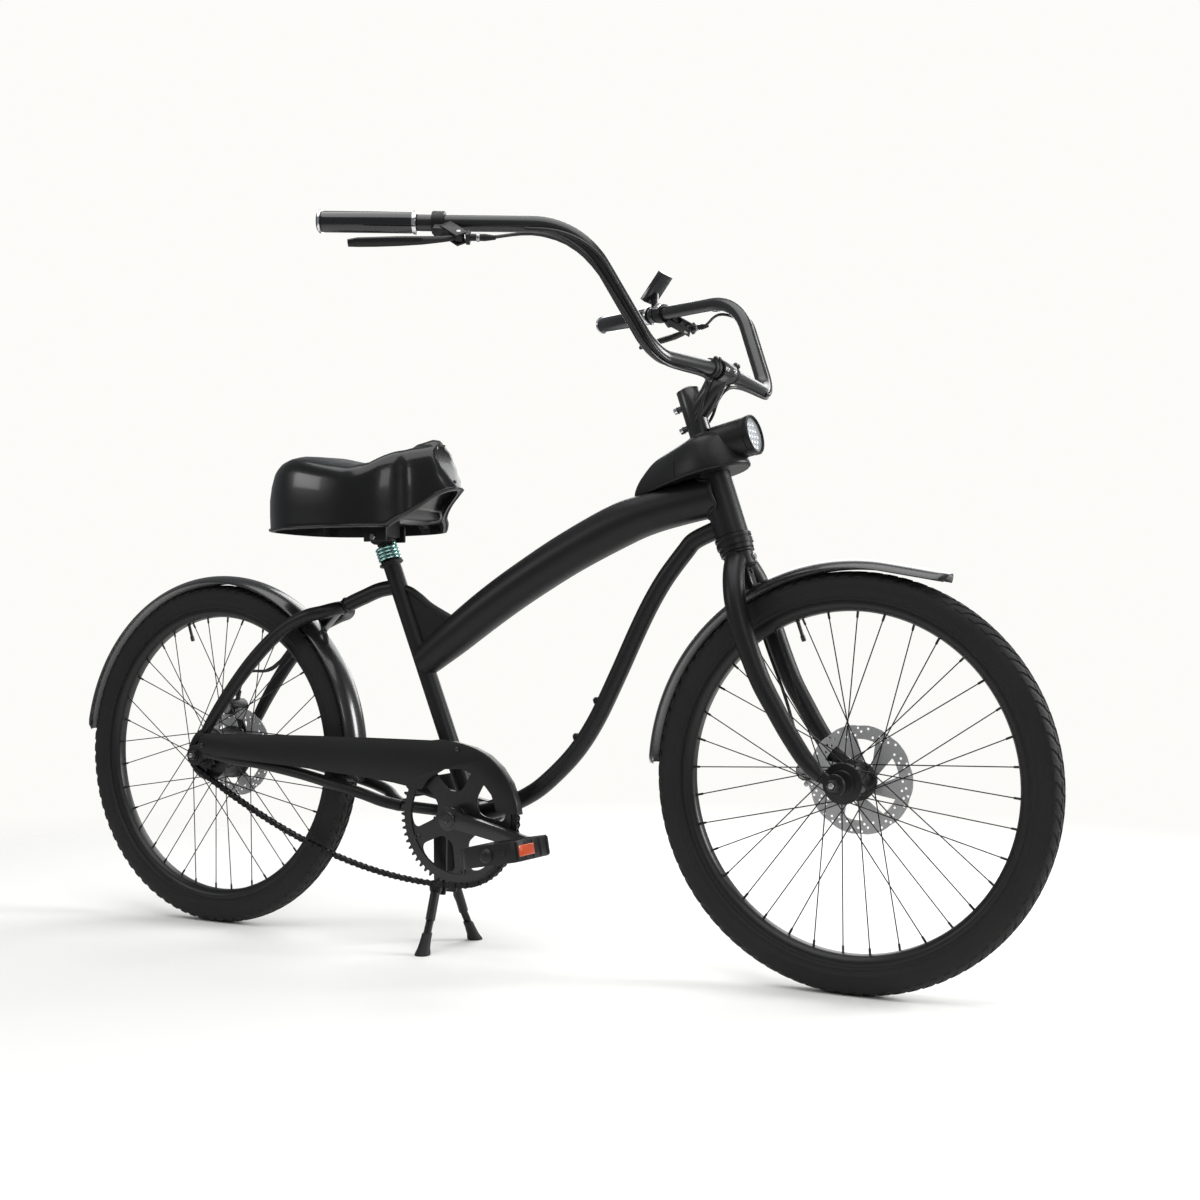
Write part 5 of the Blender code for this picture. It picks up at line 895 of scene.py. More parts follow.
def set_on(
    name: str,
    part: Solid,
    points: Sequence[Vector],
    ahead: Sequence[Vector],
    above: Sequence[Vector],
    finish: Finish,
) -> Object:
    """Copies of a shape on points, its X axis along ahead and its Z axis towards above."""
    shape = item(part)
    rows = {"ahead": [tuple(v) for v in ahead], "above": [tuple(v) for v in above]}
    made = PLACING.run(name, points, finish, Item=shape, **rows)
    bpy.data.objects.remove(shape)
    return made


# Wheels


@dataclass(frozen=True)
class Wheel:
    """A wheel with a treaded tyre, a box rim, laced spokes, a hub and a brake disc."""

    name: str
    axle: Vector
    flange: float
    barrel: float
    spread: float = 0.033
    spokes: int = 36
    knobs: int = 84
    rim_hole: float = 0.2706
    rotor: float = 0.0885
    rotor_side: float = 0.0475
    rotor_half: float = 0.0009
    rotor_arms: int = 6
    crown: float = 0.3325
    block: float = 0.0018
    root: float = -0.0014
    spoke: float = 0.001
    valve_angle: float = 1.9
    sides: int = 168

    def build(self) -> None:
        """Makes every piece of the wheel."""
        self.tyre()
        self.rim()
        self.lacing()
        self.hub()
        self.disc()

    @property
    def body(self) -> str:
        """Name of the CAD body that turns."""
        return self.name + "_wheel"

    def tyre(self) -> None:
        """Carcass with bead lines, and a chevron tread of shoulder and centre blocks."""
        half = [
            (0.2862, 0.015), (0.288, 0.0195), (0.2905, 0.0221), (0.2912, 0.0226), (0.292, 0.0222),
            (0.296, 0.0248), (0.3, 0.0261), (0.3008, 0.0268), (0.3016, 0.0265), (0.306, 0.0268),
            (0.312, 0.0266), (0.319, 0.0256), (0.3245, 0.0228), (0.3285, 0.0182), (0.331, 0.012),
            (0.3322, 0.006), (0.3325, 0.0),
        ]
        other = [(radius, -side) for radius, side in reversed(half[:-1])]
        carcass = Solid().lathe([*half, *other], self.axle, SIDE, self.sides, closed=True)
        carcass.piece(self.name + "_tyre_carcass", TYRE_BLACK, self.body, self.name + "_tyre", sharp=60.0)
        tread = Solid()
        for side in (-1, 1):
            tread.add(self.shoulder_block(side))
            tread.add(self.centre_block(side))
        fit(ring_of(self.name + "_tyre_tread", tread, self.knobs, self.axle, TYRE_BLACK), self.body)

    def tread_point(self, height: float, side: float, angle: float) -> Vector:
        """Point over the carcass, by its side from the middle and its angle round the wheel."""
        radius = self.crown - 7.5 * side**2 - 13500.0 * side**4 + height
        return Vector((radius * cos(angle), side, -radius * sin(angle)))

    def slanted(self, places: Profile, width: float) -> Solid:
        """A raised bar on the tread along (side, angle) places."""
        rings = []
        for side, angle in places:
            spots = [
                (-width / 2, self.root), (-width * 0.4, self.block), (width * 0.4, self.block),
                (width / 2, self.root),
            ]
            rings.append([self.tread_point(rise, side, angle + shift) for shift, rise in spots])
        return Solid().loft(rings)

    def shoulder_block(self, side: int) -> Solid:
        """A slanted block from the edge of the tread on to the side wall."""
        step = TURN / self.knobs
        rows = [(0.012, 0.5), (0.016, 0.28), (0.02, 0.1), (0.0235, 0.0)]
        return self.slanted([(side * where, share * step) for where, share in rows], step * 0.62)

    def centre_block(self, side: int) -> Solid:
        """Half of a chevron in the middle of the tread."""
        step = TURN / self.knobs
        rows = [(0.0012, 0.98), (0.005, 0.84), (0.0098, 0.62)]
        return self.slanted([(side * where, share * step) for where, share in rows], step * 0.66)

    def rim(self) -> None:
        """Double-wall rim with a step round each side, and its valve."""
        half = [
            (0.2706, 0.0), (0.2706, 0.005), (0.2714, 0.0085), (0.2745, 0.0128), (0.279, 0.0158),
            (0.2815, 0.0168), (0.2856, 0.017), (0.2903, 0.017), (0.2915, 0.0166), (0.2916, 0.0152),
            (0.2906, 0.0144), (0.2888, 0.0142), (0.2868, 0.0138), (0.2846, 0.012), (0.283, 0.007),
            (0.2828, 0.0),
        ]
        other = [(radius, -side) for radius, side in reversed(half[1:-1])]
        hoop = Solid().lathe([*half, *other], self.axle, SIDE, self.sides, closed=True)
        hoop.piece(self.name + "_rim_hoop", RIM_BLACK, self.body, self.name + "_rim", sharp=35.0)
        valve = Vector((cos(self.valve_angle), 0, sin(self.valve_angle)))
        stem = [
            (0, 0), (0.0042, 0), (0.0042, 0.002), (0.003, 0.003), (0.003, 0.026), (0.004, 0.0262),
            (0.004, 0.034), (0.003, 0.036), (0, 0.036),
        ]
        part = Solid().lathe(stem, self.axle + valve * 0.2712, -valve, 16)
        part.piece(self.name + "_valve", CABLE_BLACK, self.body)

    def lacing(self) -> None:
        """Spokes laced three-cross from both flanges, each with its nipple."""
        group = Solid()
        step = TURN / self.spokes
        for number in range(4):
            flange_side = 1 if number % 2 else -1
            lean = 1 if number < 2 else -1
            at_rim = step * number
            # Three crossings put a spoke's end at the hub nearly six flange holes from its end at the rim.
            at_hub = at_rim + lean * step * 5.7
            head = Vector((cos(at_hub), 0, sin(at_hub))) * (self.flange - 0.0045)
            head.y = flange_side * (self.spread + lean * 0.0022)
            foot = Vector((cos(at_rim), 0, sin(at_rim))) * (self.rim_hole + 0.001)
            foot.y = flange_side * 0.0035
            along = (foot - head).normalized()
            group.rod(head, foot, self.spoke, 8)
            nipple = [(0, 0), (0.0016, 0), (0.002, 0.001), (0.002, 0.011), (0.0026, 0.012), (0, 0.0125)]
            group.lathe(nipple, foot - along * 0.0115, along, 8)
            group.rod(head - SIDE * flange_side * 0.003, head + SIDE * flange_side * 0.0012, 0.0019, 8)
        spokes = ring_of(self.name + "_spokes", group, self.spokes // 4, self.axle, SPOKE_BLACK, 0.05)
        fit(spokes, self.body)

    def hub(self) -> None:
        """Hub shell with two flanges, and a step on the thick one."""
        barrel, flange, spread = self.barrel, self.flange, self.spread
        half = [
            (0.0, 0.0425), (0.015, 0.0425), (0.02, 0.0418), (0.0215, 0.04), (0.0215, spread + 0.0045),
            (flange - 0.0012, spread + 0.003), (flange, spread + 0.0018), (flange, spread - 0.0018),
            (flange - 0.0012, spread - 0.003), (barrel + 0.003, spread - 0.0045), (barrel, spread - 0.009),
            (barrel, 0.0),
        ]
        if barrel > 0.04:
            half[4:5] = [(0.034, spread + 0.0075), (barrel - 0.002, spread + 0.005)]
        profile = [*half, *((radius, -side) for radius, side in reversed(half[:-1]))]
        shell = Solid().lathe(profile, self.axle, SIDE, 64)
        shell.piece(self.name + "_hub_shell", HUB_BLACK, self.body, self.name + "_hub", sharp=30.0)

    def disc(self) -> None:
        """Brake disc with a scalloped edge, windows between its arms and rows of small holes."""
        outline = []
        for step in range(240):
            angle = TURN * step / 240
            radius = self.rotor - 0.0016 * (0.5 - 0.5 * cos(10 * angle)) ** 3
            outline.append((self.axle.x + radius * cos(angle), self.axle.z + radius * sin(angle)))
        holes = [
            self.arc_window(0.03, 0.0655, 0.24, TURN * number / self.rotor_arms)
            for number in range(self.rotor_arms)
        ]
        for number in range(30):
            for row, radius in enumerate((0.0715, 0.0775, 0.0832)):
                if (number + row) % 3 != 1:
                    holes.append(self.round_hole(radius, TURN * (number + 0.33 * row) / 30, 0.0021))
        side = self.rotor_side
        part = Solid().plate(outline, side - self.rotor_half, side + self.rotor_half, holes)
        part.piece(self.name + "_disc", ROTOR_GREY, self.body, self.name + "_rotor", sharp=30.0)
        boss = plain_head(0.0275, 0.0014, 0.026, 0.0028)
        spider = Solid().lathe(boss, self.axle + SIDE * (side + 0.0012), SIDE, 40)
        spider.piece(self.name + "_disc_boss", HUB_BLACK, self.body)
        head = plain_head(0.0042, 0.0016, 0.0032, 0.0024)
        bolt = Solid().lathe(head, Vector((0.0215, side + 0.0038, 0)), SIDE, 12)
        fit(ring_of(self.name + "_disc_bolts", bolt, self.rotor_arms, self.axle, STEEL), self.body)

    def round_hole(self, radius: float, angle: float, size: float) -> list[Pair]:
        """Outline of a small round hole at a radius and an angle from the axle."""
        x, z = self.axle.x + radius * cos(angle), self.axle.z + radius * sin(angle)
        spots = [TURN * k / 10 for k in range(10)]
        return [(x + size * cos(a), z + size * sin(a)) for a in spots]

    def arc_window(self, inner: float, outer: float, half: float, angle: float) -> list[Pair]:
        """Outline of a window between two arms, swept forwards as it goes out."""
        sweep = 0.35
        points = []
        for radius, way in ((outer, 1), (inner, -1)):
            for step in range(9):
                turn = angle + sweep * (radius - inner) / (outer - inner) + way * half * (step / 4 - 1)
                points.append((self.axle.x + radius * cos(turn), self.axle.z + radius * sin(turn)))
        return points


# Frame


@dataclass(frozen=True)
class FrameTubes:
    """The welded frame: smooth tubes with weld beads where they meet, bosses and dropouts."""

    head_low: float = 0.44
    head_high: float = 0.602
    head_bore: float = 0.0153
    cup_low: float = 0.412
    cup_high: float = 0.4396
    top_radius: float = 0.036
    top_join: float = 0.513
    down_radius: float = 0.0155
    seat_long: float = SEAT_LONG
    seat_bore: float = 0.0131
    seat_bore_deep: float = 0.24
    collar: float = 0.0228
    shell_half: float = 0.0345
    shell_bore: float = 0.0095
    yoke: float = 0.0105
    web_half: float = 0.0042
    gusset_radius: float = 0.007
    mono_radius: float = 0.0142
    arch_radius: float = 0.013
    chain_stay_radius: float = 0.0107
    weld: float = 0.003

    def build(self) -> None:
        """Makes every fixed piece of the frame."""
        self.head()
        self.top_tube()
        self.down_tube()
        self.seat_tube()
        self.gusset()
        self.stays()

    def head(self) -> None:
        """Head tube with its upper ring, and the stepped lower cup."""
        low, high, bore = self.head_low, self.head_high, self.head_bore
        profile = [
            (bore, low), (0.027, low), (0.028, low + 0.001), (0.028, high - 0.016), (0.03, high - 0.0148),
            (0.031, high - 0.0138), (0.031, high - 0.001), (0.03, high), (bore, high),
        ]
        tube = Solid().lathe(profile, STEER_FOOT, STEER_UP, 64, closed=True)
        tube.piece("head_tube_skin", POWDER_BLACK, "frame", "head_tube", sharp=30.0)
        low, high = self.cup_low, self.cup_high
        profile = [
            (bore, low), (0.0275, low), (0.029, low + 0.0015), (0.029, low + 0.008), (0.031, low + 0.0095),
            (0.031, high - 0.01), (0.0296, high - 0.0085), (0.0296, high - 0.0075), (0.031, high - 0.006),
            (0.031, high - 0.001), (0.03, high), (bore, high),
        ]
        cup = Solid().lathe(profile, STEER_FOOT, STEER_UP, 64, closed=True)
        cup.piece("lower_cup_skin", POWDER_BLACK, "frame", "headset_lower_cup", sharp=30.0)

    def top_path(self) -> list[Vector]:
        """Centre line of the top tube."""
        rear = CRANK_AXIS + SEAT_UP * 0.2951
        chord = steer(self.top_join) - rear
        bows = (
            (0, 0), (0.1187, 0.0132), (0.1944, 0.0216), (0.2912, 0.0305), (0.3996, 0.0373), (0.55, 0.0425),
            (0.7111, 0.0407), (0.8036, 0.0322), (0.9, 0.018), (1, 0),
        )
        up = Vector((-chord.z, 0, chord.x)).normalized()
        return smooth([rear + chord * share + up * bow for share, bow in bows])

    def top_tube(self) -> None:
        """Curved top tube, oval towards the seat."""
        path = self.top_path()
        heights = (0.8, 0.94, 0.986, 1.014, 1.028, 1.05, 1.069, 0.986, 0.98, 0.98)
        radii = [(self.top_radius * min(h, 1.0) * 0.97, self.top_radius * h) for h in eased(heights)]
        skin = Solid().tube(path, radii, 48, up=(-0.6, 0, 0.8))
        skin.piece("top_tube_skin", POWDER_BLACK, "frame", "top_tube", sharp=50.0)
        self.bead("top_tube_front_weld", steer(self.top_join), STEER_UP, 0.0278, path[-8:], 0.0362)

    def bead(
        self, name: str, place: Vector, axis: Vector, radius: float, path: Sequence[Vector], reach: float
    ) -> None:
        """Rounded weld bead where a tube of radius reach meets a straight tube.

        Args:
            name: Name of the piece.
            place: Point on the straight tube's axis.
            axis: Direction of the straight tube.
            radius: Radius of the straight tube.
            path: End of the joining tube's centre line.
            reach: Radius of the joining tube.
        """
        ahead = (path[-1] - path[0]).normalized()
        across = ahead.cross(axis).normalized()
        over = across.cross(ahead).normalized()
        ring = []
        for step in range(72):
            angle = TURN * step / 72
            start = place + across * (reach * cos(angle)) + over * (reach * sin(angle))
            offset = start - place
            offset -= axis * offset.dot(axis)
            side = offset.dot(across)
            deep = sqrt(max(0.0, radius**2 - side**2))
            flat = ahead - axis * ahead.dot(axis)
            lead = flat.normalized()
            gap = (offset.dot(lead) + deep) / flat.length
            ring.append(start - ahead * gap)
        beads = Solid().tube(ring, self.weld, 8, closed=True)
        beads.piece(name, POWDER_BLACK, "frame")

    def down_path(self) -> list[Vector]:
        """Centre line of the swan-necked down tube."""
        points = [steer(0.463), steer(0.46, -0.027)]
        chord = CRANK_AXIS - points[0]
        across = Vector((chord.z, 0, -chord.x)).normalized()
        bows = (
            (0.0868, -0.0245), (0.1222, -0.0247), (0.2009, -0.02), (0.2722, -0.0098), (0.3484, 0.0059),
            (0.46, 0.032), (0.5796, 0.057), (0.6792, 0.0671), (0.7876, 0.0632), (0.8563, 0.0518),
        )
        points += [points[0] + chord * t - across * bow for t, bow in (*bows, (0.93, 0.03))]
        return smooth([*points, CRANK_AXIS])

    def down_tube(self) -> None:
        """Down tube with two bottle bosses."""
        path = self.down_path()
        skin = Solid().tube(path, self.down_radius, 40, up=(1, 0, 0))
        skin.piece("down_tube_skin", POWDER_BLACK, "frame", "down_tube", sharp=50.0)
        for number, share in enumerate((0.5325, 0.637)):
            point, direction = along_path(path, share * length_of(path))
            out = SIDE.cross(direction)
            profile = [(0, 0), (0.0085, 0.0), (0.0068, 0.003), (0.0064, 0.005), (0.0054, 0.0058), (0, 0.0058)]
            boss = Solid().lathe(profile, point + out * 0.014, out, 24)
            boss.piece(f"bottle_boss_{number}", POWDER_BLACK, "frame")
            profile = bolt_head(0.0046, 0.0014, 0.0034, 0.0026, 0.002, 0.001)
            bolt = Solid().lathe(profile, point + out * 0.0198, out, 24)
            bolt.piece(f"bottle_bolt_{number}", CRANK_BLACK, "frame", sharp=30.0)

    def seat_tube(self) -> None:
        """Seat tube with its flared collar, and the bottom bracket shell with its yoke."""
        long, rim, bore = self.seat_long, self.collar, self.seat_bore
        profile = [
            (0, 0), (0.0167, 0), (0.0167, long - 0.006), (0.018, long - 0.0045), (rim - 0.001, long - 0.0025),
            (rim, long - 0.0018), (rim, long - 0.0004), (rim - 0.0006, long), (bore, long),
            (bore, long - self.seat_bore_deep), (0, long - self.seat_bore_deep),
        ]
        skin = Solid().lathe(profile, CRANK_AXIS, SEAT_UP, 48)
        skin.piece("seat_tube_skin", POWDER_BLACK, "frame", "seat_tube")
        half, bore = self.shell_half, self.shell_bore
        profile = [
            (bore, -half), (0.0198, -half), (0.021, 0.0012 - half), (0.021, half - 0.0012), (0.0198, half)
        ]
        shell = Solid().lathe([*profile, (bore, half)], CRANK_AXIS, SIDE, 48, closed=True)
        yoke = [CRANK_AXIS + Vector((-0.168, 0, 0.0082)), CRANK_AXIS + Vector((-0.018, 0, 0.0009))]
        shell.tube(yoke, self.yoke, 32)
        shell.piece("bottom_bracket_skin", POWDER_BLACK, "frame", "bottom_bracket_shell")

    def gusset(self) -> None:
        """Small gusset tube with the web under it."""
        ahead = SIDE.cross(SEAT_UP)
        places = ((0.444, 0.0), (0.4327, 0.0195), (0.4108, 0.0368), (0.3851, 0.0531), (0.345, 0.088))
        path = smooth([CRANK_AXIS + SEAT_UP * up + ahead * out for up, out in places])
        low = CRANK_AXIS + SEAT_UP * 0.315
        outline = [(p.x, p.z) for p in path] + [(low.x + 0.05, low.z), (low.x, low.z)]
        part = Solid().plate(outline, -self.web_half, self.web_half).tube(path, self.gusset_radius, 28)
        part.piece("gusset_skin", POWDER_BLACK, "frame", "seat_gusset")

    @staticmethod
    def bowed(start: Vector, end: Vector, bows: Sequence[Point]) -> list[Vector]:
        """Path between two points by (share of the way, rise over the chord, distance to the right)."""
        chord = end - start
        over = Vector((-chord.z, 0, chord.x)).normalized()
        path = [start]
        for share, rise, side in bows:
            point = start + chord * share + over * rise
            path.append(Vector((point.x, -side, point.z)))
        return [*path, end]

    def seat_stay_path(self) -> list[Vector]:
        """Right half of the arch."""
        bows = (
            (0.009, -0.0008, 0.018), (0.054, -0.0066, 0.038), (0.128, -0.0212, 0.047), (0.25, -0.0363, 0.049),
            (0.396, -0.0407, 0.052), (0.56, -0.0368, 0.056), (0.749, -0.0252, 0.061),
            (0.901, -0.0117, 0.0655),
        )
        return self.bowed(STAY_JOINT, REAR_AXLE + Vector((0.017, -0.069, 0.036)), bows)

    def stays(self) -> None:
        """Monostay, the arch of the seat stays, and the chain stays with their dropouts."""
        drops = ((0.0261, 0, 0.0504), (0.0602, 0, 0.0619), (0.0904, 0, 0.0729))
        route = [SEAT_TOP - SEAT_UP * 0.0475, *(SEAT_TOP - Vector(drop) for drop in drops), STAY_JOINT]
        mono = Solid().tube(smooth(route), self.mono_radius, 36)
        mono.piece("monostay_skin", POWDER_BLACK, "frame", "monostay")
        half = self.seat_stay_path()
        ends = [self.arch_radius * share for share in (0.93, 0.82, 0.66)]
        radii = [self.arch_radius] * (len(half) - 3) + ends
        path = smooth([*reversed(half), *mirrored(half[1:])])
        sizes = eased([*reversed(radii), *radii[1:]])
        Solid().tube(path, sizes, 36).piece("seat_stay_skin", POWDER_BLACK, "frame", "seat_stay_arch")
        back = route[-2] - route[-1]
        inner = self.arch_radius
        profile = [(inner, -0.002), (0.0158, -0.001), (0.0164, 0.0005), (0.0156, 0.0022), (inner, 0.0032)]
        bead = Solid().lathe(profile, route[-1] + back.normalized() * 0.0125, back, 40, closed=True)
        bead.piece("monostay_weld", POWDER_BLACK, "frame")
        bows = (
            (0.068, 0.0015, 0.067), (0.184, 0.0056, 0.06), (0.311, 0.0101, 0.053), (0.541, 0.0135, 0.048),
            (0.747, 0.0122, 0.046), (0.854, 0.0094, 0.038), (0.928, 0.0026, 0.021),
        )
        rear = REAR_AXLE + Vector((0.021, -0.069, 0.004))
        stay = self.bowed(rear, CRANK_AXIS + Vector((-0.16, -0.004, 0.0082)), bows)
        thick = self.chain_stay_radius
        radii = [thick * 0.62, thick * 0.8, *([thick] * (len(stay) - 2))]
        sizes = eased(radii)
        for side, name in SIDES:
            route = smooth(stay if side < 0 else mirrored(stay))
            part = Solid().tube(route, sizes, 32)
            part.piece(f"chain_stay_{name}_tube", POWDER_BLACK, "frame")
            refined("chain_stay_" + name, POWDER_BLACK, "frame", 0.0006)


@dataclass(frozen=True)
class Mudguard:
    """A rolled mudguard with a lip along its edges, and its carrier."""

    name: str
    body: str
    axle: Vector
    arc: Pair
    flare: float
    radius: float = 0.353
    width: float = 0.064
    drop: float = 0.013
    wall: float = 0.0016

    def build(self) -> None:
        """Makes the shell, narrower at its two ends, and its carrier."""
        start, end = (radians(a) for a in self.arc)
        half = self.width / 2
        section = []
        for step in range(25):
            share = step / 12 - 1
            section.append((share * half, -self.drop * abs(share) ** 2.4))
        under = [(y * (half - self.wall) / half, h - self.wall) for y, h in reversed(section)]
        lip = [(half + 0.0004, -self.drop - 0.0012), (half - 0.001, -self.drop - 0.0026)]
        loop = [*section, *lip, *under, *((-y, h) for y, h in reversed(lip))]
        rings = []
        steps = 96
        for step in range(steps + 1):
            t = step / steps
            angle = start + (end - start) * t
            extra = self.flare * max(0.0, 1 - t * 7) ** 2
            narrow = 1 - 0.3 * max(0.0, 1 - t * 60) ** 2 - 0.3 * max(0.0, 1 - (1 - t) * 60) ** 2
            out = Vector((cos(angle), 0, sin(angle)))
            rings.append([self.axle + out * (self.radius + extra + h) + SIDE * (y * narrow) for y, h in loop])
        Solid().loft(rings).piece(self.name + "_shell", GUARD_BLACK, self.body, self.name, sharp=50.0)
        self.carrier()

    def carrier(self) -> None:
        """Strap or bracket that holds the mudguard to the frame or to the fork."""
        low = self.radius - 0.001
        if self.body == "steering":
            high = steer(0.3826)
            out = (high - self.axle).normalized()
            reach = (high - self.axle).length
            turn = turn_to(STEER_AHEAD, STEER_UP)
            middle = self.axle + out * ((low + reach) / 2)
            part = Solid().block(middle, (0.02, 0.022, reach - low), turn, 0.002)
            part.rod(steer(0.374, 0.008), steer(0.374, 0.016), 0.0046, 6, 0.0008)
        else:
            top = STAY_JOINT - self.axle
            out = top.normalized()
            reach = top.length - 0.013
            turn = turn_to(out, SIDE.cross(out))
            middle = self.axle + out * ((low + reach) / 2)
            part = Solid().block(middle, (reach - low, 0.018, 0.003), turn, 0.0008)
            part.rod(self.axle + out * (low - 0.001), self.axle + out * (low + 0.006), 0.006, 20, 0.001)
        part.piece(self.name + "_carrier", GUARD_BLACK, self.body)


# Fork, bar and lamp


@dataclass(frozen=True)
class Fork:
    """Curved fork with a round crown and its steerer, and both axles."""

    leg: float = 0.0178
    leg_taper: float = 0.005
    taper_start: float = 0.35
    leg_ends: tuple[float, ...] = (0.0122, 0.0112, 0.0094)
    crown_low: float = 0.383
    steerer: float = 0.0143
    steerer_top: float = 0.692
    nut_bore: float = 0.0051
    nut_side: float = 0.074

    def build(self) -> None:
        """Makes the legs, the crown and the axles."""
        self.legs()
        self.crown()
        self.axles()

    def legs(self) -> None:
        """Two curved legs that taper towards their dropouts."""
        route = [
            (0.398, 0.0, 0.012), (0.386, 0.0, 0.03), (0.36, -0.001, 0.05), (0.325, -0.004, 0.0615),
            (0.28, -0.0055, 0.065), (0.2306, -0.004, 0.0655), (0.185, 0.0, 0.0655), (0.14, 0.009, 0.0655),
            (0.095, 0.019, 0.066), (0.05, 0.033, 0.068), (0.017, 0.05, 0.07),
        ]
        for side, name in SIDES:
            path = smooth([steer(along, ahead, side * out) for along, ahead, out in route])
            sizes = []
            for i in range(len(path)):
                share = max(0.0, i / (len(path) - 1) - self.taper_start) ** 1.5
                sizes.append(self.leg - self.leg_taper * share / (1 - self.taper_start) ** 1.5)
            sizes[-3:] = self.leg_ends
            leg = Solid().tube(path, sizes, 40, up=(1, 0, 0))
            leg.piece(f"fork_leg_{name}_tube", POWDER_BLACK, "steering")
            refined("fork_leg_" + name, POWDER_BLACK, "steering", 0.0008)

    def crown(self) -> None:
        """Crown with its steerer tube, and the bolt in front of it."""
        low, inner, top = self.crown_low, self.steerer, self.steerer_top
        profile = [
            (0, low), (0.0225, low), (0.0255, low + 0.003), (0.0255, 0.4066), (0.0285, 0.408),
            (0.0285, 0.4112), (0.028, 0.4116), (inner, 0.4116), (inner, top), (0, top),
        ]
        crown = Solid().lathe(profile, STEER_FOOT, STEER_UP, 56)
        crown.piece("fork_crown", POWDER_BLACK, "steering", "fork_steerer", sharp=30.0)
        bolt = Solid().lathe(plain_head(0.0062, 0.003, 0.0046, 0.0046), steer(0.396, 0.0245), STEER_AHEAD, 28)
        bolt.piece("crown_bolt", STEEL, "steering", sharp=30.0)

    def axles(self) -> None:
        """Front and rear axle, each with a hexagon nut on both sides."""
        bore = self.nut_bore
        profile = [
            (bore, 0), (0.0118, 0), (0.0118, 0.0016), (0.0096, 0.002), (0.0092, 0.0078), (0.0078, 0.0092),
            (bore, 0.0092),
        ]
        for end, centre, body in (("front", FRONT_AXLE, "steering"), ("rear", REAR_AXLE, "frame")):
            refined(end + "_axle", STEEL, body, 0.0006)
            for side, name in SIDES:
                place = centre + SIDE * (side * self.nut_side)
                nut = Solid().lathe(profile, place, SIDE * side, 6, closed=True)
                nut.piece(f"{end}_nut_{name}", CRANK_BLACK, body, sharp=30.0)


def bar_path(side: int) -> list[Vector]:
    """Centre line of one half of the handlebar, from the clamp to its end."""
    offsets = ((0, 0.027, 0), (-0.013, 0.222, -0.0065), (-0.103, 0.298, 0.1885), (-0.479, 0.456, 0.2055))
    path = bent([BAR_CLAMP + Vector(offset) for offset in offsets], (0.055, 0.13), 14)
    return [Vector((p.x, side * p.y, p.z)) for p in path]


def bar_station(side: int, from_end: float) -> tuple[Vector, Vector]:
    """Point and direction towards the stem on the bar's straight end."""
    path = bar_path(side)
    ahead = (path[-2] - path[-1]).normalized()
    return path[-1] + ahead * from_end, ahead


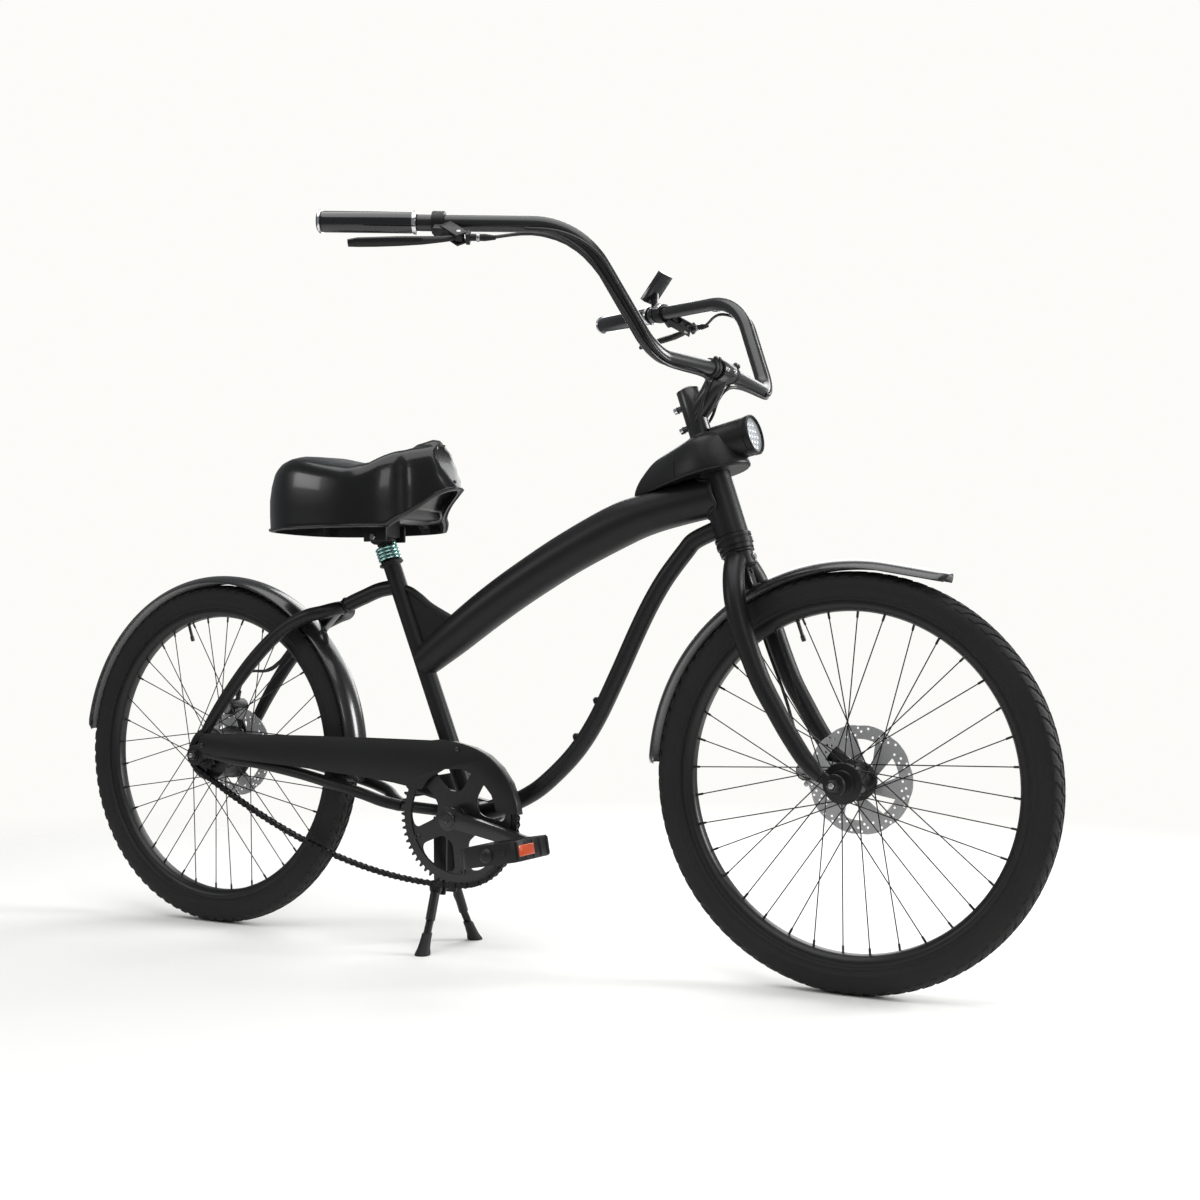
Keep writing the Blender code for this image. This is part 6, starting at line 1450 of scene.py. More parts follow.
@dataclass(frozen=True)
class Bar:
    """Swept handlebar with its stem, grips and rubber straps."""

    radius: float = 0.0127
    grip: float = 0.0165
    grip_neck: float = 0.0158
    grip_bore: float = 0.0131
    grip_long: float = 0.159
    rings: tuple[Pair, ...] = ((0.0018, 0.0046), (0.1516, 0.0072))
    ring_bore: float = 0.016
    straps_at: tuple[float, ...] = (0.0045, 0.015)
    strap: float = 0.0156
    cable: float = 0.0027
    cable_gap: float = 0.0154
    cable_from: float = 0.2
    stem_reach: float = 0.0172

    def build(self) -> None:
        """Makes the bar, the grips, the stem and the straps."""
        path = [*reversed(bar_path(-1)), *bar_path(1)]
        Solid().tube(path, self.radius, 32).piece("bar_tube", BAR_BLACK, "steering", "handlebar", sharp=50.0)
        for side, name in SIDES:
            self.hold(side, name)
            self.straps(side, name)
            self.second_cable(side, name)
        self.stem()
        self.stem_bolts()
        self.stem_ends()

    def hold(self, side: int, name: str) -> None:
        """Glossy grip between two bright rings."""
        end, ahead = bar_station(side, -0.002)
        radius, neck, bore, long = self.grip, self.grip_neck, self.grip_bore, self.grip_long
        profile = [
            (0, 0), (0.015, 0), (0.0168, 0.0016), (0.0168, 0.007), (neck, 0.0074), (radius, 0.01),
            (radius, 0.148), (neck, 0.15), (neck, long), (bore, long), (bore, 0.0055), (0, 0.0055),
        ]
        sleeve = Solid().lathe(profile, end, ahead, 48)
        sleeve.piece(f"grip_{name}_sleeve", GRIP_BLACK, "steering", "grip_" + name, sharp=35.0)
        bore = self.ring_bore
        for place, long in self.rings:
            profile = [
                (bore, 0), (0.0177, 0.0006), (0.018, 0.0014), (0.018, long - 0.0014), (0.0177, long - 0.0006),
                (bore, long),
            ]
            ring = Solid().lathe(profile, end + ahead * place, ahead, 48, closed=True)
            ring.piece(f"grip_ring_{name}_{round(place * 1000)}", CHROME, "steering", sharp=35.0)

    def straps(self, side: int, name: str) -> None:
        """Rubber straps round the bar beside the clamp, each with small steel bolts."""
        path = bar_path(side)
        part = Solid()
        bolts = Solid()
        bar, high = self.radius, self.strap
        profile = [
            (bar, -0.0042), (0.015, -0.0038), (high, -0.0026), (high, 0.0026), (0.015, 0.0038), (bar, 0.0042)
        ]
        for distance in self.straps_at:
            point, ahead = along_path(path, distance)
            part.lathe(profile, point, ahead, 32, closed=True)
            for down in (Vector((0.62, 0, 0.78)), Vector((-0.35, 0, -0.94))):
                down = (down - ahead * down.dot(ahead)).normalized()
                part.block(point + down * 0.0172, (0.0072, 0.0076, 0.006), turn_to(ahead, down), 0.0012)
                bolts.rod(point + down * 0.019, point + down * 0.0226, 0.0031, 14, 0.0006)
        part.piece("bar_straps_" + name, STRAP_BLACK, "steering")
        bolts.piece("strap_bolts_" + name, STEEL, "steering")

    def second_cable(self, side: int, name: str) -> None:
        """Cable beside the brake cable, which goes into the bar at both ends."""
        path = bar_path(side)
        total = length_of(path)
        line = []
        for number in range(37):
            point, ahead = along_path(path, total * (self.cable_from + 0.011 * number))
            down = Vector((0.78, side * 0.3, -0.55))
            gap = self.cable_gap if 0 < number < 36 else 0.0128
            line.append(point + (down - ahead * down.dot(ahead)).normalized() * gap)
        Solid().tube(line, self.cable, 12).piece("second_cable_" + name, CABLE_BLACK, "steering")

    def stem(self) -> None:
        """Stem, its faceplate and the rounded arm between them."""
        refined("stem", BAR_BLACK, "steering", 0.0016)
        refined("stem_faceplate", BAR_BLACK, "steering", 0.0012)
        places = ((0.656, 0.006), (0.668, 0.024), (0.684, 0.044), (0.698, 0.057))
        reach = smooth([steer(along, ahead) for along, ahead in places], 5)
        Solid().tube(reach, self.stem_reach, 36).piece("stem_reach", BAR_BLACK, "steering", sharp=50.0)

    def stem_bolts(self) -> None:
        """Four bolts in the faceplate and two pinch bolts at the rear."""
        facing = (BAR_CLAMP - steer(0.68, 0.036)).normalized()
        over = SIDE.cross(facing)
        bolts = Solid()
        for side in (-1, 1):
            for rise in (-1, 1):
                head = BAR_CLAMP + SIDE * (side * 0.014) + over * (rise * 0.0155) + facing * 0.006
                bolts.lathe(bolt_head(0.0036, 0.0044, 0.003, 0.0052, 0.0018, 0.0024), head, facing, 18)
        for height in (0.64, 0.676):
            profile = bolt_head(0.0064, 0.005, 0.0054, 0.0062, 0.0034, 0.002)
            bolts.lathe(profile, steer(height, -0.027), -STEER_AHEAD, 22)
        bolts.piece("stem_bolts", CHROME, "steering", sharp=30.0)

    def stem_ends(self) -> None:
        """Domed collar under the stem and the cap on top of it."""
        low, bore = 0.603, 0.015
        profile = [
            (bore, low), (0.0262, low), (0.0268, 0.605), (0.0262, 0.611), (0.024, 0.616), (0.0205, 0.6192),
            (0.0205, 0.6198), (bore, 0.6198),
        ]
        collar = Solid().lathe(profile, STEER_FOOT, STEER_UP, 48, closed=True)
        collar.piece("stem_collar", BAR_BLACK, "steering")
        profile = [(0, 0), (0.0195, 0), (0.0192, 0.002), (0.015, 0.0046), (0, 0.0056)]
        cap = Solid().lathe(profile, steer(0.6992), STEER_UP, 40)
        cap.piece("stem_cap", BAR_BLACK, "steering", sharp=30.0)


@dataclass(frozen=True)
class Controls:
    """Brake levers with their brackets and cables, and the display."""

    tilt: float = radians(38.0)
    hinge_at: float = 0.23
    hinge_out: float = 0.046
    hinge_half: float = 0.0102
    clamp_at: float = 0.19
    display_at: float = 0.1685
    screen: Triple = (0.05, 0.038, 0.0012)

    def build(self) -> None:
        """Makes both levers and the display."""
        for side, name in SIDES:
            refined("lever_bracket_" + name, MOULDED_BLACK, "steering", 0.0012)
            refined("brake_lever_" + name, MOULDED_BLACK, name + "_brake_lever", 0.0014)
            rounded("brake_cable_" + name, CABLE_BLACK, "steering")
            self.fittings(side, name)
        refined("display", DISPLAY_BLACK, "steering", 0.0022)
        place, _ = bar_station(1, self.display_at)
        lean = Vector((0.62, 0, 0.78)).normalized()
        over = Vector((-lean.z, 0, lean.x))
        screen = Solid().block(place + lean * 0.047 + over * 0.0355, self.screen, turn_to(lean, over), 0.0004)
        screen.piece("display_screen", SCREEN, "steering")

    def fittings(self, side: int, name: str) -> None:
        """Hinge screw, clamp plate and the tapered boot of one lever's cable."""
        _, ahead = bar_station(side, 0.0)
        out = Vector((0, side * cos(self.tilt), -sin(self.tilt)))
        out = (out - ahead * out.dot(ahead)).normalized()
        hinge = ahead.cross(out)
        half = self.hinge_half
        pin = bar_station(side, self.hinge_at)[0] + out * self.hinge_out
        barrel = pin + ahead * 0.0125 + out * 0.001
        metal = Solid().rod(pin - hinge * half, pin + hinge * half, 0.0042, 20, 0.0008)
        profile = [
            (0.004, 0.015), (0.0062, 0.015), (0.0066, 0.016), (0.0066, 0.019), (0.0062, 0.02), (0.004, 0.02)
        ]
        metal.lathe(profile, barrel, ahead, 24, closed=True)
        metal.piece("lever_metal_" + name, STEEL, "steering")
        place, _ = bar_station(side, self.clamp_at)
        plate = Solid().block(place - out * 0.019, (0.017, 0.013, 0.005), turn_to(ahead, out), 0.0012)
        for shift in (-0.0035, 0.0035):
            foot = place + hinge * shift
            plate.rod(foot - out * 0.0212, foot - out * 0.0232, 0.0022, 12, 0.0005)
        plate.piece("lever_clamp_plate_" + name, STEEL, "steering")
        profile = [
            (0.0029, 0.0262), (0.0056, 0.0264), (0.0052, 0.03), (0.0038, 0.04), (0.0032, 0.044),
            (0.0029, 0.044),
        ]
        boot = Solid().lathe(profile, barrel, ahead, 24, closed=True)
        boot.piece("cable_boot_" + name, STRAP_BLACK, "steering")


@dataclass(frozen=True)
class Lamp:
    """Drop-shaped lamp housing with a barrel, and a lens with rows of bright cells."""

    tilt: float = radians(12.4)
    tail: float = 0.8
    levels: tuple[tuple[float, float, float, float], ...] = (
        (-0.007, -0.148, 0.062, 0.056), (-0.003, -0.1505, 0.0662, 0.0577), (0.008, -0.145, 0.064, 0.0568),
        (0.022, -0.132, 0.06, 0.0542), (0.042, -0.104, 0.054, 0.048), (0.051, -0.076, 0.049, 0.042),
        (0.0578, -0.048, 0.041, 0.032),
    )
    barrel_back: float = -0.07
    barrel_bore: float = 0.02
    lens: float = 0.0294
    cell_across: float = 0.0104
    cell_up: float = 0.0092
    cells_within: float = 0.0245
    collar_bore: float = 0.019

    def build(self) -> None:
        """Makes the housing, the barrel with its rim, the lens and the collar on the head tube."""
        ahead = Vector((cos(self.tilt), 0, sin(self.tilt)))
        up = Vector((-ahead.z, 0, ahead.x))
        self.housing(ahead, up)
        self.barrel(steer(0.5945) + ahead * 0.093, ahead, up)
        bore, low, high = self.collar_bore, 0.59, 0.6168
        profile = [(bore, low), (0.0265, low), (0.0265, 0.615), (0.0255, high), (bore, high)]
        collar = Solid().lathe(profile, STEER_FOOT, STEER_UP, 48, closed=True)
        collar.piece("lamp_collar", POWDER_BLACK, "frame", sharp=30.0)

    def housing(self, ahead: Vector, up: Vector) -> None:
        """Housing over its levels of (height, reach of the tail, reach of the nose, half a width)."""
        origin = steer(0.556)
        fine = smooth([level[:3] for level in self.levels], 4)
        wide = eased([level[3] for level in self.levels], 4)
        rings = []
        for level, half in zip(fine, wide):
            ring = []
            for step in range(72):
                angle = TURN * step / 72
                x, y = cos(angle), sin(angle)
                if x > 0:
                    place = (x * level.z, y * half)
                else:
                    place = (-level.y * x, y * half * (1 - self.tail * abs(x) ** 1.6))
                ring.append(origin + ahead * place[0] + SIDE * place[1] + up * level.x)
            rings.append(ring)
        Solid().loft(rings).piece("lamp_housing", POWDER_BLACK, "frame", "headlight_shroud", sharp=35.0)
        seam = []
        for step in range(49):
            angle = pi * (step / 48) - pi / 2
            rise = 0.053 * max(0.0, cos(angle)) - 0.002
            seam.append(origin - ahead * 0.0485 + SIDE * (0.0488 * sin(angle)) + up * rise)
        Solid().tube(seam, 0.0007, 6).piece("lamp_seam", STRAP_BLACK, "frame")

    def barrel(self, lens: Vector, ahead: Vector, up: Vector) -> None:
        """Barrel with its stepped rim, the lens and the cells behind it."""
        back, bore = self.barrel_back, self.barrel_bore
        profile = [
            (0.03, back), (0.0326, back), (0.033, -0.012), (0.0322, -0.0112), (0.0322, -0.01),
            (0.0338, -0.009), (0.034, -0.002), (0.0326, 0.0), (0.0306, 0.0), (0.0298, -0.003),
            (0.0298, -0.011), (bore, -0.011), (bore, back),
        ]
        barrel = Solid().lathe(profile, lens, ahead, 64, closed=True)
        barrel.piece("lamp_barrel", POWDER_BLACK, "frame", sharp=30.0)
        edge = self.lens
        profile = [
            (0, -0.006), (edge, -0.006), (edge, -0.004), (0.027, -0.0026), (0.02, -0.0014), (0, -0.0006)
        ]
        Solid().lathe(profile, lens, ahead, 56).piece("lamp_lens", LENS, "frame", "headlight_lens")
        profile = [(0, -0.0104), (edge, -0.0104), (edge, -0.0092), (0, -0.0092)]
        Solid().lathe(profile, lens, ahead, 48).piece("lamp_plate", BAR_BLACK, "frame")
        self.cells(lens, ahead, up)

    def cells(self, lens: Vector, ahead: Vector, up: Vector) -> None:
        """Bright cups of the lamp, in rows that are half a cell apart."""
        profile = [
            (0, 0), (0.003, 0.0002), (0.0046, 0.0026), (0.005, 0.0026), (0.005, -0.0004), (0, -0.0004),
        ]
        cup = Solid().lathe(profile, Vector((0, 0, 0)), (0, 0, 1), 14)
        places = []
        for row in range(-2, 3):
            for column in range(-2, 3):
                x, y = column * self.cell_across + (0.0052 if row % 2 else 0.0), row * self.cell_up
                if hypot(x, y) < self.cells_within:
                    places.append(lens - ahead * 0.009 + SIDE * x + up * y)
        fit(set_on("lamp_cells", cup, places, [up] * len(places), [ahead] * len(places), CHROME), "frame")


# Saddle


@dataclass(frozen=True)
class Saddle:
    """Moulded two-part saddle on its post, with the spring round the post."""

    foot: Vector = SEAT_TOP + Vector((-0.2374, 0.0, 0.0596))
    length: float = 0.391
    half: float = 0.135
    height: float = 0.157
    waist: float = 0.31
    rim_rise: float = 0.07
    edge: float = 0.0022
    plan: tuple[Pair, ...] = (
        (0, 0), (0.0205, 0.444), (0.084, 0.741), (0.2, 0.941), (0.353, 1.0), (0.558, 0.978), (0.685, 0.852),
        (0.775, 0.63), (0.813, 0.444), (0.864, 0.333), (0.928, 0.244), (0.98, 0.133), (1, 0),
    )
    crest: tuple[Pair, ...] = (
        (0, 0.5), (0.04, 0.61), (0.077, 0.7), (0.148, 0.815), (0.238, 0.854), (0.327, 0.828),
        (0.4425, 0.764), (0.57, 0.713), (0.66, 0.752), (0.7315, 0.873), (0.788, 0.949), (0.872, 0.994),
        (1, 0.994),
    )
    post: float = 0.0127
    post_low: float = -0.22
    post_high: float = 0.058
    ribs: int = 5

    def build(self) -> None:
        """Makes the cushion, its rim and tray, the clamp, the post and the spring."""
        self.cushion()
        refined("saddle_base", MOULDED_BLACK, "saddle", 0.0012)
        profile = [
            (0, self.post_low), (self.post, self.post_low), (self.post, self.post_high), (0, self.post_high)
        ]
        post = Solid().lathe(profile, SEAT_TOP, SEAT_UP, 40)
        post.piece("post_tube", BAR_BLACK, "saddle", "seat_post", sharp=30.0)
        ribs = Solid()
        for number in range(self.ribs):
            profile = [(0.012, 0), (0.015, 0.0008), (0.015, 0.0024), (0.012, 0.0032)]
            place = SEAT_TOP + SEAT_UP * (0.037 + 0.0042 * number)
            ribs.lathe(profile, place, SEAT_UP, 32, closed=True)
        ribs.piece("post_ribs", STRAP_BLACK, "saddle")
        top = SEAT_TOP + SEAT_UP * 0.052
        wings = Solid()
        bolts = Solid()
        for side in (-1, 1):
            wings.block(top + Vector((0.004, side * 0.029, 0.006)), (0.052, 0.005, 0.03), None, 0.0018)
            bolts.rod(top + SIDE * (side * 0.024), top + SIDE * (side * 0.0345), 0.0066, 6, 0.001)
        wings.piece("clamp_wings", MOULDED_BLACK, "saddle")
        bolts.piece("clamp_bolts", STEEL, "saddle")
        rounded("spring_collar", TEAL_CHROME, "frame", 0.0011)

    def outline(self, inset: float, lean: float) -> list[Pair]:
        """Half of the plan as (x, y) points from the rear edge to the tip."""
        points = []
        for place in smooth([(x, y, 0) for x, y in self.plan], 5):
            share, wide = min(1.0, max(0.0, place.x)), max(0.0, place.y) * self.half
            x = inset + (self.length - 2 * inset) * share - 0.35 * lean * max(0.0, (share - 0.62) / 0.38) ** 2
            points.append((min(x, self.length - lean), max(wide * 0.5, wide - inset)))
        points[0] = (points[0][0], 0.0)
        points[-1] = (points[-1][0], 0.0)
        return points

    def top(self, x: float) -> float:
        """Height of the crest over the foot."""
        along = min(max(x / self.length, 0.0), 1.0)
        for (x0, z0), (x1, z1) in zip(self.crest, self.crest[1:]):
            if x0 <= along <= x1:
                return self.height * (z0 + (z1 - z0) * (along - x0) / (x1 - x0))
        return self.height * self.crest[-1][1]

    def rim(self, x: float) -> float:
        """Height of the rim over the foot."""
        start = self.waist - 0.015
        share = min(1.0, max(0.0, (x - start) / (self.length - start)))
        return self.rim_rise * (1 - (1 - share) ** 1.5)

    def ring(self, inset: float, lean: float, share: float, drop: float, shrink: float) -> list[Vector]:
        """Closed ring round the cushion.

        Args:
            inset: Distance inwards from the plan.
            lean: How far the nose is drawn back.
            share: Height from the rim (0) to the crest (1).
            drop: Distance under that height.
            shrink: How far the ring is drawn in towards the middle line.

        Returns:
            Points from the rear edge along +Y to the tip and back.
        """
        half = []
        for x, y in self.outline(inset, lean):
            x += (self.length * 0.406 - x) * shrink * (0.5 if x < self.waist else 0.12)
            height = self.rim(x) * (1 - share) + self.top(x) * share - drop
            half.append(Vector((x, y * (1 - shrink), height + 0.006 * shrink)))
        return [self.foot + p for p in [*half, *mirrored(list(reversed(half[1:-1])))]]

    def cushion(self) -> None:
        """Glossy cushion with a thin rim under it."""
        stations = [
            (0.006, 0.003, 0.0, -0.02, 0.0), (0.005, 0.001, 0.0, 0.0, 0.0), (0.001, 0.0, 0.0, -0.0005, 0.0),
            (-0.0012, 0.0, 0.0, -0.003, 0.0), (-0.001, 0.003, 0.08, 0.0, 0.0),
            (-0.0018, 0.014, 0.28, 0.0, 0.0), (-0.002, 0.027, 0.55, 0.0, 0.0),
            (0.0002, 0.036, 0.8, 0.006, 0.0), (0.003, 0.04, 0.92, 0.006, 0.0),
            (0.011, 0.041, 1.0, 0.005, 0.0), (0.019, 0.036, 1.0, 0.001, 0.0),
            (0.028, 0.03, 1.0, -0.003, 0.05), (0.028, 0.03, 1.0, -0.0055, 0.22),
            *((0.028, 0.03, 1.0, -0.006, s) for s in (0.42, 0.64, 0.84, 0.97)),
        ]
        part = Solid().loft([self.ring(*station) for station in stations])
        for face in [f for f in part.mesh.faces if len(f.verts) > 4]:
            bmesh.ops.triangulate(part.mesh, faces=[face])
        thing = part.object("saddle_cushion", SADDLE_BLACK, 75.0)
        thing.modifiers.new("soften", "CORRECTIVE_SMOOTH").iterations = 3
        applied(thing)
        fit(thing, "saddle", "saddle_cover")
        edge = [self.foot + Vector((x, y, self.rim(x) + 0.003)) for x, y in self.outline(-0.002, 0.0)]
        path = edge + mirrored(list(reversed(edge[1:-1])))
        rim = Solid().tube(path, self.edge, 10, up=(0, 0, 1), closed=True)
        rim.piece("saddle_rim", SADDLE_BLACK, "saddle")


# Drive


def wheel_point(centre: Vector, radius: float, angle: float) -> Vector:
    """Point on a wheel in the plane of the bicycle."""
    return centre + Vector((cos(angle), 0, sin(angle))) * radius


@dataclass(frozen=True)
class Drive:
    """Chainring with five arms, cranks, chain links and sprocket."""

    pitch: float = 0.0127
    teeth: int = 60
    sprocket_teeth: int = 16
    ring: float = pitch / (2 * sin(pi / teeth))
    small: float = pitch / (2 * sin(pi / sprocket_teeth))
    line: float = -0.048
    arms: int = 5
    plate_half: float = 0.0013
    bore: float = 0.0165
    cap_side: float = 0.0798
    slack_front: float = radians(-87.5)
    slack_rear: float = radians(-119.5)

    def build(self) -> None:
        """Makes every piece of the drive."""
        self.chainring()
        self.chainring_details()
        for _, name in SIDES:
            refined("crank_" + name, CRANK_BLACK, "crankset", 0.0028)
        profile = [
            (0, 0), (0.0128, 0), (0.0128, 0.003), (0.0116, 0.0042), (0.007, 0.0048), (0.006, 0.004),
            (0, 0.004),
        ]
        for side, name in SIDES:
            cap = Solid().lathe(profile, CRANK_AXIS + SIDE * (side * self.cap_side), SIDE * side, 40)
            cap.piece("crank_cap_" + name, CRANK_BLACK, "crankset", sharp=30.0)
        refined("rear_sprocket", CHAIN_BLACK, "sprocket", 0.0005)
        self.chain()

    def chainring(self) -> None:
        """Toothed plate with a bore and a rounded window between each two arms."""
        outline = []
        for tooth in range(self.teeth):
            for share, radius in ((-0.3, -0.004), (-0.12, 0.003), (0.12, 0.003), (0.3, -0.004)):
                point = wheel_point(CRANK_AXIS, self.ring + radius, TURN * (tooth + share) / self.teeth)
                outline.append((point.x, point.z))
        holes = [[wheel_point(CRANK_AXIS, self.bore, TURN * k / 36) for k in range(36)]]
        for number in range(self.arms):
            middle = CRANK_ANGLE + TURN * (number + 0.5) / self.arms
            hole = []
            for k in range(36):
                across, out = cos(TURN * k / 36), sin(TURN * k / 36)
                across, out = copysign(abs(across) ** 0.55, across), copysign(abs(out) ** 0.55, out)
                angle = middle + (0.41 + 0.09 * out) * across
                hole.append(wheel_point(CRANK_AXIS, self.ring - 0.0475 + 0.0275 * out, angle))
            holes.append(hole)
        windows = [[(p.x, p.z) for p in hole] for hole in holes]
        part = Solid().plate(outline, self.line - self.plate_half, self.line + self.plate_half, windows)
        part.piece("chainring_plate", CRANK_BLACK, "crankset", "chainring", sharp=30.0)

    def chainring_details(self) -> None:
        """Raised edge inside the teeth, and a bolt on each arm."""
        inner, outer = self.ring - 0.02, self.ring - 0.0085
        edge = [(inner, -0.0026), (outer, -0.0026), (outer, 0), (inner, 0)]
        ring = Solid().lathe(edge, CRANK_AXIS + SIDE * (self.line - 0.0008), SIDE, 96, closed=True)
        ring.piece("chainring_rim", CRANK_BLACK, "crankset", sharp=30.0)
        bolts = Solid()
        for number in range(self.arms):
            place = wheel_point(CRANK_AXIS, self.ring - 0.025, CRANK_ANGLE + TURN * number / self.arms)
            profile = bolt_head(0.006, 0.0016, 0.005, 0.0026, 0.0028, 0.0008)
            bolts.lathe(profile, place + SIDE * (self.line - 0.001), -SIDE, 18)
        bolts.piece("chainring_bolts", CRANK_BLACK, "crankset", sharp=30.0)

    def route(self) -> list[Vector]:
        """Pitch line of the chain, closed, with a slack lower run."""
        span = CRANK_AXIS - REAR_AXLE
        upper = atan2(span.z, span.x) + asin((self.ring - self.small) / span.length) + pi / 2
        front, back = self.slack_front, self.slack_rear
        line = [wheel_point(CRANK_AXIS, self.ring, front + (upper - front) * k / 40) for k in range(41)]
        line += [
            wheel_point(REAR_AXLE, self.small, upper + (back + TURN - upper) * k / 16) for k in range(17)
        ]
        low, high = line[-1], line[0]
        heading = Vector((-sin(back), 0, cos(back)))
        leaving = Vector((-sin(front), 0, cos(front)))
        chord = high - low
        cross = heading.x * leaving.z - heading.z * leaving.x
        sag = low + heading * ((chord.x * leaving.z - chord.z * leaving.x) / cross)
        for step in range(1, 30):
            t = step / 30
            line.append(low * (1 - t) ** 2 + sag * (2 * t * (1 - t)) + high * t**2)
        return line

    def chain(self) -> None:
        """Inner and outer links in turn, with a pin and a roller at each joint."""
        line = self.route()
        loop = [*line, line[0]]
        count = 2 * round(length_of(loop) / (2 * self.pitch))
        pitch = length_of(loop) / count
        pins = [along_path(loop, pitch * k)[0] + SIDE * self.line for k in range(count)]
        ends = [*pins[1:], pins[0]]
        shape = [
            (-0.0106, 0), (-0.0095, 0.0039), (-0.0064, 0.0051), (0, 0.0034), (0.0064, 0.0051),
            (0.0095, 0.0039),
        ]
        shape += [(-x, -z) for x, z in shape]
        for name, first, half, nodes in (
            ("chain_outer_links", 0, 0.005, ("chain",)),
            ("chain_inner_links", 1, 0.0036, ()),
        ):
            pairs = list(zip(pins, ends))[first::2]
            places = [(start + end) / 2 for start, end in pairs]
            headings = [(end - start).normalized() for start, end in pairs]
            above = [SIDE.cross(heading) * -1 for heading in headings]
            link = Solid()
            for side in (-1, 1):
                link.plate(shape, side * half - 0.0005, side * half + 0.0005)
            fit(set_on(name, link, places, headings, above, CHAIN_BLACK), "frame", *nodes)
        pin = Solid().rod(SIDE * -0.0056, SIDE * 0.0056, 0.0017, 6)
        pin.rod(SIDE * -0.0031, SIDE * 0.0031, 0.0043, 8)
        ahead, above = [Vector((1, 0, 0))] * count, [Vector((0, 0, 1))] * count
        fit(set_on("chain_pins", pin, pins, ahead, above, CHAIN_BLACK), "frame")


@dataclass(frozen=True)
class Pedals:
    """Two-bar pedals with rounded corners, ribs, a domed end cap and reflectors."""

    crank: float = 0.175
    inner: float = 0.104
    long: float = 0.115
    tilt: float = radians(-10.0)
    bar_at: float = 0.0545
    reflector: Triple = (0.004, 0.046, 0.018)

    def build(self) -> None:
        """Makes both pedals."""
        for side, name in SIDES:
            refined("pedal_" + name, PEDAL_BLACK, name + "_pedal", 0.003)
            angle = CRANK_ANGLE if side < 0 else CRANK_ANGLE + pi
            self.details(wheel_point(CRANK_AXIS, self.crank, angle), side, name)

    def details(self, axis: Vector, side: int, name: str) -> None:
        """Cap, ribs and reflectors of one pedal."""
        body = name + "_pedal"
        tilt = Matrix.Rotation(self.tilt, 3, "Y")
        middle = axis + SIDE * (side * (self.inner + self.long / 2))
        outer = axis + SIDE * (side * (self.inner + self.long))
        profile = [(0, 0.008), (0.007, 0.0072), (0.011, 0.0044), (0.0126, 0.0), (0, 0.0)]
        cap = Solid().lathe(profile, outer + SIDE * (side * 0.001), SIDE * side, 32)
        stud = outer + SIDE * (side * 0.0004) + tilt @ Vector((0.033, 0, 0))
        cap.block(stud, (0.01, 0.0022, 0.01), tilt, 0.0008)
        cap.piece("pedal_cap_" + name, PEDAL_BLACK, body, sharp=35.0)
        ribs = Solid()
        lights = Solid()
        for along in (-1, 1):
            for share in (-0.4, -0.2, 0.0, 0.2, 0.4):
                spot = middle + tilt @ Vector((along * self.bar_at, share * self.long, 0))
                ribs.block(spot, (0.0032, 0.006, 0.03), tilt, 0.001)
            ribs.block(middle + tilt @ Vector((along * 0.027, 0, 0.0)), (0.046, 0.004, 0.012), tilt, 0.001)
            spot = middle + tilt @ Vector((along * 0.0556, side * 0.023, 0))
            lights.block(spot, self.reflector, tilt, 0.0012)
        ribs.piece("pedal_ribs_" + name, PEDAL_BLACK, body, sharp=35.0)
        lights.piece("pedal_reflectors_" + name, REFLECTOR, body, sharp=35.0)


@dataclass(frozen=True)
class Guard:
    """Chain guard with a rolled upper edge and its screws."""

    over_ring: float = 0.0125
    edge: float = 0.0019
    splay_from: float = 0.42
    splay: float = 0.06

    def build(self) -> None:
        """Makes the guard."""
        refined("chain_guard", POWDER_BLACK, "frame", 0.0007)
        top = CRANK_AXIS.z + Drive.ring + self.over_ring
        places = [
            (0.03, top - 0.002), (0.05, top - 0.0012), (0.32, top + 0.0008), (0.56, top),
            (0.597, top - 0.0004),
        ]
        for degrees in (75, 60, 45, 30, 15, 5):
            point = wheel_point(CRANK_AXIS, Drive.ring + 0.008, radians(degrees))
            places.append((point.x, point.z))
        path = smooth([(x, self.face(x, -0.0578), z) for x, z in places])
        Solid().tube(path, self.edge, 12, up=(0, 1, 0)).piece("guard_edge", POWDER_BLACK, "frame")
        screws = Solid()
        for x, z in ((0.0275, 0.3535), (0.436, top - 0.01), (0.61, top - 0.012)):
            profile = [(0, 0), (0.0048, 0), (0.0044, 0.0012), (0.0026, 0.002), (0, 0.0022)]
            screws.lathe(profile, Vector((x, self.face(x, -0.0594), z)), -SIDE, 20)
        screws.piece("guard_screws", CRANK_BLACK, "frame", sharp=30.0)

    def face(self, x: float, side: float) -> float:
        """Side of the guard's face, which runs outwards towards the rear."""
        return side - max(0.0, self.splay_from - x) * self.splay


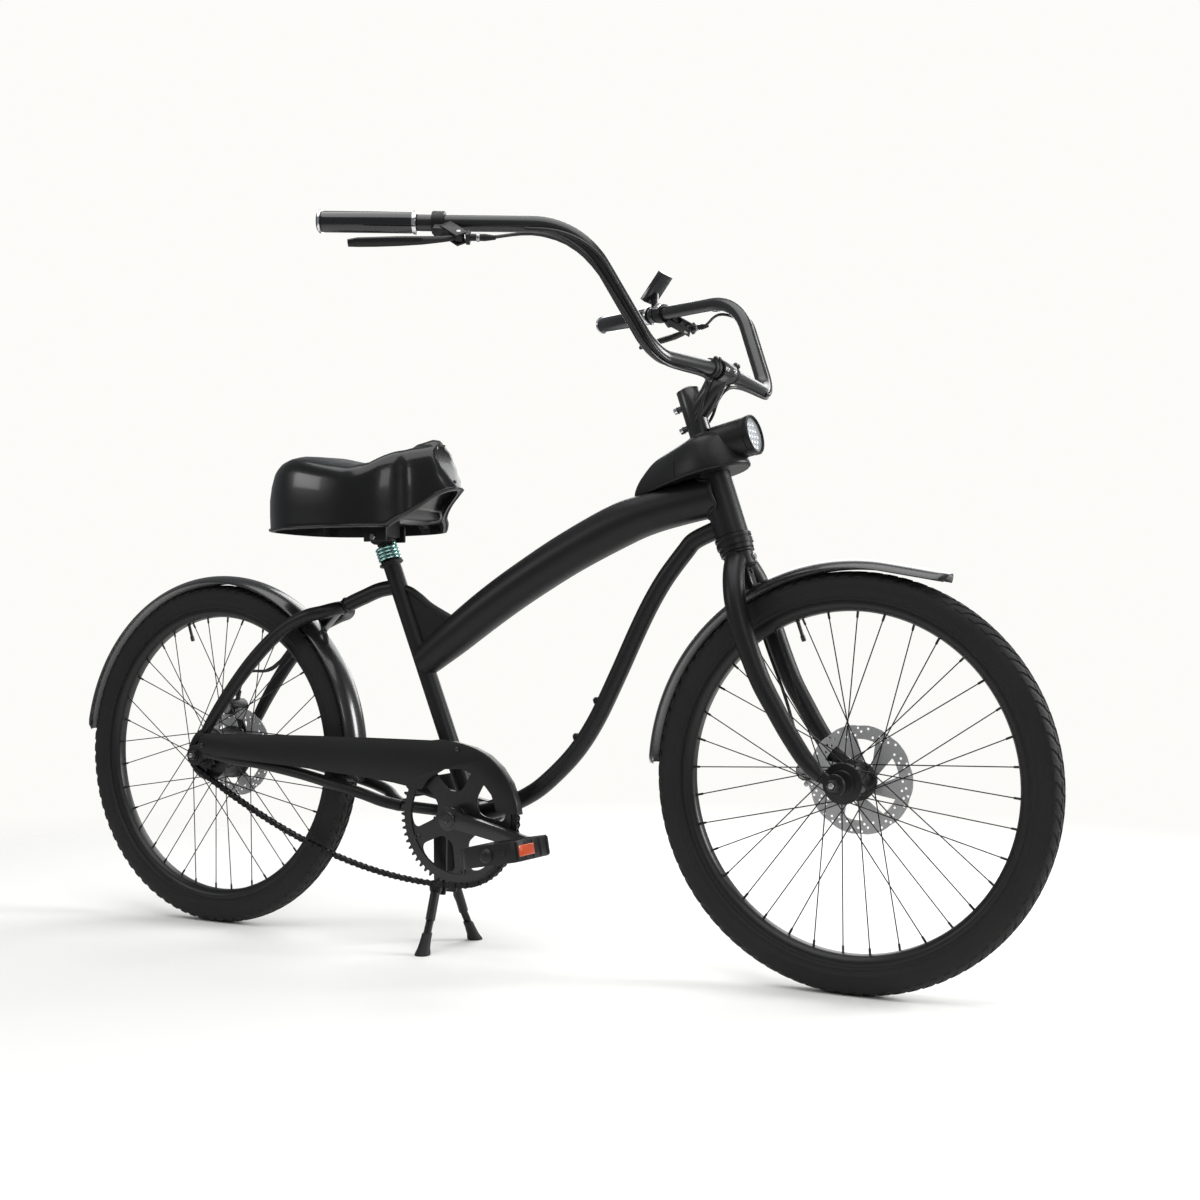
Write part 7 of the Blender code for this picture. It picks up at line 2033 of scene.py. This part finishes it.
@dataclass(frozen=True)
class Stand:
    """Centre stand with two rods for each leg, flared feet and its bracket."""

    pivot: Vector = Vector((0.545, 0, 0.11))
    plate_side: float = 0.0175
    plate_half: float = 0.0024
    hip_side: float = 0.033
    knee: Triple = (0.545, 0.036, 0.088)
    foot: Triple = (0.553, 0.0845, 0.0)
    rod: float = 0.004
    rod_shift: float = 0.0036

    def build(self) -> None:
        """Makes the stand and what carries it."""
        plates = Solid()
        shape = [
            (0.535, 0.097), (0.555, 0.097), (0.558, 0.11), (0.5595, 0.2375), (0.5305, 0.2375), (0.532, 0.11)
        ]
        for side in (-1, 1):
            plates.plate(
                shape, side * self.plate_side - self.plate_half, side * self.plate_side + self.plate_half
            )
        plates.rod(Vector((0.545, -0.016, 0.205)), Vector((0.545, 0.016, 0.205)), 0.009, 24)
        plates.ease(0.0008).piece("stand_plates", POWDER_BLACK, "frame", "stand_bracket")
        legs = Solid().rod(self.pivot - SIDE * 0.0335, self.pivot + SIDE * 0.0335, 0.006, 24)
        feet = Solid()
        for side in (-1, 1):
            self.leg(legs, feet, side)
        legs.piece("stand_legs", MOULDED_BLACK, "stand", "center_stand")
        feet.piece("stand_feet", STRAP_BLACK, "stand")

    def leg(self, legs: Solid, feet: Solid, side: int) -> None:
        """Adds one leg of two bent rods in a sleeve, and its leaning foot."""
        hip = self.pivot + SIDE * (side * self.hip_side)
        knee, foot = (Vector((x, side * y, z)) for x, y, z in (self.knee, self.foot))
        ankle = knee + (foot - knee) * 0.86
        for shift in (-self.rod_shift, self.rod_shift):
            corners = (hip, knee + (hip - knee) * 0.25, knee, knee + (ankle - knee) * 0.2, ankle)
            path = smooth([p + Vector((shift, 0, 0)) for p in corners])
            legs.tube(path, self.rod, 16, up=(1, 0, 0))
        legs.rod(knee + (hip - knee) * 0.7, knee + (ankle - knee) * 0.42, 0.0086, 24, 0.0012)
        profile = [
            (0, -0.005), (0.0105, -0.005), (0.012, -0.0036), (0.012, 0.0018), (0.0105, 0.003), (0, 0.003),
        ]
        legs.lathe(profile, hip, SIDE * side, 32)
        lean = (ankle - foot) / (ankle.z - foot.z)
        profile = [
            (0, 0), (0.0132, 0), (0.014, 0.001), (0.0138, 0.004), (0.0112, 0.012), (0.0098, 0.024),
            (0.0092, 0.035), (0.008, 0.0362), (0, 0.0362),
        ]
        cone = Solid().lathe(profile, foot, (0, 0, 1), 32)
        for vert in cone.mesh.verts:
            vert.co.x += lean.x * vert.co.z
            vert.co.y += lean.y * vert.co.z
        feet.add(cone)


@dataclass(frozen=True)
class Brakes:
    """Disc brake calipers with their caps, arms and cables."""

    rear: Vector = REAR_AXLE + Vector((-0.017, 0, 0.09))
    front: Vector = FRONT_AXLE + Vector((-0.09, 0, 0.0107))
    face: float = 0.0352
    cap: float = 0.0128

    def build(self) -> None:
        """Makes both brakes."""
        for end, body in (("rear", "frame"), ("front", "steering")):
            refined(end + "_caliper", MOULDED_BLACK, body, 0.0012)
            refined(end + "_caliper_arm", STEEL, end + "_brake_arm", 0.0006)
            rounded(end + "_brake_cable", CABLE_BLACK, body)
        profile = [(0, 0), (0.012, 0), (self.cap, -0.0012), (self.cap, -0.003), (0, -0.003)]
        for end, centre, body in (("rear", self.rear, "frame"), ("front", self.front, "steering")):
            part = Solid().lathe(profile, centre + SIDE * self.face, SIDE, 32)
            part.piece(end + "_caliper_cap", STEEL, body, sharp=30.0)


# Stage


@dataclass(frozen=True)
class Stage:
    """White studio floor, soft lights and the camera of the picture."""

    eye: Vector = Vector((2.171, -2.348, 0.558))
    heading: float = radians(29.06)
    pitch: float = radians(1.48)
    lens: float = 46.57
    sensor: float = 36.0
    white: Triple = (0.975, 0.968, 0.945)
    floor_half: float = 6.0
    floor_colours: tuple[Triple, Triple] = ((0.875, 0.87, 0.85), (0.905, 0.9, 0.88))
    fade: Pair = (1.15, 2.7)
    sky: Triple = (0.8, 0.82, 0.85)
    sky_strength: float = 0.28
    lights: tuple[tuple[str, Triple, Triple, float, float], ...] = (
        ("top_light", (0.3, -0.6, 3.2), (0.0, 0.0, 0.0), 3.4, 92.0),
        ("front_light", (3.0, -2.6, 2.0), (0.2, 0.0, 0.6), 0.9, 12.0),
        ("side_light", (-2.6, -2.6, 1.9), (-0.2, 0.0, 0.5), 0.9, 16.0),
        ("edge_light", (3.4, 1.8, 1.5), (0.3, 0.0, 0.5), 1.4, 120.0),
        ("back_light", (-0.6, 3.0, 2.2), (0.0, 0.0, 0.5), 2.8, 80.0),
    )

    def build(self) -> None:
        """Makes the floor, the world, the lights and the camera."""
        self.floor()
        self.world()
        for light in self.lights:
            self.light(*light)
        self.camera()

    def floor(self) -> None:
        """Floor whose far parts fade into the white behind it."""
        half = self.floor_half
        corners = [(-half, -half, 0), (half, -half, 0), (half, half, 0), (-half, half, 0)]
        mesh = bpy.data.meshes.new("studio_floor")
        mesh.from_pydata(corners, [], [(0, 1, 2, 3)])
        thing = placed("studio_floor", mesh)
        shade = Shade("studio_floor")
        away = shade.node("VectorMath", {0: shade.place()}, out="Value", operation="LENGTH")
        haze = shade.noise(3.0, 2.0)
        shade.set(Base_Color=shade.blend(haze * 0.3, *self.floor_colours))
        shade.set(Roughness=0.85, Specular_IOR_Level=0.1, Alpha=1 - away.step(*self.fade))
        mesh.materials.append(shade.material)

    def world(self) -> None:
        """Soft light from all round, seen as plain white."""
        world = bpy.data.worlds.new("studio")
        bpy.context.scene.world = world
        world.use_nodes = True
        tree = world.node_tree
        soft = tree.nodes["Background"]
        soft.inputs["Color"].default_value = (*self.sky, 1.0)
        soft.inputs["Strength"].default_value = self.sky_strength
        plain = tree.nodes.new("ShaderNodeBackground")
        plain.inputs["Color"].default_value = (*self.white, 1.0)
        ray = tree.nodes.new("ShaderNodeLightPath")
        mix = tree.nodes.new("ShaderNodeMixShader")
        tree.links.new(ray.outputs["Is Camera Ray"], mix.inputs[0])
        tree.links.new(soft.outputs[0], mix.inputs[1])
        tree.links.new(plain.outputs[0], mix.inputs[2])
        tree.links.new(mix.outputs[0], tree.nodes["World Output"].inputs[0])

    def light(self, name: str, place: Point, target: Point, size: float, power: float) -> None:
        """Adds a square soft light that looks at a target."""
        data = bpy.data.lights.new(name, "AREA")
        data.size = size
        data.energy = power
        thing = placed(name, data)
        thing.location = place
        thing.rotation_euler = (Vector(target) - Vector(place)).to_track_quat("-Z", "Y").to_euler()

    def camera(self) -> None:
        """Adds the camera, level from side to side."""
        data = bpy.data.cameras.new("camera")
        data.lens = self.lens
        data.sensor_width = self.sensor
        right = Vector((cos(self.heading), sin(self.heading), 0.0))
        flat = Vector((-sin(self.heading), cos(self.heading), 0.0))
        ahead = flat * cos(self.pitch) + Vector((0, 0, sin(self.pitch)))
        turn = Matrix((right, right.cross(ahead), -ahead)).transposed()
        thing = placed("camera", data)
        thing.matrix_world = Matrix.Translation(self.eye + SHIFT) @ turn.to_4x4()
        bpy.context.scene.camera = thing


def main() -> None:
    logging.basicConfig(level=logging.INFO, format="%(message)s")
    bpy.context.scene.view_settings.view_transform = "Standard"
    Wheel("rear", REAR_AXLE, 0.052, 0.047).build()
    Wheel("front", FRONT_AXLE, 0.033, 0.025).build()
    Mudguard("rear_mudguard", "frame", REAR_AXLE, (-7.0, 173.5), 0.0).build()
    Mudguard("front_mudguard", "steering", FRONT_AXLE, (63.0, 177.0), 0.014).build()
    for part in (FrameTubes, Fork, Bar, Controls, Lamp, Saddle, Drive, Pedals, Guard, Stand, Brakes):
        part().build()
    Stage().build()


if __name__ == "__main__":
    main()
